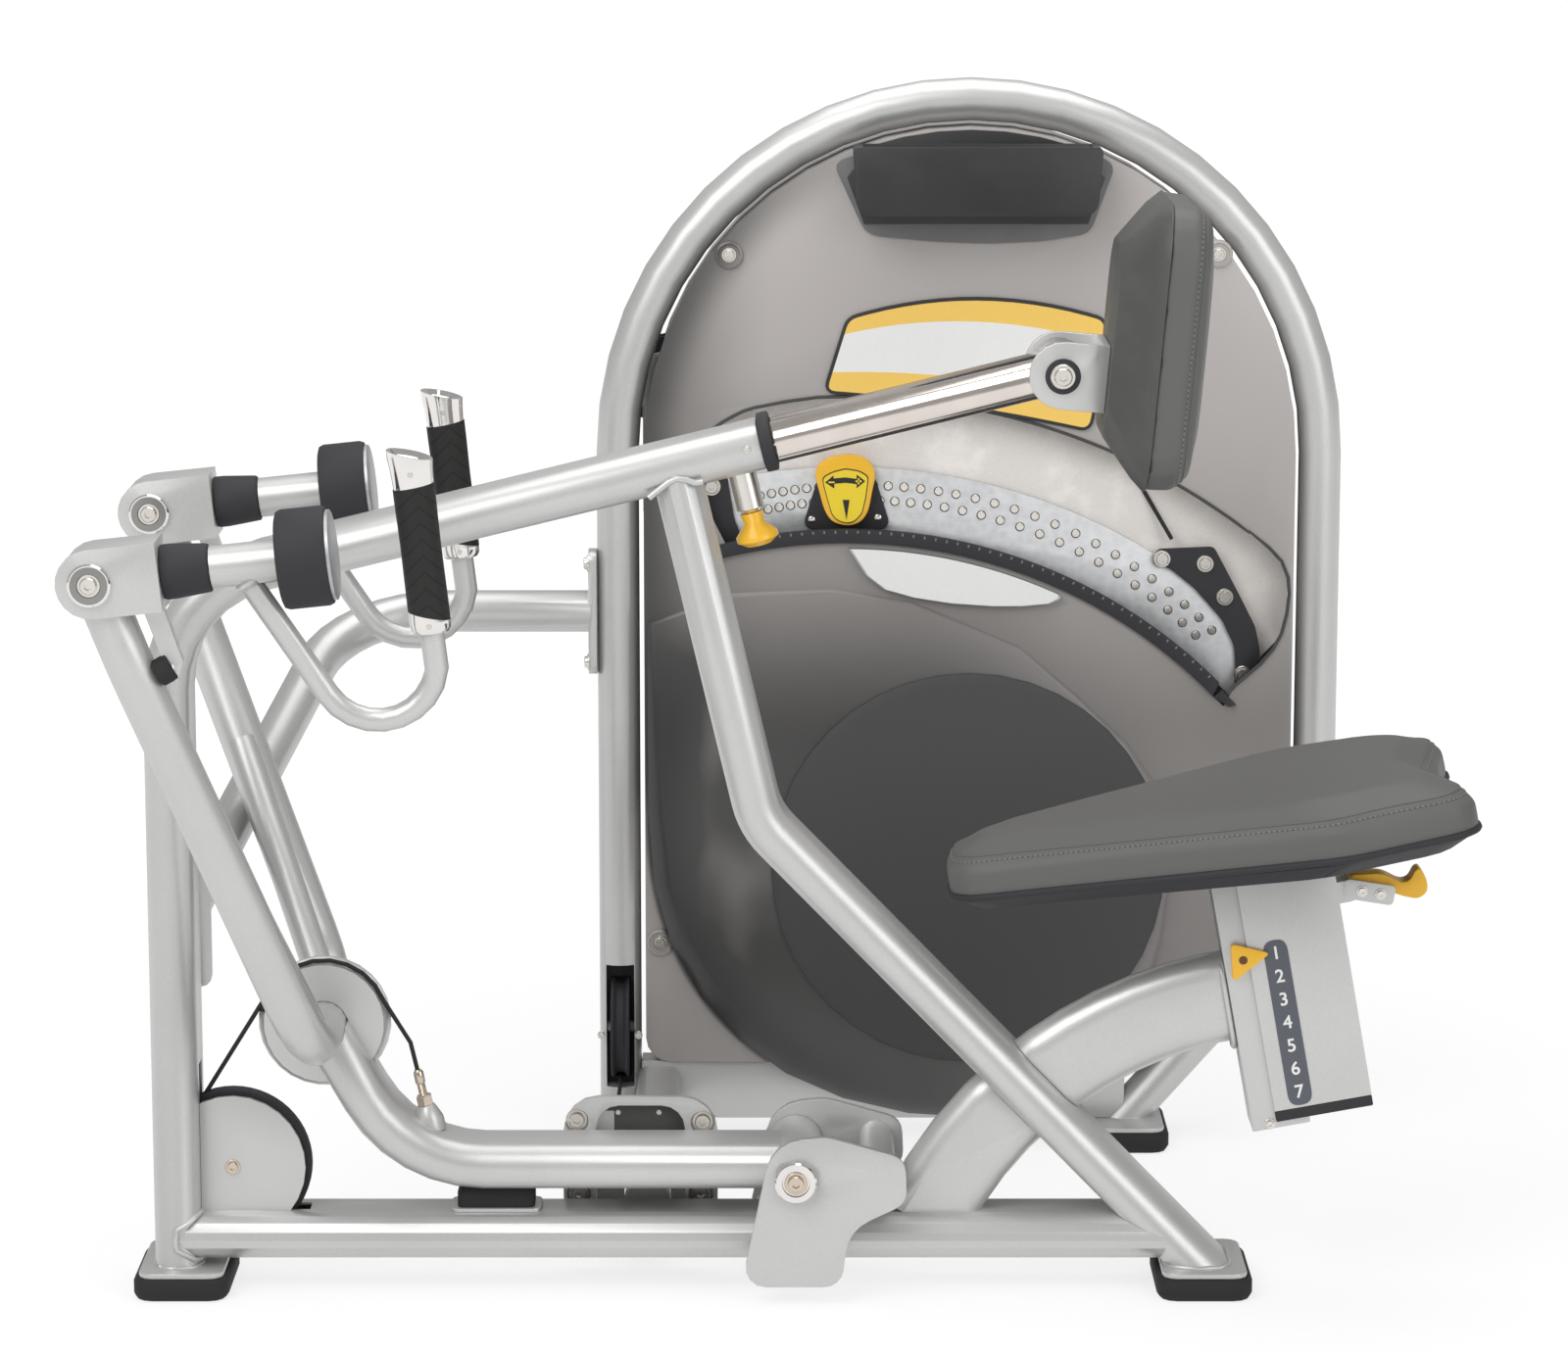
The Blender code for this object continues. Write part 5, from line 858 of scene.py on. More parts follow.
@dataclass
class Assembly:
    """What every sub-assembly has: frame, layout, finishes and the steps that fit its pieces."""

    frame: dict
    layout: Layout
    palette: Palette

    @property
    def kit(self) -> tuple[dict, Layout, Palette]:
        """What another assembly of this machine is made with."""
        return self.frame, self.layout, self.palette

    def body_of(self, node: str) -> str:
        """Return the body that a CAD node rides on."""
        return self.frame["nodes"][node]["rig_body"]

    def slot_of(self, node: str) -> str:
        """Return the record's material slot of a CAD node."""
        subparts = self.frame["record"]["subparts"]
        return next(part["material_slot"] for part in subparts if part["node"] == node)

    def fit(self, piece: Piece, finish: Finish, body: str, slot: str) -> Piece:
        """Finish a piece and let it ride on a body.

        Args:
            piece: The piece.
            finish: Its finish.
            body: The body that carries it.
            slot: The record's material slot.

        Returns:
            The piece.
        """
        self.coat(piece, finish, slot)
        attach(piece, body)
        LOG.info("%s on %s, %d faces", piece.name, body, len(piece.data.polygons))
        return piece

    @staticmethod
    def coat(piece: Piece, finish: Finish, slot: str) -> None:
        """Give a piece its finish."""
        piece.data.materials.clear()
        piece.data.materials.append(finish.material())

    def stand_in(self, piece: Piece, node: str, finish: Finish) -> Piece:
        """Let a finished piece stand for a CAD node, on the node's body."""
        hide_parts(node)
        return self.fit(piece, finish, self.body_of(node), self.slot_of(node))

    def bolts(self, name: str, body: str, places: Sequence[tuple[Vector, Vector, float]],
              finish: Finish | None = None) -> Piece:
        """Set socket-head bolts, one model copied to each place.

        Args:
            name: The piece's name.
            body: The body that carries them.
            places: Seat, facing and washer radius of each.
            finish: Their finish, bright steel if not given.

        Returns:
            The joined bolts.
        """
        model = self._bolt_model()
        made = []
        for i, (seat, facing, radius) in enumerate(places):
            turn = UP.rotation_difference(facing.normalized()).to_matrix().to_4x4()
            move = Matrix.Translation(seat) @ turn @ Matrix.Rotation(BOLT_TURN * i, 4, "Z")
            made.append(Bench.copy(model, f"{name}_{i}", move @ Matrix.Scale(radius, 4)))
        bpy.data.objects.remove(model)
        return self.fit(Bench.join(name, made), finish or self.palette.bright, body, "chrome")

    def capped_bolts(self, name: str, body: str, places: Sequence[tuple[Vector, Vector]], radius: float,
                     bolt: Finish) -> None:
        """Set bolts in polished rings.

        Args:
            name: The first part of the pieces' names.
            body: The body that carries them.
            places: Seat and facing of each.
            radius: The rings' radius.
            bolt: The bolts' finish.
        """
        profile = ((0.98, -0.08), (1.0, -0.04), (1.0, 0.1), (0.93, 0.18), (0.66, 0.18), (0.62, 0.06),
                   (0.2, 0.06))
        scaled = [(wide * radius, high * radius) for wide, high in profile]
        rings = [Bench.lathe("ring", scaled, seat, facing, 40) for seat, facing in places]
        self.fit(Bench.join(name + "_rings", rings), self.palette.mirror, body, "chrome")
        sunk = [(seat + facing * (0.07 * radius), facing, radius * 0.55) for seat, facing in places]
        self.bolts(name + "_bolts", body, sunk, bolt)

    @staticmethod
    def _bolt_model() -> Piece:
        """Return a bolt with a washer of radius 1 and a hexagonal socket."""
        profile = [(1.0, -0.08), (1.0, 0.1), (0.94, 0.16), (0.74, 0.16), (0.72, 0.42), (0.64, 0.52)]
        head = Bench.lathe("bolt", profile, ORIGIN, UP, 28)
        Bench.clear()
        bpy.ops.mesh.primitive_cylinder_add(vertices=6, radius=0.36, depth=0.8, location=(0.0, 0.0, 0.66))
        socket = Bench.named("socket")
        Bench.apply(head, "BOOLEAN", operation="DIFFERENCE", object=socket, solver="EXACT")
        bpy.data.objects.remove(socket)
        Bench.smooth(head, 30.0)
        return head

    def ends(self, node: str) -> tuple[Vector, Vector]:
        """Return the middles of an upright node's lower and upper ends."""
        vertices = self.frame["nodes"][node].data.vertices
        points = sorted((vertex.co for vertex in vertices), key=lambda point: point.z)
        low, high = points[0].z, points[-1].z
        band = (high - low) * END_BAND
        feet = [point for point in points if point.z < low + band]
        heads = [point for point in points if point.z > high - band]
        middle = [Vector([(min(axis) + max(axis)) / 2 for axis in zip(*group)]) for group in (feet, heads)]
        return middle[0], middle[1]

    def footprint(self, node: str, height: float) -> list[Vector]:
        """Return the ring round a CAD node where a level plane cuts it.

        Args:
            node: The CAD node.
            height: The plane's height above the floor.

        Returns:
            The ring's points in order.
        """
        shape = bmesh.new()
        shape.from_mesh(self.frame["nodes"][node].data)
        cut = bmesh.ops.bisect_plane(shape, geom=shape.verts[:] + shape.edges[:] + shape.faces[:],
                                     plane_co=UP * height, plane_no=UP)
        points = [item.co.copy() for item in cut["geom_cut"] if isinstance(item, bmesh.types.BMVert)]
        shape.free()
        return [points[i] for i in convex_hull_2d([point.xy for point in points])]

    def lift(self, node: str) -> Piece:
        """Return a merged copy of a CAD node's mesh, free of the frame."""
        source = self.frame["nodes"][node]
        mesh = source.data.copy()
        mesh.materials.clear()
        piece = bpy.data.objects.new(node + "_look", mesh)
        bpy.context.scene.collection.objects.link(piece)
        with Bench.editing(piece):
            bpy.ops.mesh.remove_doubles(threshold=MERGE_GAP)
            bpy.ops.mesh.dissolve_limited(angle_limit=math.radians(FLAT_ANGLE))
        return piece

    def dress(self, node: str, finish: Finish, edge: float = 0.0, angle: float = 36.0) -> Piece:
        """Replace a CAD node by a copy with eased edges, smooth shading and a finish.

        Args:
            node: The CAD node.
            finish: The finish.
            edge: The rounding of its sharp edges.
            angle: Edges sharper than this, in degrees, stay crisp.

        Returns:
            The piece.
        """
        piece = self.lift(node)
        if edge:
            Bench.ease(piece, edge)
        Bench.smooth(piece, angle)
        return self.stand_in(piece, node, finish)


@dataclass
class Studio(Assembly):
    """Camera, floor and soft light."""

    camera_height: float = 1.666
    camera_away: float = 5.411
    pitch: float = 10.3
    lens: float = 116.3
    floor_half: float = 30.0
    floor_fade: Point2 = (0.9, 2.4)
    floor_glow: float = 0.72
    key_power: float = 76.0
    fill_power: float = 37.0
    rim_power: float = 42.0
    sky: float = 0.42

    def build(self) -> None:
        """Set up the studio."""
        bpy.context.scene.view_settings.view_transform = "Standard"
        self._camera()
        self._floor()
        self._world()
        self._panel("key_panel", (-1.7, -2.3, 3.1), (0.0, 0.2, 0.6), 2.6, self.key_power)
        self._panel("fill_panel", (2.6, -2.6, 2.0), (0.1, 0.2, 0.6), 2.2, self.fill_power)
        self._panel("top_panel", (0.2, 0.6, 3.4), (0.1, 0.3, 0.4), 2.4, self.rim_power)

    def _camera(self) -> None:
        """Place the camera at the photograph's angle."""
        data = bpy.data.cameras.new("camera")
        data.lens = self.lens
        data.sensor_width = 36.0
        camera = bpy.data.objects.new("camera", data)
        camera.location = self.layout.at(0.0, -self.camera_away, self.camera_height)
        camera.rotation_euler = (math.radians(90.0 - self.pitch), 0.0, 0.0)
        bpy.context.scene.collection.objects.link(camera)
        bpy.context.scene.camera = camera

    def _floor(self) -> None:
        """Lay a pale floor that reads white to the camera and keeps the shadow."""
        Bench.clear()
        bpy.ops.mesh.primitive_plane_add(size=2 * self.floor_half, location=(0.0, 0.0, -0.0005))
        floor = Bench.named("floor")
        graph = ShaderGraph("white_floor")
        tree = graph.tree
        graph.feed(Base_Color=graph.shade((0.9, 0.9, 0.9), graph.noise(3.0), 0.99, 1.01), Roughness=0.9)
        path = graph.node("ShaderNodeLightPath")
        sees = [Signal(graph, path.socket.node.outputs[name]) for name in
                ("Is Camera Ray", "Is Glossy Ray", "Is Transmission Ray")]
        seen = sees[0].math("MAXIMUM", sees[1]).math("MAXIMUM", sees[2])
        glow = graph.node("ShaderNodeEmission", {}, {"Color": (1.0, 1.0, 1.0, 1.0), "Strength": 1.08})
        shader = Signal(graph, graph.shader.outputs["BSDF"])
        away = graph.node("ShaderNodeVectorMath", {"operation": "LENGTH"}, {0: graph.place()}, "Value")
        share = seen * away.step(*self.floor_fade).span(self.floor_glow, 1.0)
        mixed = graph.node("ShaderNodeMixShader", {}, {0: share, 1: shader, 2: glow})
        tree.links.new(mixed.socket, tree.nodes["Material Output"].inputs["Surface"])
        floor.data.materials.append(graph.material)

    def _world(self) -> None:
        """Give an even white surround."""
        world = bpy.data.worlds.new("surround")
        bpy.context.scene.world = world
        world.use_nodes = True
        tree = world.node_tree
        back = tree.nodes["Background"]
        back.inputs["Color"].default_value = (1.0, 1.0, 1.0, 1.0)
        path = tree.nodes.new("ShaderNodeLightPath")
        seen = tree.nodes.new("ShaderNodeMath")
        seen.operation = "MAXIMUM"
        tree.links.new(path.outputs["Is Camera Ray"], seen.inputs[0])
        tree.links.new(path.outputs["Is Transmission Ray"], seen.inputs[1])
        level = tree.nodes.new("ShaderNodeMapRange")
        level.inputs["To Min"].default_value = self.sky
        level.inputs["To Max"].default_value = 1.0
        tree.links.new(seen.outputs[0], level.inputs["Value"])
        tree.links.new(level.outputs["Result"], back.inputs["Strength"])

    def _panel(self, name: str, place: Point3, target: Point3, size: float, power: float) -> None:
        """Hang a soft light panel.

        Args:
            name: The light's name.
            place: Where it hangs.
            target: What it faces.
            size: Its side.
            power: Its power in watts.
        """
        data = bpy.data.lights.new(name, "AREA")
        data.shape = "SQUARE"
        data.size = size
        data.energy = power
        light = bpy.data.objects.new(name, data)
        light.location = self.layout.at(*place)
        aim = self.layout.at(*target) - light.location
        light.rotation_euler = aim.to_track_quat("-Z", "Y").to_euler()
        bpy.context.scene.collection.objects.link(light)


@dataclass
class Pad(Assembly):
    """An upholstered pad, inflated from its CAD solid by cloth simulation."""

    node: str
    base_point: Vector
    base_normal: Vector
    voxel: float = 0.005
    shrink: float = 0.003
    pressure: float = 4.0
    frames: int = 20
    cap: float = 0.007
    flat: float = 0.006
    passes: int = 90
    stiffness: float = 25.0
    welt: float = 0.0011
    groove: float = 0.0007
    thread: float = 0.0009
    stitch_share: float = 0.3

    def build(self) -> Piece:
        """Make the pad.

        Returns:
            The pad, inflated and smoothed.
        """
        piece = self.lift(self.node)
        piece.name = self.node + "_cover"
        with Bench.editing(piece):
            bpy.ops.mesh.normals_make_consistent(inside=False)
            bpy.ops.transform.shrink_fatten(value=-self.shrink)
        self._settle(piece)
        piece.data.remesh_voxel_size = self.voxel
        piece.data.use_remesh_fix_poles = True
        Bench.pick(piece)
        bpy.ops.object.voxel_remesh()
        Bench.apply(piece, "SMOOTH", factor=0.5, iterations=6)
        self._settle(piece)
        self._inflate(piece)
        Bench.apply(piece, "SUBSURF", levels=1, render_levels=1)
        Bench.pick(piece)
        bpy.ops.object.shade_smooth()
        return piece

    def finish(self, piece: Piece, fill: float = 0.8) -> Piece:
        """Args:
            piece: The pad.
            fill: How tight it is stuffed; not used.

        Returns:
            The pad.
        """
        self.stand_in(piece, self.node, self.palette.vinyl)
        return piece

    def stitch(self, piece: Piece, seam: float, pitch: float = 0.0058, drop: float = 0.0052) -> None:
        """Run a welt along a seam round the pad, and a row of stitches below it on a dark line of painted
        shade.

        Args:
            piece: The pad.
            seam: The seam's height above the base.
            pitch: From stitch to stitch.
            drop: The stitches' distance from the seam.
        """
        body = self.body_of(self.node)
        welt = Bench.wires(self.node + "_welt", [self.contour(piece, seam)], self.welt, True)
        self.fit(welt, self.palette.vinyl, body, "grey_vinyl")
        line = self.contour(piece, seam - drop)
        stitches = []
        travelled = 0.0
        for here, there in zip(line, line[1:]):
            way = (there - here).length
            if int((travelled + way) / pitch) > int(travelled / pitch):
                ahead = (there - here).normalized() * (pitch * self.stitch_share)
                stitches.append([here - ahead, here + ahead])
            travelled += way
        # Painted shade: a dark wire along the stitch line, for the groove the stitches sink into.
        groove = Bench.wires(self.node + "_groove", [line], self.groove, True)
        self.fit(groove, self.palette.dark, body, "grey_vinyl")
        thread = Bench.wires(self.node + "_stitches", stitches, self.thread, False, 1)
        self.fit(thread, self.palette.thread, body, "grey_vinyl")

    def contour(self, piece: Piece, height: float) -> list[Vector]:
        """Return the pad's contour at a height, in order and evenly spaced.

        Args:
            piece: The pad.
            height: The height above the base.

        Returns:
            The points of the closed contour.
        """
        shape = bmesh.new()
        shape.from_mesh(piece.data)
        cut = bmesh.ops.bisect_plane(shape, geom=shape.verts[:] + shape.edges[:] + shape.faces[:],
                                     plane_co=self.base_point + self.base_normal * height,
                                     plane_no=self.base_normal)
        edges = [item for item in cut["geom_cut"] if isinstance(item, bmesh.types.BMEdge)]
        beside: dict = {}
        for edge in edges:
            for vertex in edge.verts:
                beside.setdefault(vertex, []).append(edge.other_vert(vertex))
        start = next(iter(beside))
        loop, seen = [start], {start}
        while True:
            onward = [vertex for vertex in beside[loop[-1]] if vertex not in seen]
            if not onward:
                break
            loop.append(onward[0])
            seen.add(onward[0])
        points = [vertex.co.copy() for vertex in loop]
        shape.free()
        return self._even(points)

    @staticmethod
    def _even(points: Sequence[Vector], gap: float = 0.0029) -> list[Vector]:
        """Return points at an even gap along a closed line."""
        ring = list(points) + [points[0]]
        placed, spare = [], 0.0
        for here, there in zip(ring, ring[1:]):
            way = there - here
            while spare <= way.length:
                placed.append(here + way.normalized() * spare)
                spare += gap
            spare -= way.length
        return placed

    def height(self, point: Vector) -> float:
        """Return a point's height above the pad's base."""
        return (point - self.base_point).dot(self.base_normal)

    def _settle(self, piece: Piece) -> None:
        """Press the pad's underside back to its flat base."""
        for vertex in piece.data.vertices:
            high = self.height(vertex.co)
            if high < self.flat:
                vertex.co -= self.base_normal * high

    def _inflate(self, piece: Piece) -> None:
        """Blow the pad up a little, with its base pinned and no point moving past the cap."""
        before = [vertex.co.copy() for vertex in piece.data.vertices]
        pinned = piece.vertex_groups.new(name="base")
        base = [vertex.index for vertex in piece.data.vertices if self.height(vertex.co) < self.flat]
        pinned.add(base, 1.0, "ADD")
        cloth = piece.modifiers.new("cloth", "CLOTH")
        settings = cloth.settings
        settings.use_pressure = True
        settings.uniform_pressure_force = self.pressure
        settings.effector_weights.gravity = 0.0
        settings.vertex_group_mass = "base"
        settings.tension_stiffness = self.stiffness
        settings.compression_stiffness = self.stiffness
        settings.bending_stiffness = 2.0
        cloth.point_cache.frame_start = 1
        cloth.point_cache.frame_end = self.frames
        scene = bpy.context.scene
        for frame in range(1, self.frames + 1):
            scene.frame_set(frame)
        Bench.pick(piece)
        bpy.ops.object.modifier_apply(modifier=cloth.name)
        scene.frame_set(1)
        moves = np.array([vertex.co - start for vertex, start in zip(piece.data.vertices, before)])
        for vertex, start, row in zip(piece.data.vertices, before, self._taut(piece, moves)):
            move = Vector(row)
            vertex.co = start + move * min(1.0, self.cap / max(move.length, 1e-9))

    def _taut(self, piece: Piece, moves: np.ndarray) -> np.ndarray:
        """Pull the creases out of the swelling.

        Args:
            piece: The pad.
            moves: How far each point has moved.

        Returns:
            The moves, averaged with their neighbours'.
        """
        ends = np.array([edge.vertices[:] for edge in piece.data.edges])
        count = 1.0 + np.bincount(ends.ravel(), minlength=len(moves))[:, None]
        for _ in range(self.passes):
            total = moves.copy()
            np.add.at(total, ends[:, 0], moves[ends[:, 1]])
            np.add.at(total, ends[:, 1], moves[ends[:, 0]])
            moves = total / count
        return moves


@dataclass
class MainFrame(Assembly):
    """Post and beam, base, brace, seat support, feet and the bracket of the row arm."""

    edge: float = 0.0012
    bead: float = 0.0032
    post_x: float = -0.668
    foot_top: float = 0.0305
    base_z: float = 0.063
    half_flat: float = 0.0254
    half_wide: float = 0.0508
    bumper: Point3 = (-0.3176, 0.0, 0.0886)
    arch_plate: Point2 = (-0.2347, 0.586)
    post_plate: float = 0.0611
    rail_screw: Point3 = (0.533, -0.0318, 0.1905)
    pulley_face: float = 0.019
    shaft_face: float = 0.0965
    knee_side: float = 0.0495
    knee_bead: float = 0.0036
    wander: float = 0.0008
    knee: Outline = (
        (-0.1446, 0.8869), (-0.1337, 0.8956), (-0.1236, 0.9035), (-0.1144, 0.9078), (-0.1036, 0.9061),
        (-0.0953, 0.9029), (-0.0866, 0.9044))

    def build(self) -> None:
        """Dress the frame and add welds, fasteners and the bumper's seat."""
        palette = self.palette
        for node in ("post_beam", "base_tube", "rear_brace", "seat_support", "pivot_bracket"):
            self.dress(node, palette.silver, self.edge)
        for node in ("front_foot_pad", "rear_foot_pad", "stop_bumper"):
            self.dress(node, palette.rubber, 0.0015)
        self.dress("pivot_shaft", palette.bright, 0.0008)
        self._welds()
        self._fasteners()
        self._pivot_caps()
        self._bumper_seat()

    def _welds(self) -> None:
        """Lay weld beads where tubes meet."""
        at = self.layout.at
        flat, wide = self.half_flat + 0.001, self.half_wide + 0.001
        oval = self._oval(flat, wide)
        runs = [self.footprint("post_beam", self.foot_top), self.footprint("rear_brace", self.foot_top),
                [at(self.post_x + 0.0005 + self._bulge(b), b, self.base_z + a) for a, b in oval],
                [at(0.4855 - c * 0.1817, b, 0.3205 + c) for c, b in self._oval(0.049, 0.0262)]]
        piece = Bench.wires("weld_beads", [self._rippled(run) for run in runs], self.bead, True)
        self.fit(piece, self.palette.silver, "frame", "silver_paint")
        knees = [[at(x, y, z) for x, z in self.knee] for y in (-self.knee_side, self.knee_side)]
        piece = Bench.wires("knee_welds", knees, self.knee_bead)
        self.fit(piece, self.palette.silver, "frame", "silver_paint")

    def _bulge(self, across: float) -> float:
        """Return how far the post's round side stands out at a place across it."""
        past = max(0.0, abs(across) - self.half_flat)
        return math.sqrt(max(0.0, self.half_flat ** 2 - past ** 2))

    @staticmethod
    def _oval(half_a: float, half_b: float) -> list[Point2]:
        """Return a closed flat-sided oval."""
        return Shapes.panel(2 * half_a, 2 * half_b, min(half_a, half_b) * 0.95)

    def _rippled(self, run: Sequence[Vector]) -> list[Vector]:
        """Return a run with a welder's slight wander."""
        return [point + Vector((0.0, 0.0, self.wander * math.sin(2.1 * i))) for i, point in enumerate(run)]

    def _fasteners(self) -> None:
        """Set the visible bolts of the frame."""
        at, near, far, left = self.layout.at, Axis.NEAR.vector, Axis.FAR.vector, Axis.LEFT.vector
        bolts = [(at(*self.arch_plate, z), left, 0.01) for z in (0.715, 0.595)]
        bolts += [(at(self.post_x, self.post_plate, z), far, 0.01) for z in (0.456, 0.344)]
        self.bolts("frame_bolts", "frame", bolts + [(at(*self.rail_screw), near, 0.0062)])
        x, z = FRONT_PULLEY
        sides = ((-self.pulley_face, near), (self.pulley_face, far))
        seats = [(at(x, y, z), way, 0.0085) for y, way in sides]
        self.bolts("pulley_bolts", "frame", seats, self.palette.brass)

    def _pivot_caps(self) -> None:
        """Close the pivot shaft's ends."""
        sides = ((-self.shaft_face, Axis.NEAR.vector), (self.shaft_face, Axis.FAR.vector))
        seats = [(self.layout.at(PIVOT[0], y, PIVOT[1]), way) for y, way in sides]
        self.capped_bolts("pivot", "frame", seats, 0.023, self.palette.brass)

    def _bumper_seat(self) -> None:
        """Put a rounded plate under the bumper."""
        place = Layout.lie(self.layout.at(*self.bumper), Axis.RIGHT.vector, Axis.FAR.vector)
        piece = Bench.plate("bumper_seat", Shapes.panel(0.1, 0.052, 0.012), 0.004, place, 0.001)
        self.fit(piece, self.palette.silver, "frame", "silver_paint")


@dataclass
class RowArm(Assembly):
    """Lever, yoke and cable guide."""

    anchor: Point2 = (-0.3915, 0.187)
    lean: Point3 = (-0.2065, 0.0, 0.9785)
    flange: float = 0.066
    guide_face: float = 0.0095
    boss: Outline = ((0.017, -0.012), (0.0165, 0.002), (0.0105, 0.016), (0.0095, 0.017))
    nut: Outline = ((0.0085, 0.0165), (0.0092, 0.0175), (0.0092, 0.0275), (0.008, 0.029))
    rod: Outline = ((0.0056, 0.0435), (0.0056, 0.055), (0.0036, 0.058))

    def build(self) -> None:
        """Dress the arm and add the cable's end fitting and the guide's bolts."""
        for node in ("row_lever", "row_yoke"):
            self.dress(node, self.palette.silver, 0.001)
        self._guide()
        at, near, far = self.layout.at, Axis.NEAR.vector, Axis.FAR.vector
        base, lean = at(self.anchor[0], MIDDLE, self.anchor[1]), Vector(self.lean)
        boss = Bench.lathe("cable_boss", self.boss, base, lean, 28)
        self.fit(boss, self.palette.silver, "row_arm", "silver_paint")
        nut = Bench.lathe("cable_nut", self.nut, base, lean, 6)
        threads = [(0.0042 + 0.0007 * (i % 2), 0.028 + 0.0011 * i) for i in range(14)]
        rod = Bench.lathe("cable_adjuster", [*threads, *self.rod], base, lean, 20)
        Bench.smooth(nut, 20.0)
        self.fit(Bench.join("cable_adjuster", [rod, nut]), self.palette.brass, "row_arm", "chrome")
        sides = ((-self.guide_face, near), (self.guide_face, far))
        self.bolts("guide_bolts", "row_arm", [(at(GUIDE[0], y, GUIDE[1]), way, 0.009) for y, way in sides])

    def _guide(self) -> None:
        """Trim the guide's near flange, so that the cable shows on its rim."""
        piece = self.lift("cable_guide")
        centre = self.layout.at(GUIDE[0], MIDDLE, GUIDE[1])
        for vertex in piece.data.vertices:
            arm = vertex.co - centre
            reach = math.hypot(arm.x, arm.z)
            if arm.y < -0.002 and reach > self.flange:
                vertex.co = centre + Vector((arm.x * self.flange / reach, arm.y, arm.z * self.flange / reach))
        Bench.heal(piece)
        Bench.smooth(piece)
        self.stand_in(piece, "cable_guide", self.palette.silver)


@dataclass
class Handle(Assembly):
    """One handle: clevis, sleeve, loop, counterweight and grip."""

    label: str
    pivot: Point2 = (-0.712, 0.831)
    side_y: float = 0.25
    boss: float = 0.0402
    tilt: float = math.radians(6.0)
    weld: Point2 = (-0.5506, 0.8286)
    weight_start: float = 0.193
    weight_length: float = 0.053
    weight_radius: float = 0.052
    collar: Outline = ((0.012, -0.006), (0.0172, -0.002), (0.0176, 0.001), (0.012, 0.006))
    collar_way: Point3 = (0.54, 0.0, -0.84)
    dish: Outline = ((0.0198, 0.003), (0.0196, 0.0044), (0.0125, 0.0046), (0.012, 0.003))
    stop: Outline = ((0.0128, -0.0085), (0.0148, -0.0065), (0.0148, 0.0085), (0.0128, 0.01))
    stop_way: Point3 = (0.86, 0.0, 0.51)
    ring: Outline = (
        (0.015, -0.001), (0.0185, 0.0), (0.0212, 0.004), (0.0213, 0.012), (0.0205, 0.024), (0.017, 0.0245))

    @property
    def across(self) -> float:
        """The handle's place across the machine."""
        return -self.side_y if self.label == "near" else self.side_y

    def build(self) -> None:
        """Dress the handle and add its grip, weight and bolts."""
        palette = self.palette
        self.dress("clevis_" + self.label, palette.silver, 0.0025)
        self.dress("sleeve_" + self.label, palette.black, 0.002)
        self._loop()
        self._counterweight()
        self._grip()
        self._bolts()
        self._stop()

    def _loop(self) -> None:
        """Dress the loop, with its end kept out of the grip's dished cap."""
        node = "handle_loop_" + self.label
        loop = self.lift(node)
        foot, head = self.ends("grip_" + self.label)
        tool = Bench.lathe("loop_trim", [(0.03, -0.03), (0.03, 0.03)], head, head - foot, 24)
        Bench.apply(loop, "BOOLEAN", operation="DIFFERENCE", object=tool, solver="EXACT")
        bpy.data.objects.remove(tool)
        Bench.smooth(loop)
        seat = self.layout.at(self.weld[0], self.across, self.weld[1])
        collar = Bench.lathe("loop_weld_" + self.label, self.collar, seat, Vector(self.collar_way), 32)
        self.fit(collar, self.palette.silver, self.body_of(node), self.slot_of(node))
        self.stand_in(loop, node, self.palette.silver)

    def _bolts(self) -> None:
        """Set the pivot bolts on both cheeks, each with a dark ring of painted shade in the gap round it."""
        body, (x, z) = "handle_" + self.label, self.pivot
        sides = ((-self.boss, Axis.NEAR.vector), (self.boss, Axis.FAR.vector))
        cheeks = [(self.layout.at(x, self.across + y, z), way) for y, way in sides]
        self.capped_bolts("clevis_" + self.label, body, cheeks, 0.0225, self.palette.bright)
        # Painted shade: a dark chrome ring over the inner part of each polished ring, for the dark gap round
        # the bolt.
        gap_shades = [Bench.lathe("dish", self.dish, seat, way, 40) for seat, way in cheeks]
        self.fit(Bench.join("clevis_dishes_" + self.label, gap_shades), self.palette.smoke, body, "chrome")

    def _stop(self) -> None:
        """Put the rubber tip on the clevis's stop lug."""
        seat = self.layout.at(-0.6412, self.across - 0.004, 0.7366)
        piece = Bench.lathe("clevis_stop_" + self.label, self.stop, seat, Vector(self.stop_way), 32)
        self.fit(piece, self.palette.rubber, "handle_" + self.label, "black_rubber")

    def _counterweight(self) -> None:
        """Turn the counterweight and its metal end disc."""
        way = Vector((math.cos(self.tilt), 0.0, math.sin(self.tilt)))
        start = self.layout.at(self.pivot[0], self.across, self.pivot[1]) + way * self.weight_start
        radius, length = self.weight_radius, self.weight_length
        profile = [
            (radius - 0.006, 0.0), (radius - 0.0018, 0.0015), (radius, 0.006), (radius, length - 0.006),
            (radius - 0.0018, length - 0.0015), (radius - 0.006, length), (radius - 0.009, length),
            (radius - 0.0095, length - 0.002), (0.004, length - 0.002)]
        weight = Bench.lathe("counterweight_" + self.label + "_look", profile, start, way, 48)
        self.stand_in(weight, "counterweight_" + self.label, self.palette.black)
        disc = [(radius - 0.005, length - 0.0025), (radius - 0.005, length + 0.003),
                (radius - 0.007, length + 0.004), (0.004, length + 0.004)]
        plate = Bench.lathe("weight_plate_" + self.label, disc, start, way, 48)
        self.fit(plate, self.palette.steel, "swivel_" + self.label, "steel_plate")

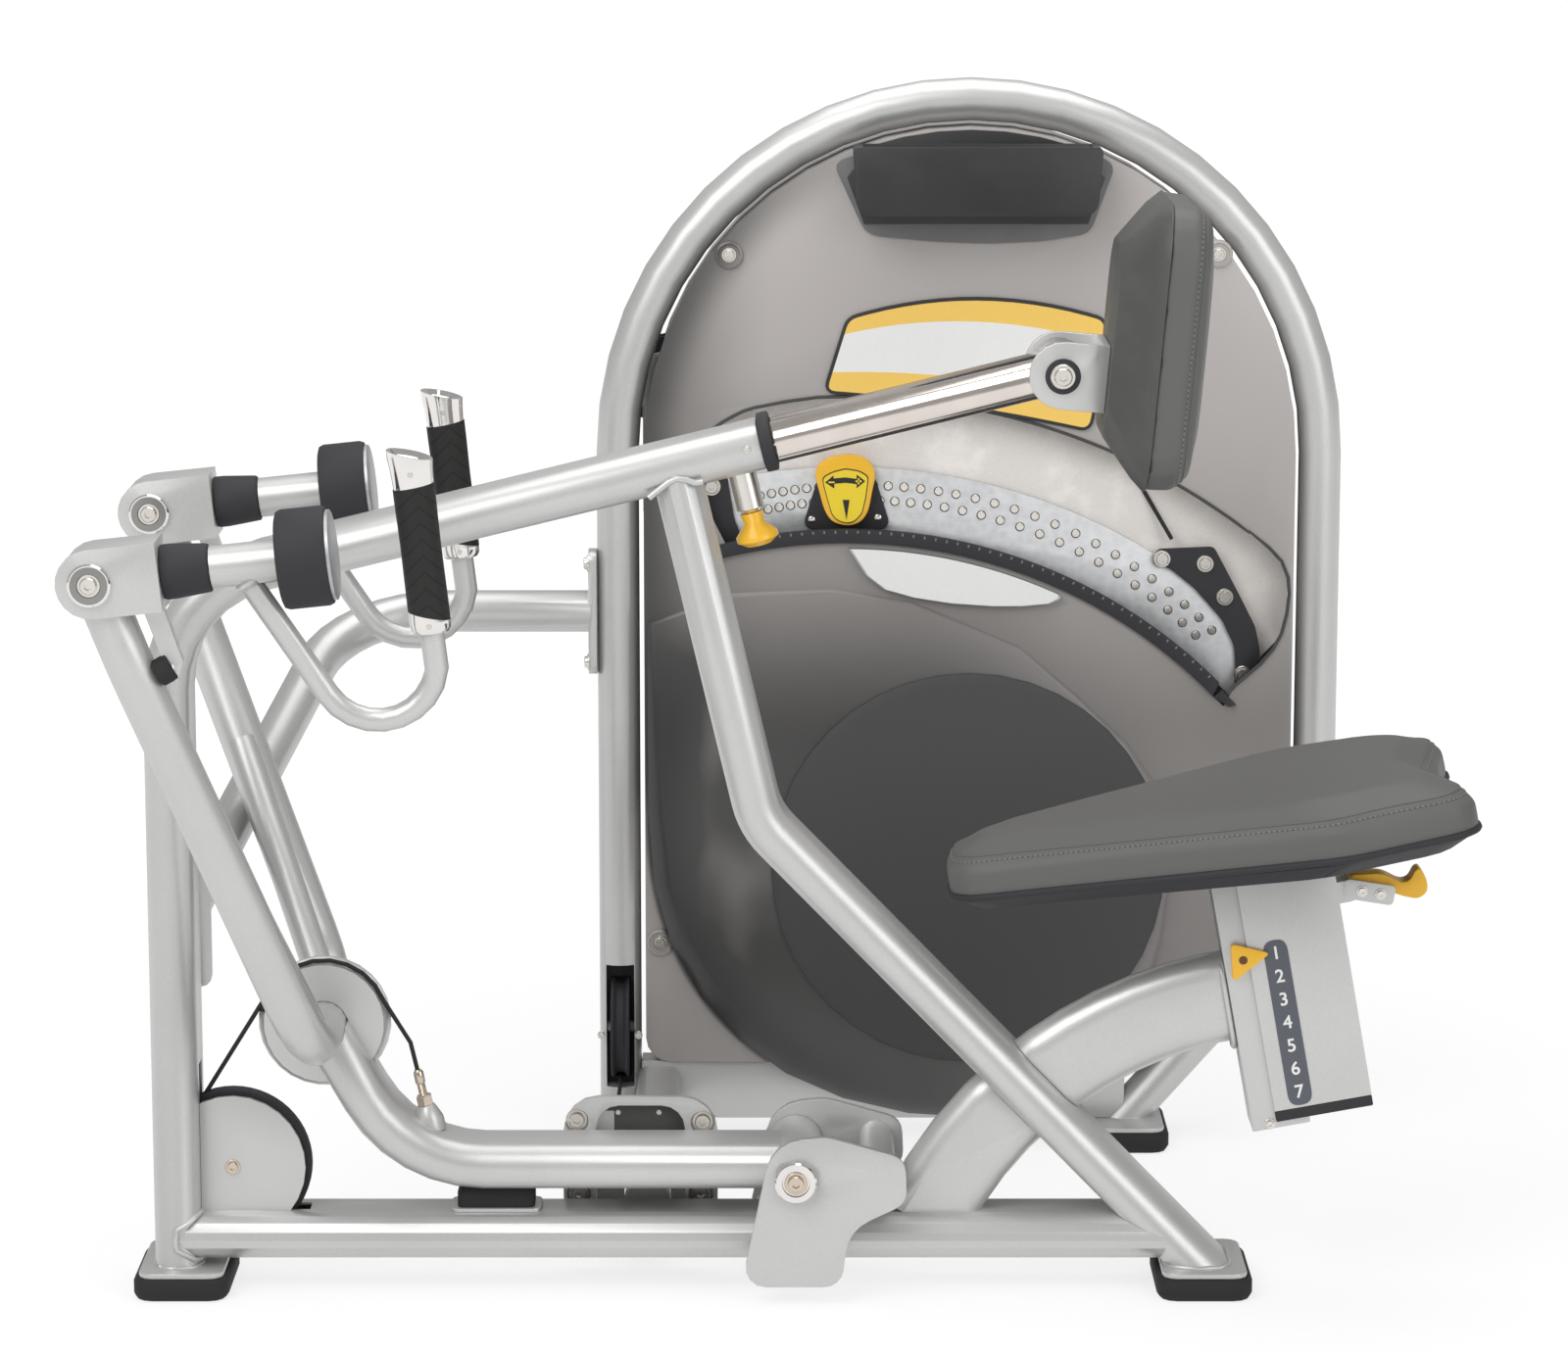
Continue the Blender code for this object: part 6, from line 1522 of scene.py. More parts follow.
    def _grip(self) -> None:
        """Make the chevron grip with its chrome ends."""
        node, body = "grip_" + self.label, "swivel_" + self.label
        foot, head = self.ends(node)
        way = head - foot
        length = way.length
        sleeve = [(0.0214, 0.006), (0.0216, 0.03), (0.0211, length * 0.5), (0.0218, length - 0.052),
                  (0.0219, length - 0.02)]
        grip = Bench.lathe(node + "_look", sleeve, foot, way, 40)
        along, near = way.normalized(), Axis.NEAR.vector
        with Bench.editing(grip):
            for reach, slant in ((0.0175, (-0.175, 0.0, -0.985)), (length - 0.0345, (-0.19, 0.0, 0.98))):
                cut = foot + along * reach
                bpy.ops.mesh.select_all(action="SELECT")
                bpy.ops.mesh.bisect(plane_co=cut, plane_no=slant, use_fill=True, clear_outer=True)
        Bench.heal(grip)
        Bench.smooth(grip, 40.0)
        self.stand_in(grip, node, self.palette.grip)
        cap = [(0.017, length - 0.0465), (0.0204, length - 0.046), (0.0212, length - 0.03),
               (0.022, length - 0.018), (0.0238, length - 0.002), (0.0238, length + 0.006)]
        lower = Bench.lathe("grip_ring_" + self.label, self.ring, foot, way, 40)
        upper = Bench.lathe("grip_cap_" + self.label, cap, foot, way, 40)
        self._scoop(upper, foot + along * (length - 0.001))
        ends = Bench.join("grip_ends_" + self.label, [lower, upper])
        self.fit(ends, self.palette.mirror, body, "chrome")
        screws = [(foot + along * reach + near * out, near, 0.003)
                  for reach, out in ((0.0085, 0.021), (length - 0.02, 0.0216))]
        self.bolts("grip_screws_" + self.label, body, screws)

    @staticmethod
    def _scoop(cap: Piece, place: Vector) -> None:
        """Slice the cap at a slant and sink a shallow dish into the cut.

        Args:
            cap: The cap.
            place: A point on the cut.
        """
        slant = Vector((0.19, -0.04, 0.98)).normalized()
        with Bench.editing(cap):
            bpy.ops.mesh.bisect(plane_co=place, plane_no=slant, use_fill=True, clear_outer=True)
            bpy.ops.mesh.inset(thickness=0.003)
            bpy.ops.mesh.extrude_region_move(TRANSFORM_OT_translate={"value": tuple(slant * -0.005)})
            bpy.ops.transform.resize(value=(0.8, 0.8, 0.8))
        Bench.heal(cap)
        Bench.smooth(cap, 40.0)


@dataclass
class ChestSupport(Assembly):
    """Telescoping tube, collar, pop pin, bracket and the chest pad."""

    centre: Point2 = (0.419, 1.049)
    lean: float = math.radians(5.0)
    thick: float = 0.046
    pivot: Point2 = (0.2965, 1.0185)
    seam: float = 0.037
    cheek: float = 0.0604
    washer: Outline = ((0.019, -0.001), (0.019, 0.0016), (0.0175, 0.0022), (0.004, 0.0022))
    collar_screw: Point3 = (-0.0397, -0.0505, 0.9391)

    def build(self) -> None:
        """Dress the chest support."""
        palette = self.palette
        self.dress("chest_tube", palette.chrome, 0.001)
        self.dress("beam_collar", palette.black, 0.0015)
        self.dress("pop_pin_barrel", palette.bright)
        self.dress("pop_pin_knob", palette.amber)
        self.dress("pad_bracket", palette.silver, 0.002)
        self.dress("pad_shell", palette.shell, 0.004)
        out = Vector((math.cos(self.lean), 0.0, -math.sin(self.lean)))
        base = self.layout.at(self.centre[0], MIDDLE, self.centre[1]) - out * (self.thick / 2)
        pad = Pad(*self.kit, "chest_pad", base, out)
        cover = pad.build()
        pad.stitch(cover, self.seam)
        pad.finish(cover, 0.85)
        self._bolts()

    def _bolts(self) -> None:
        """Set the tilt bolts and their dark washers, and the small screw by the collar."""
        at, palette, (x, z) = self.layout.at, self.palette, self.pivot
        sides = ((-self.cheek, Axis.NEAR.vector), (self.cheek, Axis.FAR.vector))
        washers = [Bench.lathe("tilt_washer", self.washer, at(x, y, z), way, 32) for y, way in sides]
        self.fit(Bench.join("tilt_washers", washers), palette.black, "chest_tilt", "black_plastic")
        bolts = [(at(x, y + way.y * 0.002, z), way, 0.0135) for y, way in sides]
        self.bolts("tilt_bolts", "chest_tilt", bolts)
        self.bolts("collar_screw", "frame", [(at(*self.collar_screw), Axis.NEAR.vector, 0.0045)])


@dataclass
class Seat(Assembly):
    """Rail, carriage, pan, cushion and release lever."""

    rail_foot: Point2 = (0.5146, 0.1812)
    lean: float = math.radians(10.3)
    deck: float = 0.3166
    strip_middle: Point2 = (0.5499, 0.3063)
    carriage_face: float = -0.037
    pitch: float = 0.02635
    seam: float = 0.047
    lever: Outline = (
        (0.6167, 0.4659), (0.6529, 0.468), (0.6744, 0.4571), (0.6837, 0.4606), (0.6881, 0.4715),
        (0.6945, 0.4741), (0.7025, 0.4593), (0.703, 0.4462), (0.6927, 0.4384), (0.6747, 0.4419),
        (0.6533, 0.4502), (0.617, 0.4528))

    def build(self) -> None:
        """Dress the seat and add its markings."""
        palette = self.palette
        for node in ("seat_rail", "seat_carriage"):
            self.dress(node, palette.silver, 0.0015)
        self.dress("seat_end_cap", palette.black, 0.0015)
        self.dress("seat_pan", palette.black, 0.003)
        outline = Shapes.rounded(self.lever, 0.007, 4)
        lever = Bench.plate("seat_lever_look", outline, 0.026, self.layout.side(0.013), 0.004)
        self.stand_in(lever, "seat_lever", palette.amber)
        base = self.layout.at(self.rail_foot[0], MIDDLE, self.rail_foot[1]) + self.up * self.deck
        pad = Pad(*self.kit, "seat_cushion", base, self.up)
        cover = pad.build()
        pad.stitch(cover, self.seam)
        rim = Bench.wires("pan_rim", [pad.contour(cover, 0.004)], 0.0042, True)
        pad.finish(cover, 0.85)
        self.fit(rim, palette.black, self.body_of("seat_pan"), "black_plastic")
        self._strip()
        self._pointer()
        at = self.layout.at
        slope = math.radians(-9.0)
        along = Vector((math.cos(slope), 0.0, math.sin(slope)))
        across = Vector((-math.sin(slope), 0.0, math.cos(slope)))
        plate = Bench.plate("lever_plate", Shapes.panel(0.056, 0.022, 0.006), 0.004,
                            Layout.lie(at(0.638, -0.0172, 0.4485), along, across), 0.0008)
        self.fit(plate, palette.silver, "seat_slide", "silver_paint")
        seats = [(at(x, -0.0212, z), Axis.NEAR.vector, 0.0065)
                 for x, z in ((0.6301, 0.4495), (0.6504, 0.4462))]
        self.bolts("lever_bolts", "seat_slide", seats)

    @property
    def up(self) -> Vector:
        """The direction along the rail."""
        return Vector((-math.sin(self.lean), 0.0, math.cos(self.lean)))

    @property
    def out(self) -> Vector:
        """The direction square to the rail."""
        return Vector((math.cos(self.lean), 0.0, math.sin(self.lean)))

    def _strip(self) -> None:
        """Put the numbered strip on the carriage."""
        x, z = self.strip_middle
        middle = self.layout.at(x, self.carriage_face, z)
        place = Layout.lie(middle, self.out, self.up)
        strip = Bench.plate("number_strip", Shapes.panel(0.0266, 0.188, 0.0133), 0.0005, place)
        self.fit(strip, self.palette.slate, "seat_slide", "black_plastic")
        digits = [self._digit(i, Layout.lie(middle + self.up * (self.pitch * (3 - i)), self.out, self.up))
                  for i in range(7)]
        self.fit(Bench.join("strip_digits", digits), self.palette.white, "seat_slide", "black_plastic")

    @staticmethod
    def _digit(index: int, place: Placer) -> Piece:
        """Set one digit.

        Args:
            index: How many digits stand above it.
            place: Puts it on the strip.

        Returns:
            The digit as a mesh.
        """
        Bench.clear()
        bpy.ops.object.text_add(location=ORIGIN)
        text = bpy.context.object
        text.data.body = str(index + 1)
        text.data.size = 0.0205
        text.data.offset = 0.0003
        text.data.align_x = "CENTER"
        text.data.align_y = "CENTER"
        text.data.extrude = 0.00025
        bpy.ops.object.convert(target="MESH")
        digit = Bench.named(f"digit_{index}")
        for vertex in digit.data.vertices:
            vertex.co = place(vertex.co.x, vertex.co.y, vertex.co.z + 0.0007)
        Bench.heal(digit)
        return digit

    def _pointer(self) -> None:
        """Put the height pointer on the rail, clear of the carriage."""
        at, palette = self.layout.at, self.palette
        place = Layout.lie(at(0.5042, -0.0386, 0.3777), self.out, self.up)
        outline = Shapes.rounded([(-0.019, -0.022), (0.026, 0.003), (-0.015, 0.021)], 0.006)
        pointer = Bench.plate("height_pointer", outline, 0.004, place, 0.001)
        outline = [(-0.019, -0.018), (-0.007, -0.013), (-0.007, 0.014), (-0.015, 0.017)]
        place = Layout.lie(at(0.5042, -0.0316, 0.3777), self.out, self.up)
        foot = Bench.plate("pointer_foot", outline, 0.007, place)
        self.fit(Bench.join("height_pointer", [pointer, foot]), palette.amber, "frame", "amber_plastic")
        hole = Bench.lathe("pointer_screw", [(0.0048, 0.0), (0.0048, 0.0042), (0.003, 0.0048)],
                           at(0.4998, -0.0386, 0.3775), Axis.NEAR.vector, 20)
        self.fit(hole, palette.rust, "frame", "amber_plastic")


@dataclass
class Tower(Assembly):
    """Arch, base, bridge, brace, covers and header."""

    face: float = 0.5717
    fasteners: Outline = ((-0.065, 1.087), (0.514, 1.088), (-0.15, 0.2526))
    nose: Outline = (
        (0.556, 0.756), (0.579, 0.737), (0.595, 0.72), (0.603, 0.7), (0.6045, 0.68), (0.602, 0.656),
        (0.596, 0.632), (0.586, 0.613), (0.5714, 0.5952), (0.554, 0.58), (0.5366, 0.5653))
    liner_face: float = 0.6095
    heel: Outline = (
        (-0.0839, 0.8795), (-0.0745, 0.8869), (-0.0614, 0.8943), (-0.0482, 0.9008), (-0.0352, 0.905),
        (0.0, 0.9118))
    flange: Outline = ((-0.231, 0.171), (-0.0905, 0.169), (-0.229, 0.0863), (-0.093, 0.0863))
    skirt: Outline = (
        (0.0584, 1.1945), (0.0939, 1.1168), (0.1081, 1.1097), (0.1755, 1.1033), (0.2428, 1.1008),
        (0.3065, 1.1037), (0.356, 1.1115), (0.3648, 1.1203), (0.3905, 1.1928), (0.37, 1.205), (0.08, 1.205))

    def build(self) -> None:
        """Dress the tower and add its panels and fasteners."""
        palette = self.palette
        for node in ("tower_arch", "tower_base", "tower_brace", "pulley_carrier"):
            self.dress(node, palette.silver, 0.001)
        for node in ("tower_foot_left", "tower_foot_right"):
            self.dress(node, palette.rubber, 0.0015)
        self.dress("rear_cover", palette.rear, 0.0015)
        self._liner()
        self.dress("disc_cover", palette.dark, 0.002)
        self._shroud()
        self._header()
        self._bridge()
        self._window_lip()
        self._placard()
        self._lens_plate()
        self._shroud_screws()
        self._bridge_mouth()

    def _carve(self, node: str, finish: Finish, edge: float, tools: Sequence[Piece]) -> None:
        """Dress a CAD node after cutting tools out of it.

        Args:
            node: The CAD node.
            finish: Its finish.
            edge: The rounding of its sharp edges.
            tools: What is cut out; removed afterwards.
        """
        piece = self.lift(node)
        for tool in tools:
            Bench.apply(piece, "BOOLEAN", operation="DIFFERENCE", object=tool, solver="EXACT")
            bpy.data.objects.remove(tool)
        Bench.heal(piece, 1e-5)
        Bench.ease(piece, edge)
        Bench.smooth(piece)
        self.stand_in(piece, node, finish)

    def _shroud(self) -> None:
        """Round the window's nose."""
        outline = list(self.nose) + [(0.5289, 0.556), (0.5, 0.65), (0.544, 0.756)]
        tool = Bench.plate("nose_tool", outline, 0.06, self.layout.side(self.face + 0.03))
        self._carve("front_shroud", self.palette.shroud, 0.0025, [tool])

    def _header(self) -> None:
        """End the header's box above a pale skirt, its lighter grey partly painted light."""
        palette, side = self.palette, self.layout.side
        box = Bench.plate("header_tool", Shapes.box(0.0, 1.05, 0.45, 1.124), 0.2, side(0.5667))
        self._carve("header_housing", palette.header, 0.003, [box])
        outline = Shapes.rounded(self.skirt, 0.012, 4)
        # The skirt's pale grey is partly painted light.
        skirt = Bench.plate("header_skirt", outline, 0.0055, side(self.face), 0.0015)
        self.fit(skirt, palette.skirt, "frame", "black_plastic")

    def _bridge(self) -> None:
        """Sink the flange's bolts into pockets, clear of the arm."""
        at, near = self.layout.at, Axis.NEAR.vector
        pockets = [Bench.lathe("pocket", [(0.0135, 0.0), (0.0135, 0.02)], at(x, 0.0595, z), near, 32)
                   for x, z in self.flange]
        self._carve("tower_bridge", self.palette.silver, 0.001, pockets)
        self.bolts("flange_bolts", "frame", [(at(x, 0.0592, z), near, 0.0122) for x, z in self.flange])

    def _window_lip(self) -> None:
        """Line the window's lower edge with a black lip that ends in a point."""
        palette, side = self.palette, self.layout.side
        outline = Shapes.bow(ARC_CENTRE, 0.63, -16.5, 45.2, 40)
        outline += Shapes.bow(ARC_CENTRE, 0.6135, 45.8, -16.5, 40)
        piece = Bench.plate("window_lip", outline, 0.01, side(self.face + 0.004), 0.0015)
        self.fit(piece, palette.black, "frame", "black_plastic")
        corners = [(0.526, 0.5635), (0.515, 0.5562), (0.5345, 0.5435), (0.543, 0.546)]
        tip = Bench.plate("lip_tip", corners, 0.009, side(self.face + 0.004), 0.0012)
        self.fit(tip, palette.header, "frame", "black_plastic")
        self._scale()
        self._window_corner()
        self._window_bead()

    def _scale(self) -> None:
        """Mark the lip's upper edge with fine ticks, one tick copied to each place."""
        place = self.layout.side(self.face - 0.0061)
        model = Bench.plate("tick", Shapes.panel(0.002, 0.0034, 0.0004), 0.0004, place)
        centre = self.layout.at(ARC_CENTRE[0], 0.0, ARC_CENTRE[1])
        raised = Matrix.Translation(Vector((ARC_CENTRE[0], 0.0, ARC_CENTRE[1] + 0.6272)))
        ticks = []
        for i in range(46):
            turn = Matrix.Translation(centre) @ Matrix.Rotation(math.radians(-11.0 + 1.22 * i), 4, "Y")
            ticks.append(Bench.copy(model, f"tick_{i}", turn @ Matrix.Translation(-centre) @ raised))
        bpy.data.objects.remove(model)
        self.fit(Bench.join("window_scale", ticks), self.palette.thread, "frame", "black_plastic")

    def _window_bead(self) -> None:
        """Run a dark rim along the window's upper edge and round its nose."""
        crown = self._crown()
        points = [self.layout.at(x, self.face - 0.0005, z) for x, z in crown]
        bead = Bench.wires("window_rim", [points], 0.002)
        self.fit(bead, self.palette.dark, "frame", "dark_shroud")

    def _crown(self) -> list[Point2]:
        """Return the window's upper edge and nose."""
        return list(self.heel) + Shapes.bow(ARC_CENTRE, 0.789, -2.6, 37.5, 36) + list(self.nose)

    def _liner(self) -> None:
        """Close the window with a pale liner behind the weight arm."""
        outline = Shapes.bow(ARC_CENTRE, 0.805, -15.5, 33.0, 30)
        outline += [(0.59, 0.756), (0.606, 0.7), (0.606, 0.63)]
        outline += Shapes.bow(ARC_CENTRE, 0.655, 47.0, -15.5, 30)
        piece = Bench.plate("window_liner", outline, 0.002, self.layout.side(self.liner_face + 0.002))
        self.fit(piece, self.palette.inner, "frame", "grey_shroud")

    def _window_corner(self) -> None:
        """Round the window's upper left corner."""
        outline = list(self.heel) + Shapes.bow(ARC_CENTRE, 0.7915, -2.6, -11.6, 10) + [(-0.09, 0.8795)]
        piece = Bench.plate("window_corner", outline, 0.003, self.layout.side(self.face + 0.0035))
        self.fit(piece, self.palette.shroud, "frame", "grey_shroud")

    def _placard(self) -> None:
        """Mount the plain placard: a dark rim, a white middle and amber bands above and below."""
        palette, side = self.palette, self.layout.side
        outline = Shapes.grow(self._band(0.0, 1.0), 0.0042)
        rim = Bench.plate("placard_rim", outline, 0.004, side(self.face), 0.0012)
        self.fit(rim, palette.header, "frame", "black_plastic")
        for name, low, high, finish, slot in (("placard_head", 0.8, 1.0, palette.orange, "amber_plastic"),
                                              ("placard_middle", 0.26, 0.8, palette.white, "grey_shroud"),
                                              ("placard_foot", 0.0, 0.26, palette.orange, "amber_plastic")):
            panel = Bench.plate(name, self._band(low, high), 0.0008, side(self.face - 0.0038))
            self.fit(panel, finish, "frame", slot)

    @staticmethod
    def _band(low: float, high: float, turn: float = 0.11, steps: int = 14) -> list[Point2]:
        """Return the part of the placard between two shares of its height, with its corners rounded.

        Args:
            low: The lower share.
            high: The upper share.
            turn: The corners' share of the height.
            steps: How many points an edge has.

        Returns:
            The outline.
        """
        feet = Vector((0.051, 0.926)), Vector((0.363, 0.88))
        heads = Vector((0.077, 1.01)), Vector((0.381, 1.008))

        def spot(along: float, share: float) -> Vector:
            """Return a place on the placard."""
            point = feet[0].lerp(heads[0], share).lerp(feet[1].lerp(heads[1], share), along)
            return point + Vector((0.0, 4 * along * (1 - along) * (0.006 + 0.018 * share)))

        def corner(end: float, share: float, inward: float) -> list[Point2]:
            """Return a rounded corner."""
            side, tip, edge = spot(end, share + inward), spot(end, share), spot(abs(end - turn * 0.3), share)
            return [tuple(side.lerp(tip, t).lerp(tip.lerp(edge, t), t)) for t in (0.0, 0.25, 0.5, 0.75, 1.0)]

        def edge(share: float, inward: float) -> list[Point2]:
            """Return an upper or lower edge."""
            if share not in (0.0, 1.0):
                return [tuple(spot(i / steps, share)) for i in range(steps + 1)]
            middle = [tuple(spot(i / steps, share)) for i in range(1, steps)]
            return corner(0.0, share, inward) + middle + corner(1.0, share, inward)[::-1]

        return edge(low, turn) + edge(high, -turn)[::-1]

    def _lens_plate(self) -> None:
        """Mount the bare white plate under the weight arm's window."""
        palette, side = self.palette, self.layout.side
        outline = Shapes.bow(ARC_CENTRE, 0.6075, 0.2, 24.8, 16)
        outline += [(0.331, 0.676), (0.318, 0.6695), (0.285, 0.6665), (0.25, 0.6665), (0.2, 0.67),
                    (0.155, 0.677), (0.12, 0.687), (0.098, 0.704)]
        rim = Bench.plate("lens_rim", outline, 0.009, side(self.face), 0.001)
        self.fit(rim, palette.steel, "frame", "steel_plate")
        plate = Bench.plate("lens_plate", Shapes.shrink(outline, 0.975), 0.0007, side(self.face - 0.0088))
        self.fit(plate, palette.white, "frame", "grey_shroud")

    def _shroud_screws(self) -> None:
        """Screw the shroud to its tabs."""
        at, near = self.layout.at, Axis.NEAR.vector
        profile = [(0.017, -0.001), (0.016, 0.003), (0.0135, 0.0042), (0.012, 0.0022), (0.003, 0.002)]
        tabs = [Bench.lathe("shroud_tab", profile, at(x, self.face, z), near, 32) for x, z in self.fasteners]
        self.fit(Bench.join("shroud_tabs", tabs), self.palette.shroud, "frame", "grey_shroud")
        screws = [(at(x, self.face - 0.002, z), near, 0.009) for x, z in self.fasteners]
        self.bolts("shroud_screws", "frame", screws)

    def _bridge_mouth(self) -> None:
        """Close the flange's port with a dark panel of painted shade and two screws, and line it beside the
        tube.
        """
        palette = self.palette
        place = Layout.lie(self.layout.at(0.0, 0.0645, 0.0), Axis.RIGHT.vector, Axis.UP.vector)
        outline = Shapes.rounded(Shapes.box(-0.2095, 0.0965, -0.1105, 0.189), 0.026)
        # Painted shade: a dark panel at the back of the port, for the shaded inside.
        port_shade = Bench.plate("bridge_mouth", outline, 0.0015, place)
        self.fit(port_shade, palette.shell, "frame", "black_plastic")
        infills = [Bench.plate("lining", Shapes.box(*panel), 0.002, place) for panel in (
            (-0.2095, 0.096, -0.1895, 0.18), (-0.2095, 0.074, -0.1782, 0.0958),
            (-0.1268, 0.056, -0.1105, 0.0958))]
        inside = Layout.lie(self.layout.at(-0.1525, 0.057, 0.0705), Axis.RIGHT.vector, Axis.UP.vector)
        infills.append(Bench.plate("tube_plug", Shapes.panel(0.0444, 0.0444, 0.008), 0.0015, inside))
        self.fit(Bench.join("bridge_linings", infills), palette.silver, "frame", "silver_paint")
        self.bolts("port_screws", "frame", [(self.layout.at(x, 0.063, 0.178), Axis.NEAR.vector, 0.003)
                                            for x in (-0.185, -0.1395)])


@dataclass
class WeightSystem(Assembly):
    """Quadrant, selector, trigger and weight disc."""

    quadrant_face: float = 0.5985
    dot_radius: float = 0.0049
    rows: tuple[float, float] = (0.6808, 0.6628)
    crest: float = 12.0
    droop: float = 1.5e-5
    angles: tuple[float, ...] = (
        -10.0, -8.85, -7.66, -6.47, -5.26, -4.06, -2.8, -1.5, -0.1, 1.3, 2.7, 4.2, 5.8, 7.5, 9.3, 11.1, 13.1,
        15.1, 17.2, 19.4, 21.6, 23.9, 26.2, 28.5, 30.8, 33.0, 35.2, 37.3, 39.3, 41.2)
    bracket: Outline = (
        (0.4476, 0.7312), (0.5158, 0.734), (0.5472, 0.6753), (0.5667, 0.6371), (0.573, 0.6084),
        (0.5715, 0.58), (0.5607, 0.568), (0.543, 0.5664), (0.5439, 0.5868), (0.5423, 0.612), (0.5265, 0.6454),
        (0.4929, 0.6836), (0.462, 0.7086), (0.442, 0.713))
    heel: Outline = (
        (-0.1137, 0.8202), (-0.068, 0.8202), (-0.0599, 0.768), (-0.0493, 0.7419), (-0.0564, 0.7372),
        (-0.0764, 0.7324), (-0.0987, 0.7301), (-0.1139, 0.7562))
    bracket_spots: Outline = ((0.4535, 0.7197), (0.5053, 0.7137), (0.5294, 0.6732), (0.5521, 0.5788))
    trigger_face: float = 0.5785
    trigger: Outline = (
        (0.0377, 0.8285), (0.0373, 0.8204), (0.0397, 0.8109), (0.0478, 0.7797), (0.0572, 0.7655),
        (0.0761, 0.7607), (0.0922, 0.7655), (0.1016, 0.7797), (0.1062, 0.8069), (0.1095, 0.8204),
        (0.1079, 0.8299), (0.1014, 0.84), (0.0906, 0.8459), (0.0732, 0.8477), (0.0544, 0.8441),
        (0.0424, 0.8367))
    panel: Outline = (
        (0.0451, 0.8204), (0.0571, 0.8272), (0.0732, 0.8315), (0.0907, 0.8285), (0.1014, 0.8218),
        (0.0982, 0.796), (0.0935, 0.7757), (0.0841, 0.7661), (0.0747, 0.7641), (0.064, 0.7675),
        (0.0572, 0.7743), (0.0532, 0.7879), (0.0478, 0.8069))
    arrow: Outline = (
        (0.0491, 0.8143), (0.0592, 0.8228), (0.0592, 0.8191), (0.0733, 0.8204), (0.0867, 0.8186),
        (0.0867, 0.8238), (0.0968, 0.8159), (0.0867, 0.8073), (0.0867, 0.8123), (0.0733, 0.8139),
        (0.0601, 0.8127), (0.0601, 0.8069))

    def build(self) -> None:
        """Dress the weight system and add dots, bolts and markings."""
        palette = self.palette
        self.dress("quadrant", palette.plate, 0.0008)
        self.dress("weight_disc", palette.steel)
        self.dress("selector", palette.black, 0.001)
        trigger = Bench.plate("squeeze_trigger_look", Shapes.rounded(self.trigger, 0.01, 4), 0.0133,
                              self.layout.side(0.5918), 0.0035)
        self.stand_in(trigger, "squeeze_trigger", palette.amber)
        self._dots()
        self._end_bracket()
        self._trigger_marks()

    def _dots(self) -> None:
        """Rivet two rows of dots along the quadrant, one dot and one dark rim of painted shadow copied to
        each place.
        """
        middles = [(here + there) / 2 for here, there in zip(self.angles, self.angles[1:])]
        spots = []
        for turns, peak in zip((self.angles, middles), self.rows):
            for turn in turns:
                radius, way = peak - self.droop * (turn - self.crest) ** 2, math.radians(turn)
                spots.append(self.layout.at(ARC_CENTRE[0] + radius * math.sin(way), self.quadrant_face,
                                            ARC_CENTRE[1] + radius * math.cos(way)))
        near = Axis.NEAR.vector
        for name, profile, finish in (
                ("quadrant_dots", [(1.0, -0.1), (1.0, 0.16), (0.88, 0.26), (0.3, 0.28)], self.palette.bright),
                # The dark rims are painted shadow round each dot.
                ("dot_rims", [(1.18, -0.05), (1.18, 0.03), (1.05, 0.04)], self.palette.dark)):
            model = Bench.lathe("quadrant_dot", profile, ORIGIN, near, 16)
            dots = [Bench.copy(model, f"dot_{i}", Matrix.Translation(spot) @ Matrix.Scale(self.dot_radius, 4))
                    for i, spot in enumerate(spots)]
            bpy.data.objects.remove(model)
            self.fit(Bench.join(name, dots), finish, "weight_arm", "steel_plate")

    def _end_bracket(self) -> None:
        """Cut the black plate at the quadrant's end and bolt it down."""
        at, near = self.layout.at, Axis.NEAR.vector
        piece = Bench.plate("end_bracket_look", Shapes.rounded(self.bracket, 0.006, 4), 0.0058,
                            self.layout.side(0.5982), 0.0008)
        self.stand_in(piece, "end_bracket", self.palette.black)
        seats = [(at(x, 0.5924, z), near, 0.0104) for x, z in self.bracket_spots]
        self.bolts("bracket_bolts", "weight_arm", seats)
        heel = Bench.plate("heel_bracket", Shapes.rounded(self.heel, 0.006, 4), 0.005,
                           self.layout.side(0.5982), 0.0008)
        self.fit(heel, self.palette.black, "weight_arm", "black_plastic")
        self.bolts("heel_bolt", "weight_arm", [(at(-0.0867, 0.5932, 0.8071), near, 0.0112)])

    def _trigger_marks(self) -> None:
        """Print the trigger: a lined lemon panel, a double arrow with minus and plus, and a pointer."""
        palette, side, face = self.palette, self.layout.side, self.trigger_face
        panel = Shapes.rounded(self.panel, 0.005, 4)
        line = Bench.plate("panel_line", panel, 0.0005, side(face + 0.0002))
        arrow = Bench.plate("arrow", self.arrow, 0.0004, side(face - 0.0007))
        outline = [(0.07, 0.7933), (0.0747, 0.7689), (0.0783, 0.7933)]
        pointer = Bench.plate("pointer", outline, 0.0004, side(face - 0.0007))
        self.fit(Bench.join("trigger_marks", [line, arrow, pointer]), palette.ink, "squeeze", "black_plastic")
        film = Bench.plate("trigger_film", Shapes.shrink(panel, 0.955), 0.0005, side(face - 0.0003))
        signs = [Bench.plate("stroke", Shapes.box(x - w, z - h, x + w, z + h), 0.0003, side(face - 0.0011))
                 for x, z, w, h in ((0.0567, 0.8145, 0.0036, 0.0009), (0.089, 0.8157, 0.0036, 0.001),
                                    (0.089, 0.8157, 0.001, 0.0036))]
        self.fit(Bench.join("trigger_film", [film, *signs]), palette.lemon, "squeeze", "amber_plastic")
        rivets = [Bench.lathe("rivet", [(0.0042, -0.001), (0.004, 0.0008), (0.0025, 0.0014)],
                              self.layout.at(x, 0.5927, z), Axis.NEAR.vector, 20)
                  for x, z in ((0.0331, 0.7674), (0.1126, 0.7697))]
        piece = Bench.join("selector_rivets", rivets)
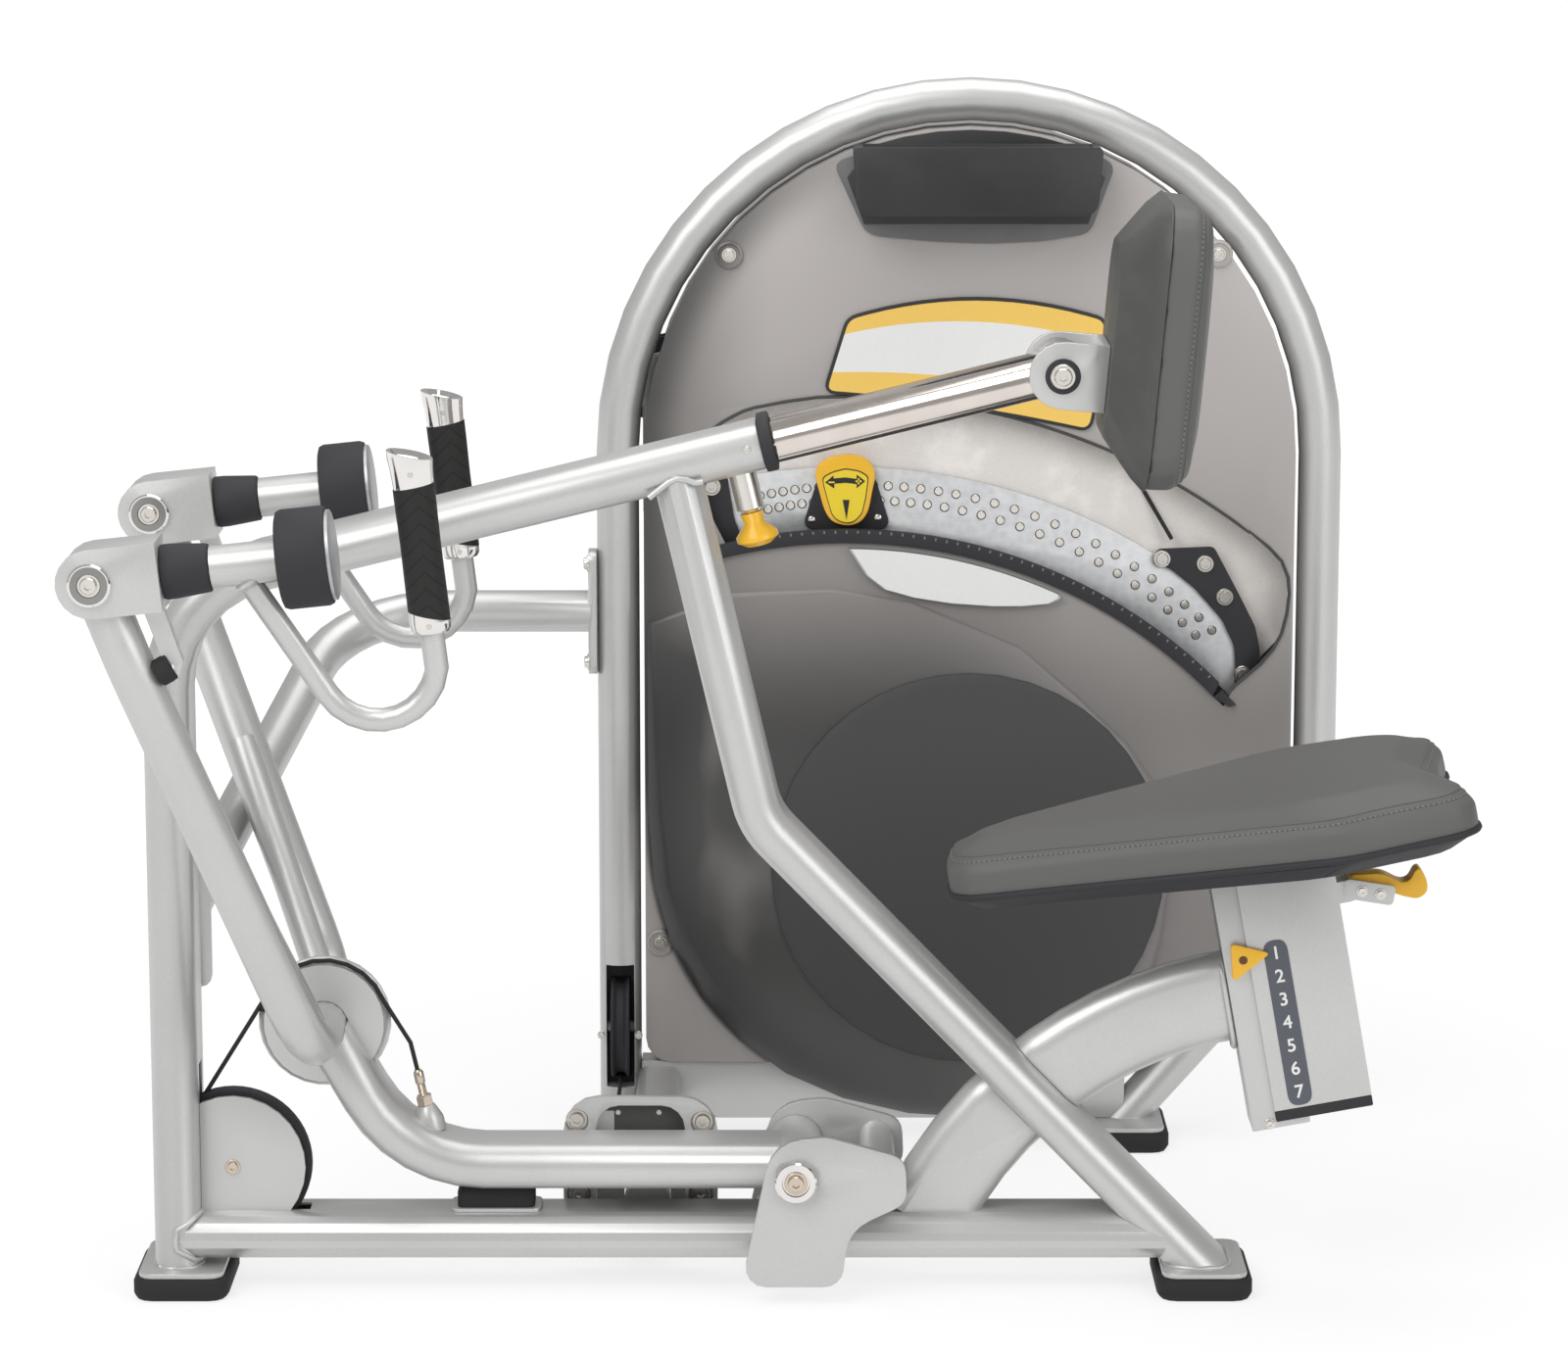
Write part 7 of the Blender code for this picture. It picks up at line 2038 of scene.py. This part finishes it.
        self.fit(piece, palette.bright, self.body_of("selector"), "steel_plate")


@dataclass
class Drive(Assembly):
    """Pulleys and cables.

    The two runs that change length are made straight between the frame and the body that pulls them, as they
    lie at rest.
    """

    rope_radius: float = 0.0025
    guide_share: float = 0.78
    guide_lap: float = 21.8

    def build(self) -> None:
        """Dress the drive."""
        palette = self.palette
        for node in ("front_pulley", "base_pulley", "leg_pulley", "upper_pulley", "drop_pulley"):
            self.dress(node, palette.black, 0.0008)
        for node in ("cable_arm", "cable_main"):
            self.dress(node, palette.rubber, 0.0, 60.0)
        foot, head = self.ends("cable_front")
        self._run("cable_front", foot, head, "row_arm", self.guide_share)
        self._guide_lap(head)
        foot, head = self.ends("cable_drop")
        self._run("cable_drop", head, foot, "weight_arm", 1.0)
        at, near = self.layout.at, Axis.NEAR.vector
        seats = [(at(x, 0.5765, 0.1355), near, 0.005) for x in (-0.222, -0.177)]
        self.bolts("leg_pulley_bolts", "frame", seats)
        self._slot_linings()
        profile = [(0.07, -0.008), (0.0845, -0.008), (0.086, -0.006), (0.086, 0.006), (0.0845, 0.008),
                   (0.07, 0.008)]
        rim = Bench.lathe("front_pulley_rim", profile, at(FRONT_PULLEY[0], MIDDLE, FRONT_PULLEY[1]), near, 56)
        self.fit(rim, palette.black, "frame", "black_plastic")

    def _run(self, node: str, held: Vector, pulled: Vector, body: str, share: float) -> None:
        """Make a straight cable run between the frame and a moving body, as they lie at rest.

        Args:
            node: The run's CAD node.
            held: Its end on the frame.
            pulled: Its end on the moving body.
            body: That body.
            share: Not used.
        """
        way, tip, wide = pulled - held, 0.0007, self.rope_radius
        profile = [(wide - tip, 0.0), (wide, tip), (wide, way.length - tip), (wide - tip, way.length)]
        piece = Bench.lathe(node + "_look", profile, held, way, 16)
        self.coat(piece, self.palette.rubber, self.slot_of(node))
        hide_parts(node)
        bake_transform(piece)
        LOG.info("%s from frame to %s, %d faces", piece.name, body, len(piece.data.polygons))

    def _guide_lap(self, head: Vector) -> None:
        """Lay the cable on in the guide's groove, where the run lies against it at full swing.

        Args:
            head: Where the run meets the guide at rest.
        """
        low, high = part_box("cable_guide")
        centre = (Vector(low) + Vector(high)) / 2
        arm = head - centre
        turns = [-math.radians(self.guide_lap * step / 8) for step in range(9)]
        lap = [centre + Matrix.Rotation(turn, 3, "Y") @ arm for turn in turns]
        self.fit(Bench.wires("guide_lap", [lap], self.rope_radius, False, 4), self.palette.rubber, "row_arm",
                 self.slot_of("cable_arm"))

    def _slot_linings(self) -> None:
        """Fill the leg's pulley slot with black beside, above and below the pulley: painted shade inside the
        slot.
        """
        place = self.layout.side(0.615)
        # Painted shade: black blocks and a backing where the slot shows dark.
        infills = [Bench.plate("lining", Shapes.box(*strip), 0.012, place) for strip in (
            (-0.216, 0.07, -0.2106, 0.222), (-0.1874, 0.07, -0.182, 0.222),
            (-0.2106, 0.2032, -0.1874, 0.222), (-0.2106, 0.07, -0.1874, 0.0775))]
        backing = Shapes.box(-0.216, 0.07, -0.182, 0.222)
        infills.append(Bench.plate("lining", backing, 0.002, self.layout.side(0.6155)))
        self.fit(Bench.join("slot_linings", infills), self.palette.black, "frame", "black_plastic")


def main() -> None:
    """Build every sub-assembly in order and report the pieces."""
    logging.basicConfig(level=logging.INFO, format="%(name)s: %(message)s")
    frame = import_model()
    pivot = next(joint["pos_m"] for joint in frame["joints"] if joint["name"] == "row_arm_swing")
    kit = frame, Layout(Vector(pivot) - Vector((PIVOT[0], MIDDLE, PIVOT[1]))), Palette()
    for assembly in (Studio(*kit), MainFrame(*kit), RowArm(*kit), Handle(*kit, "near"), Handle(*kit, "far"),
                     ChestSupport(*kit), Seat(*kit), Tower(*kit), WeightSystem(*kit), Drive(*kit)):
        assembly.build()


if __name__ == "__main__":
    main()
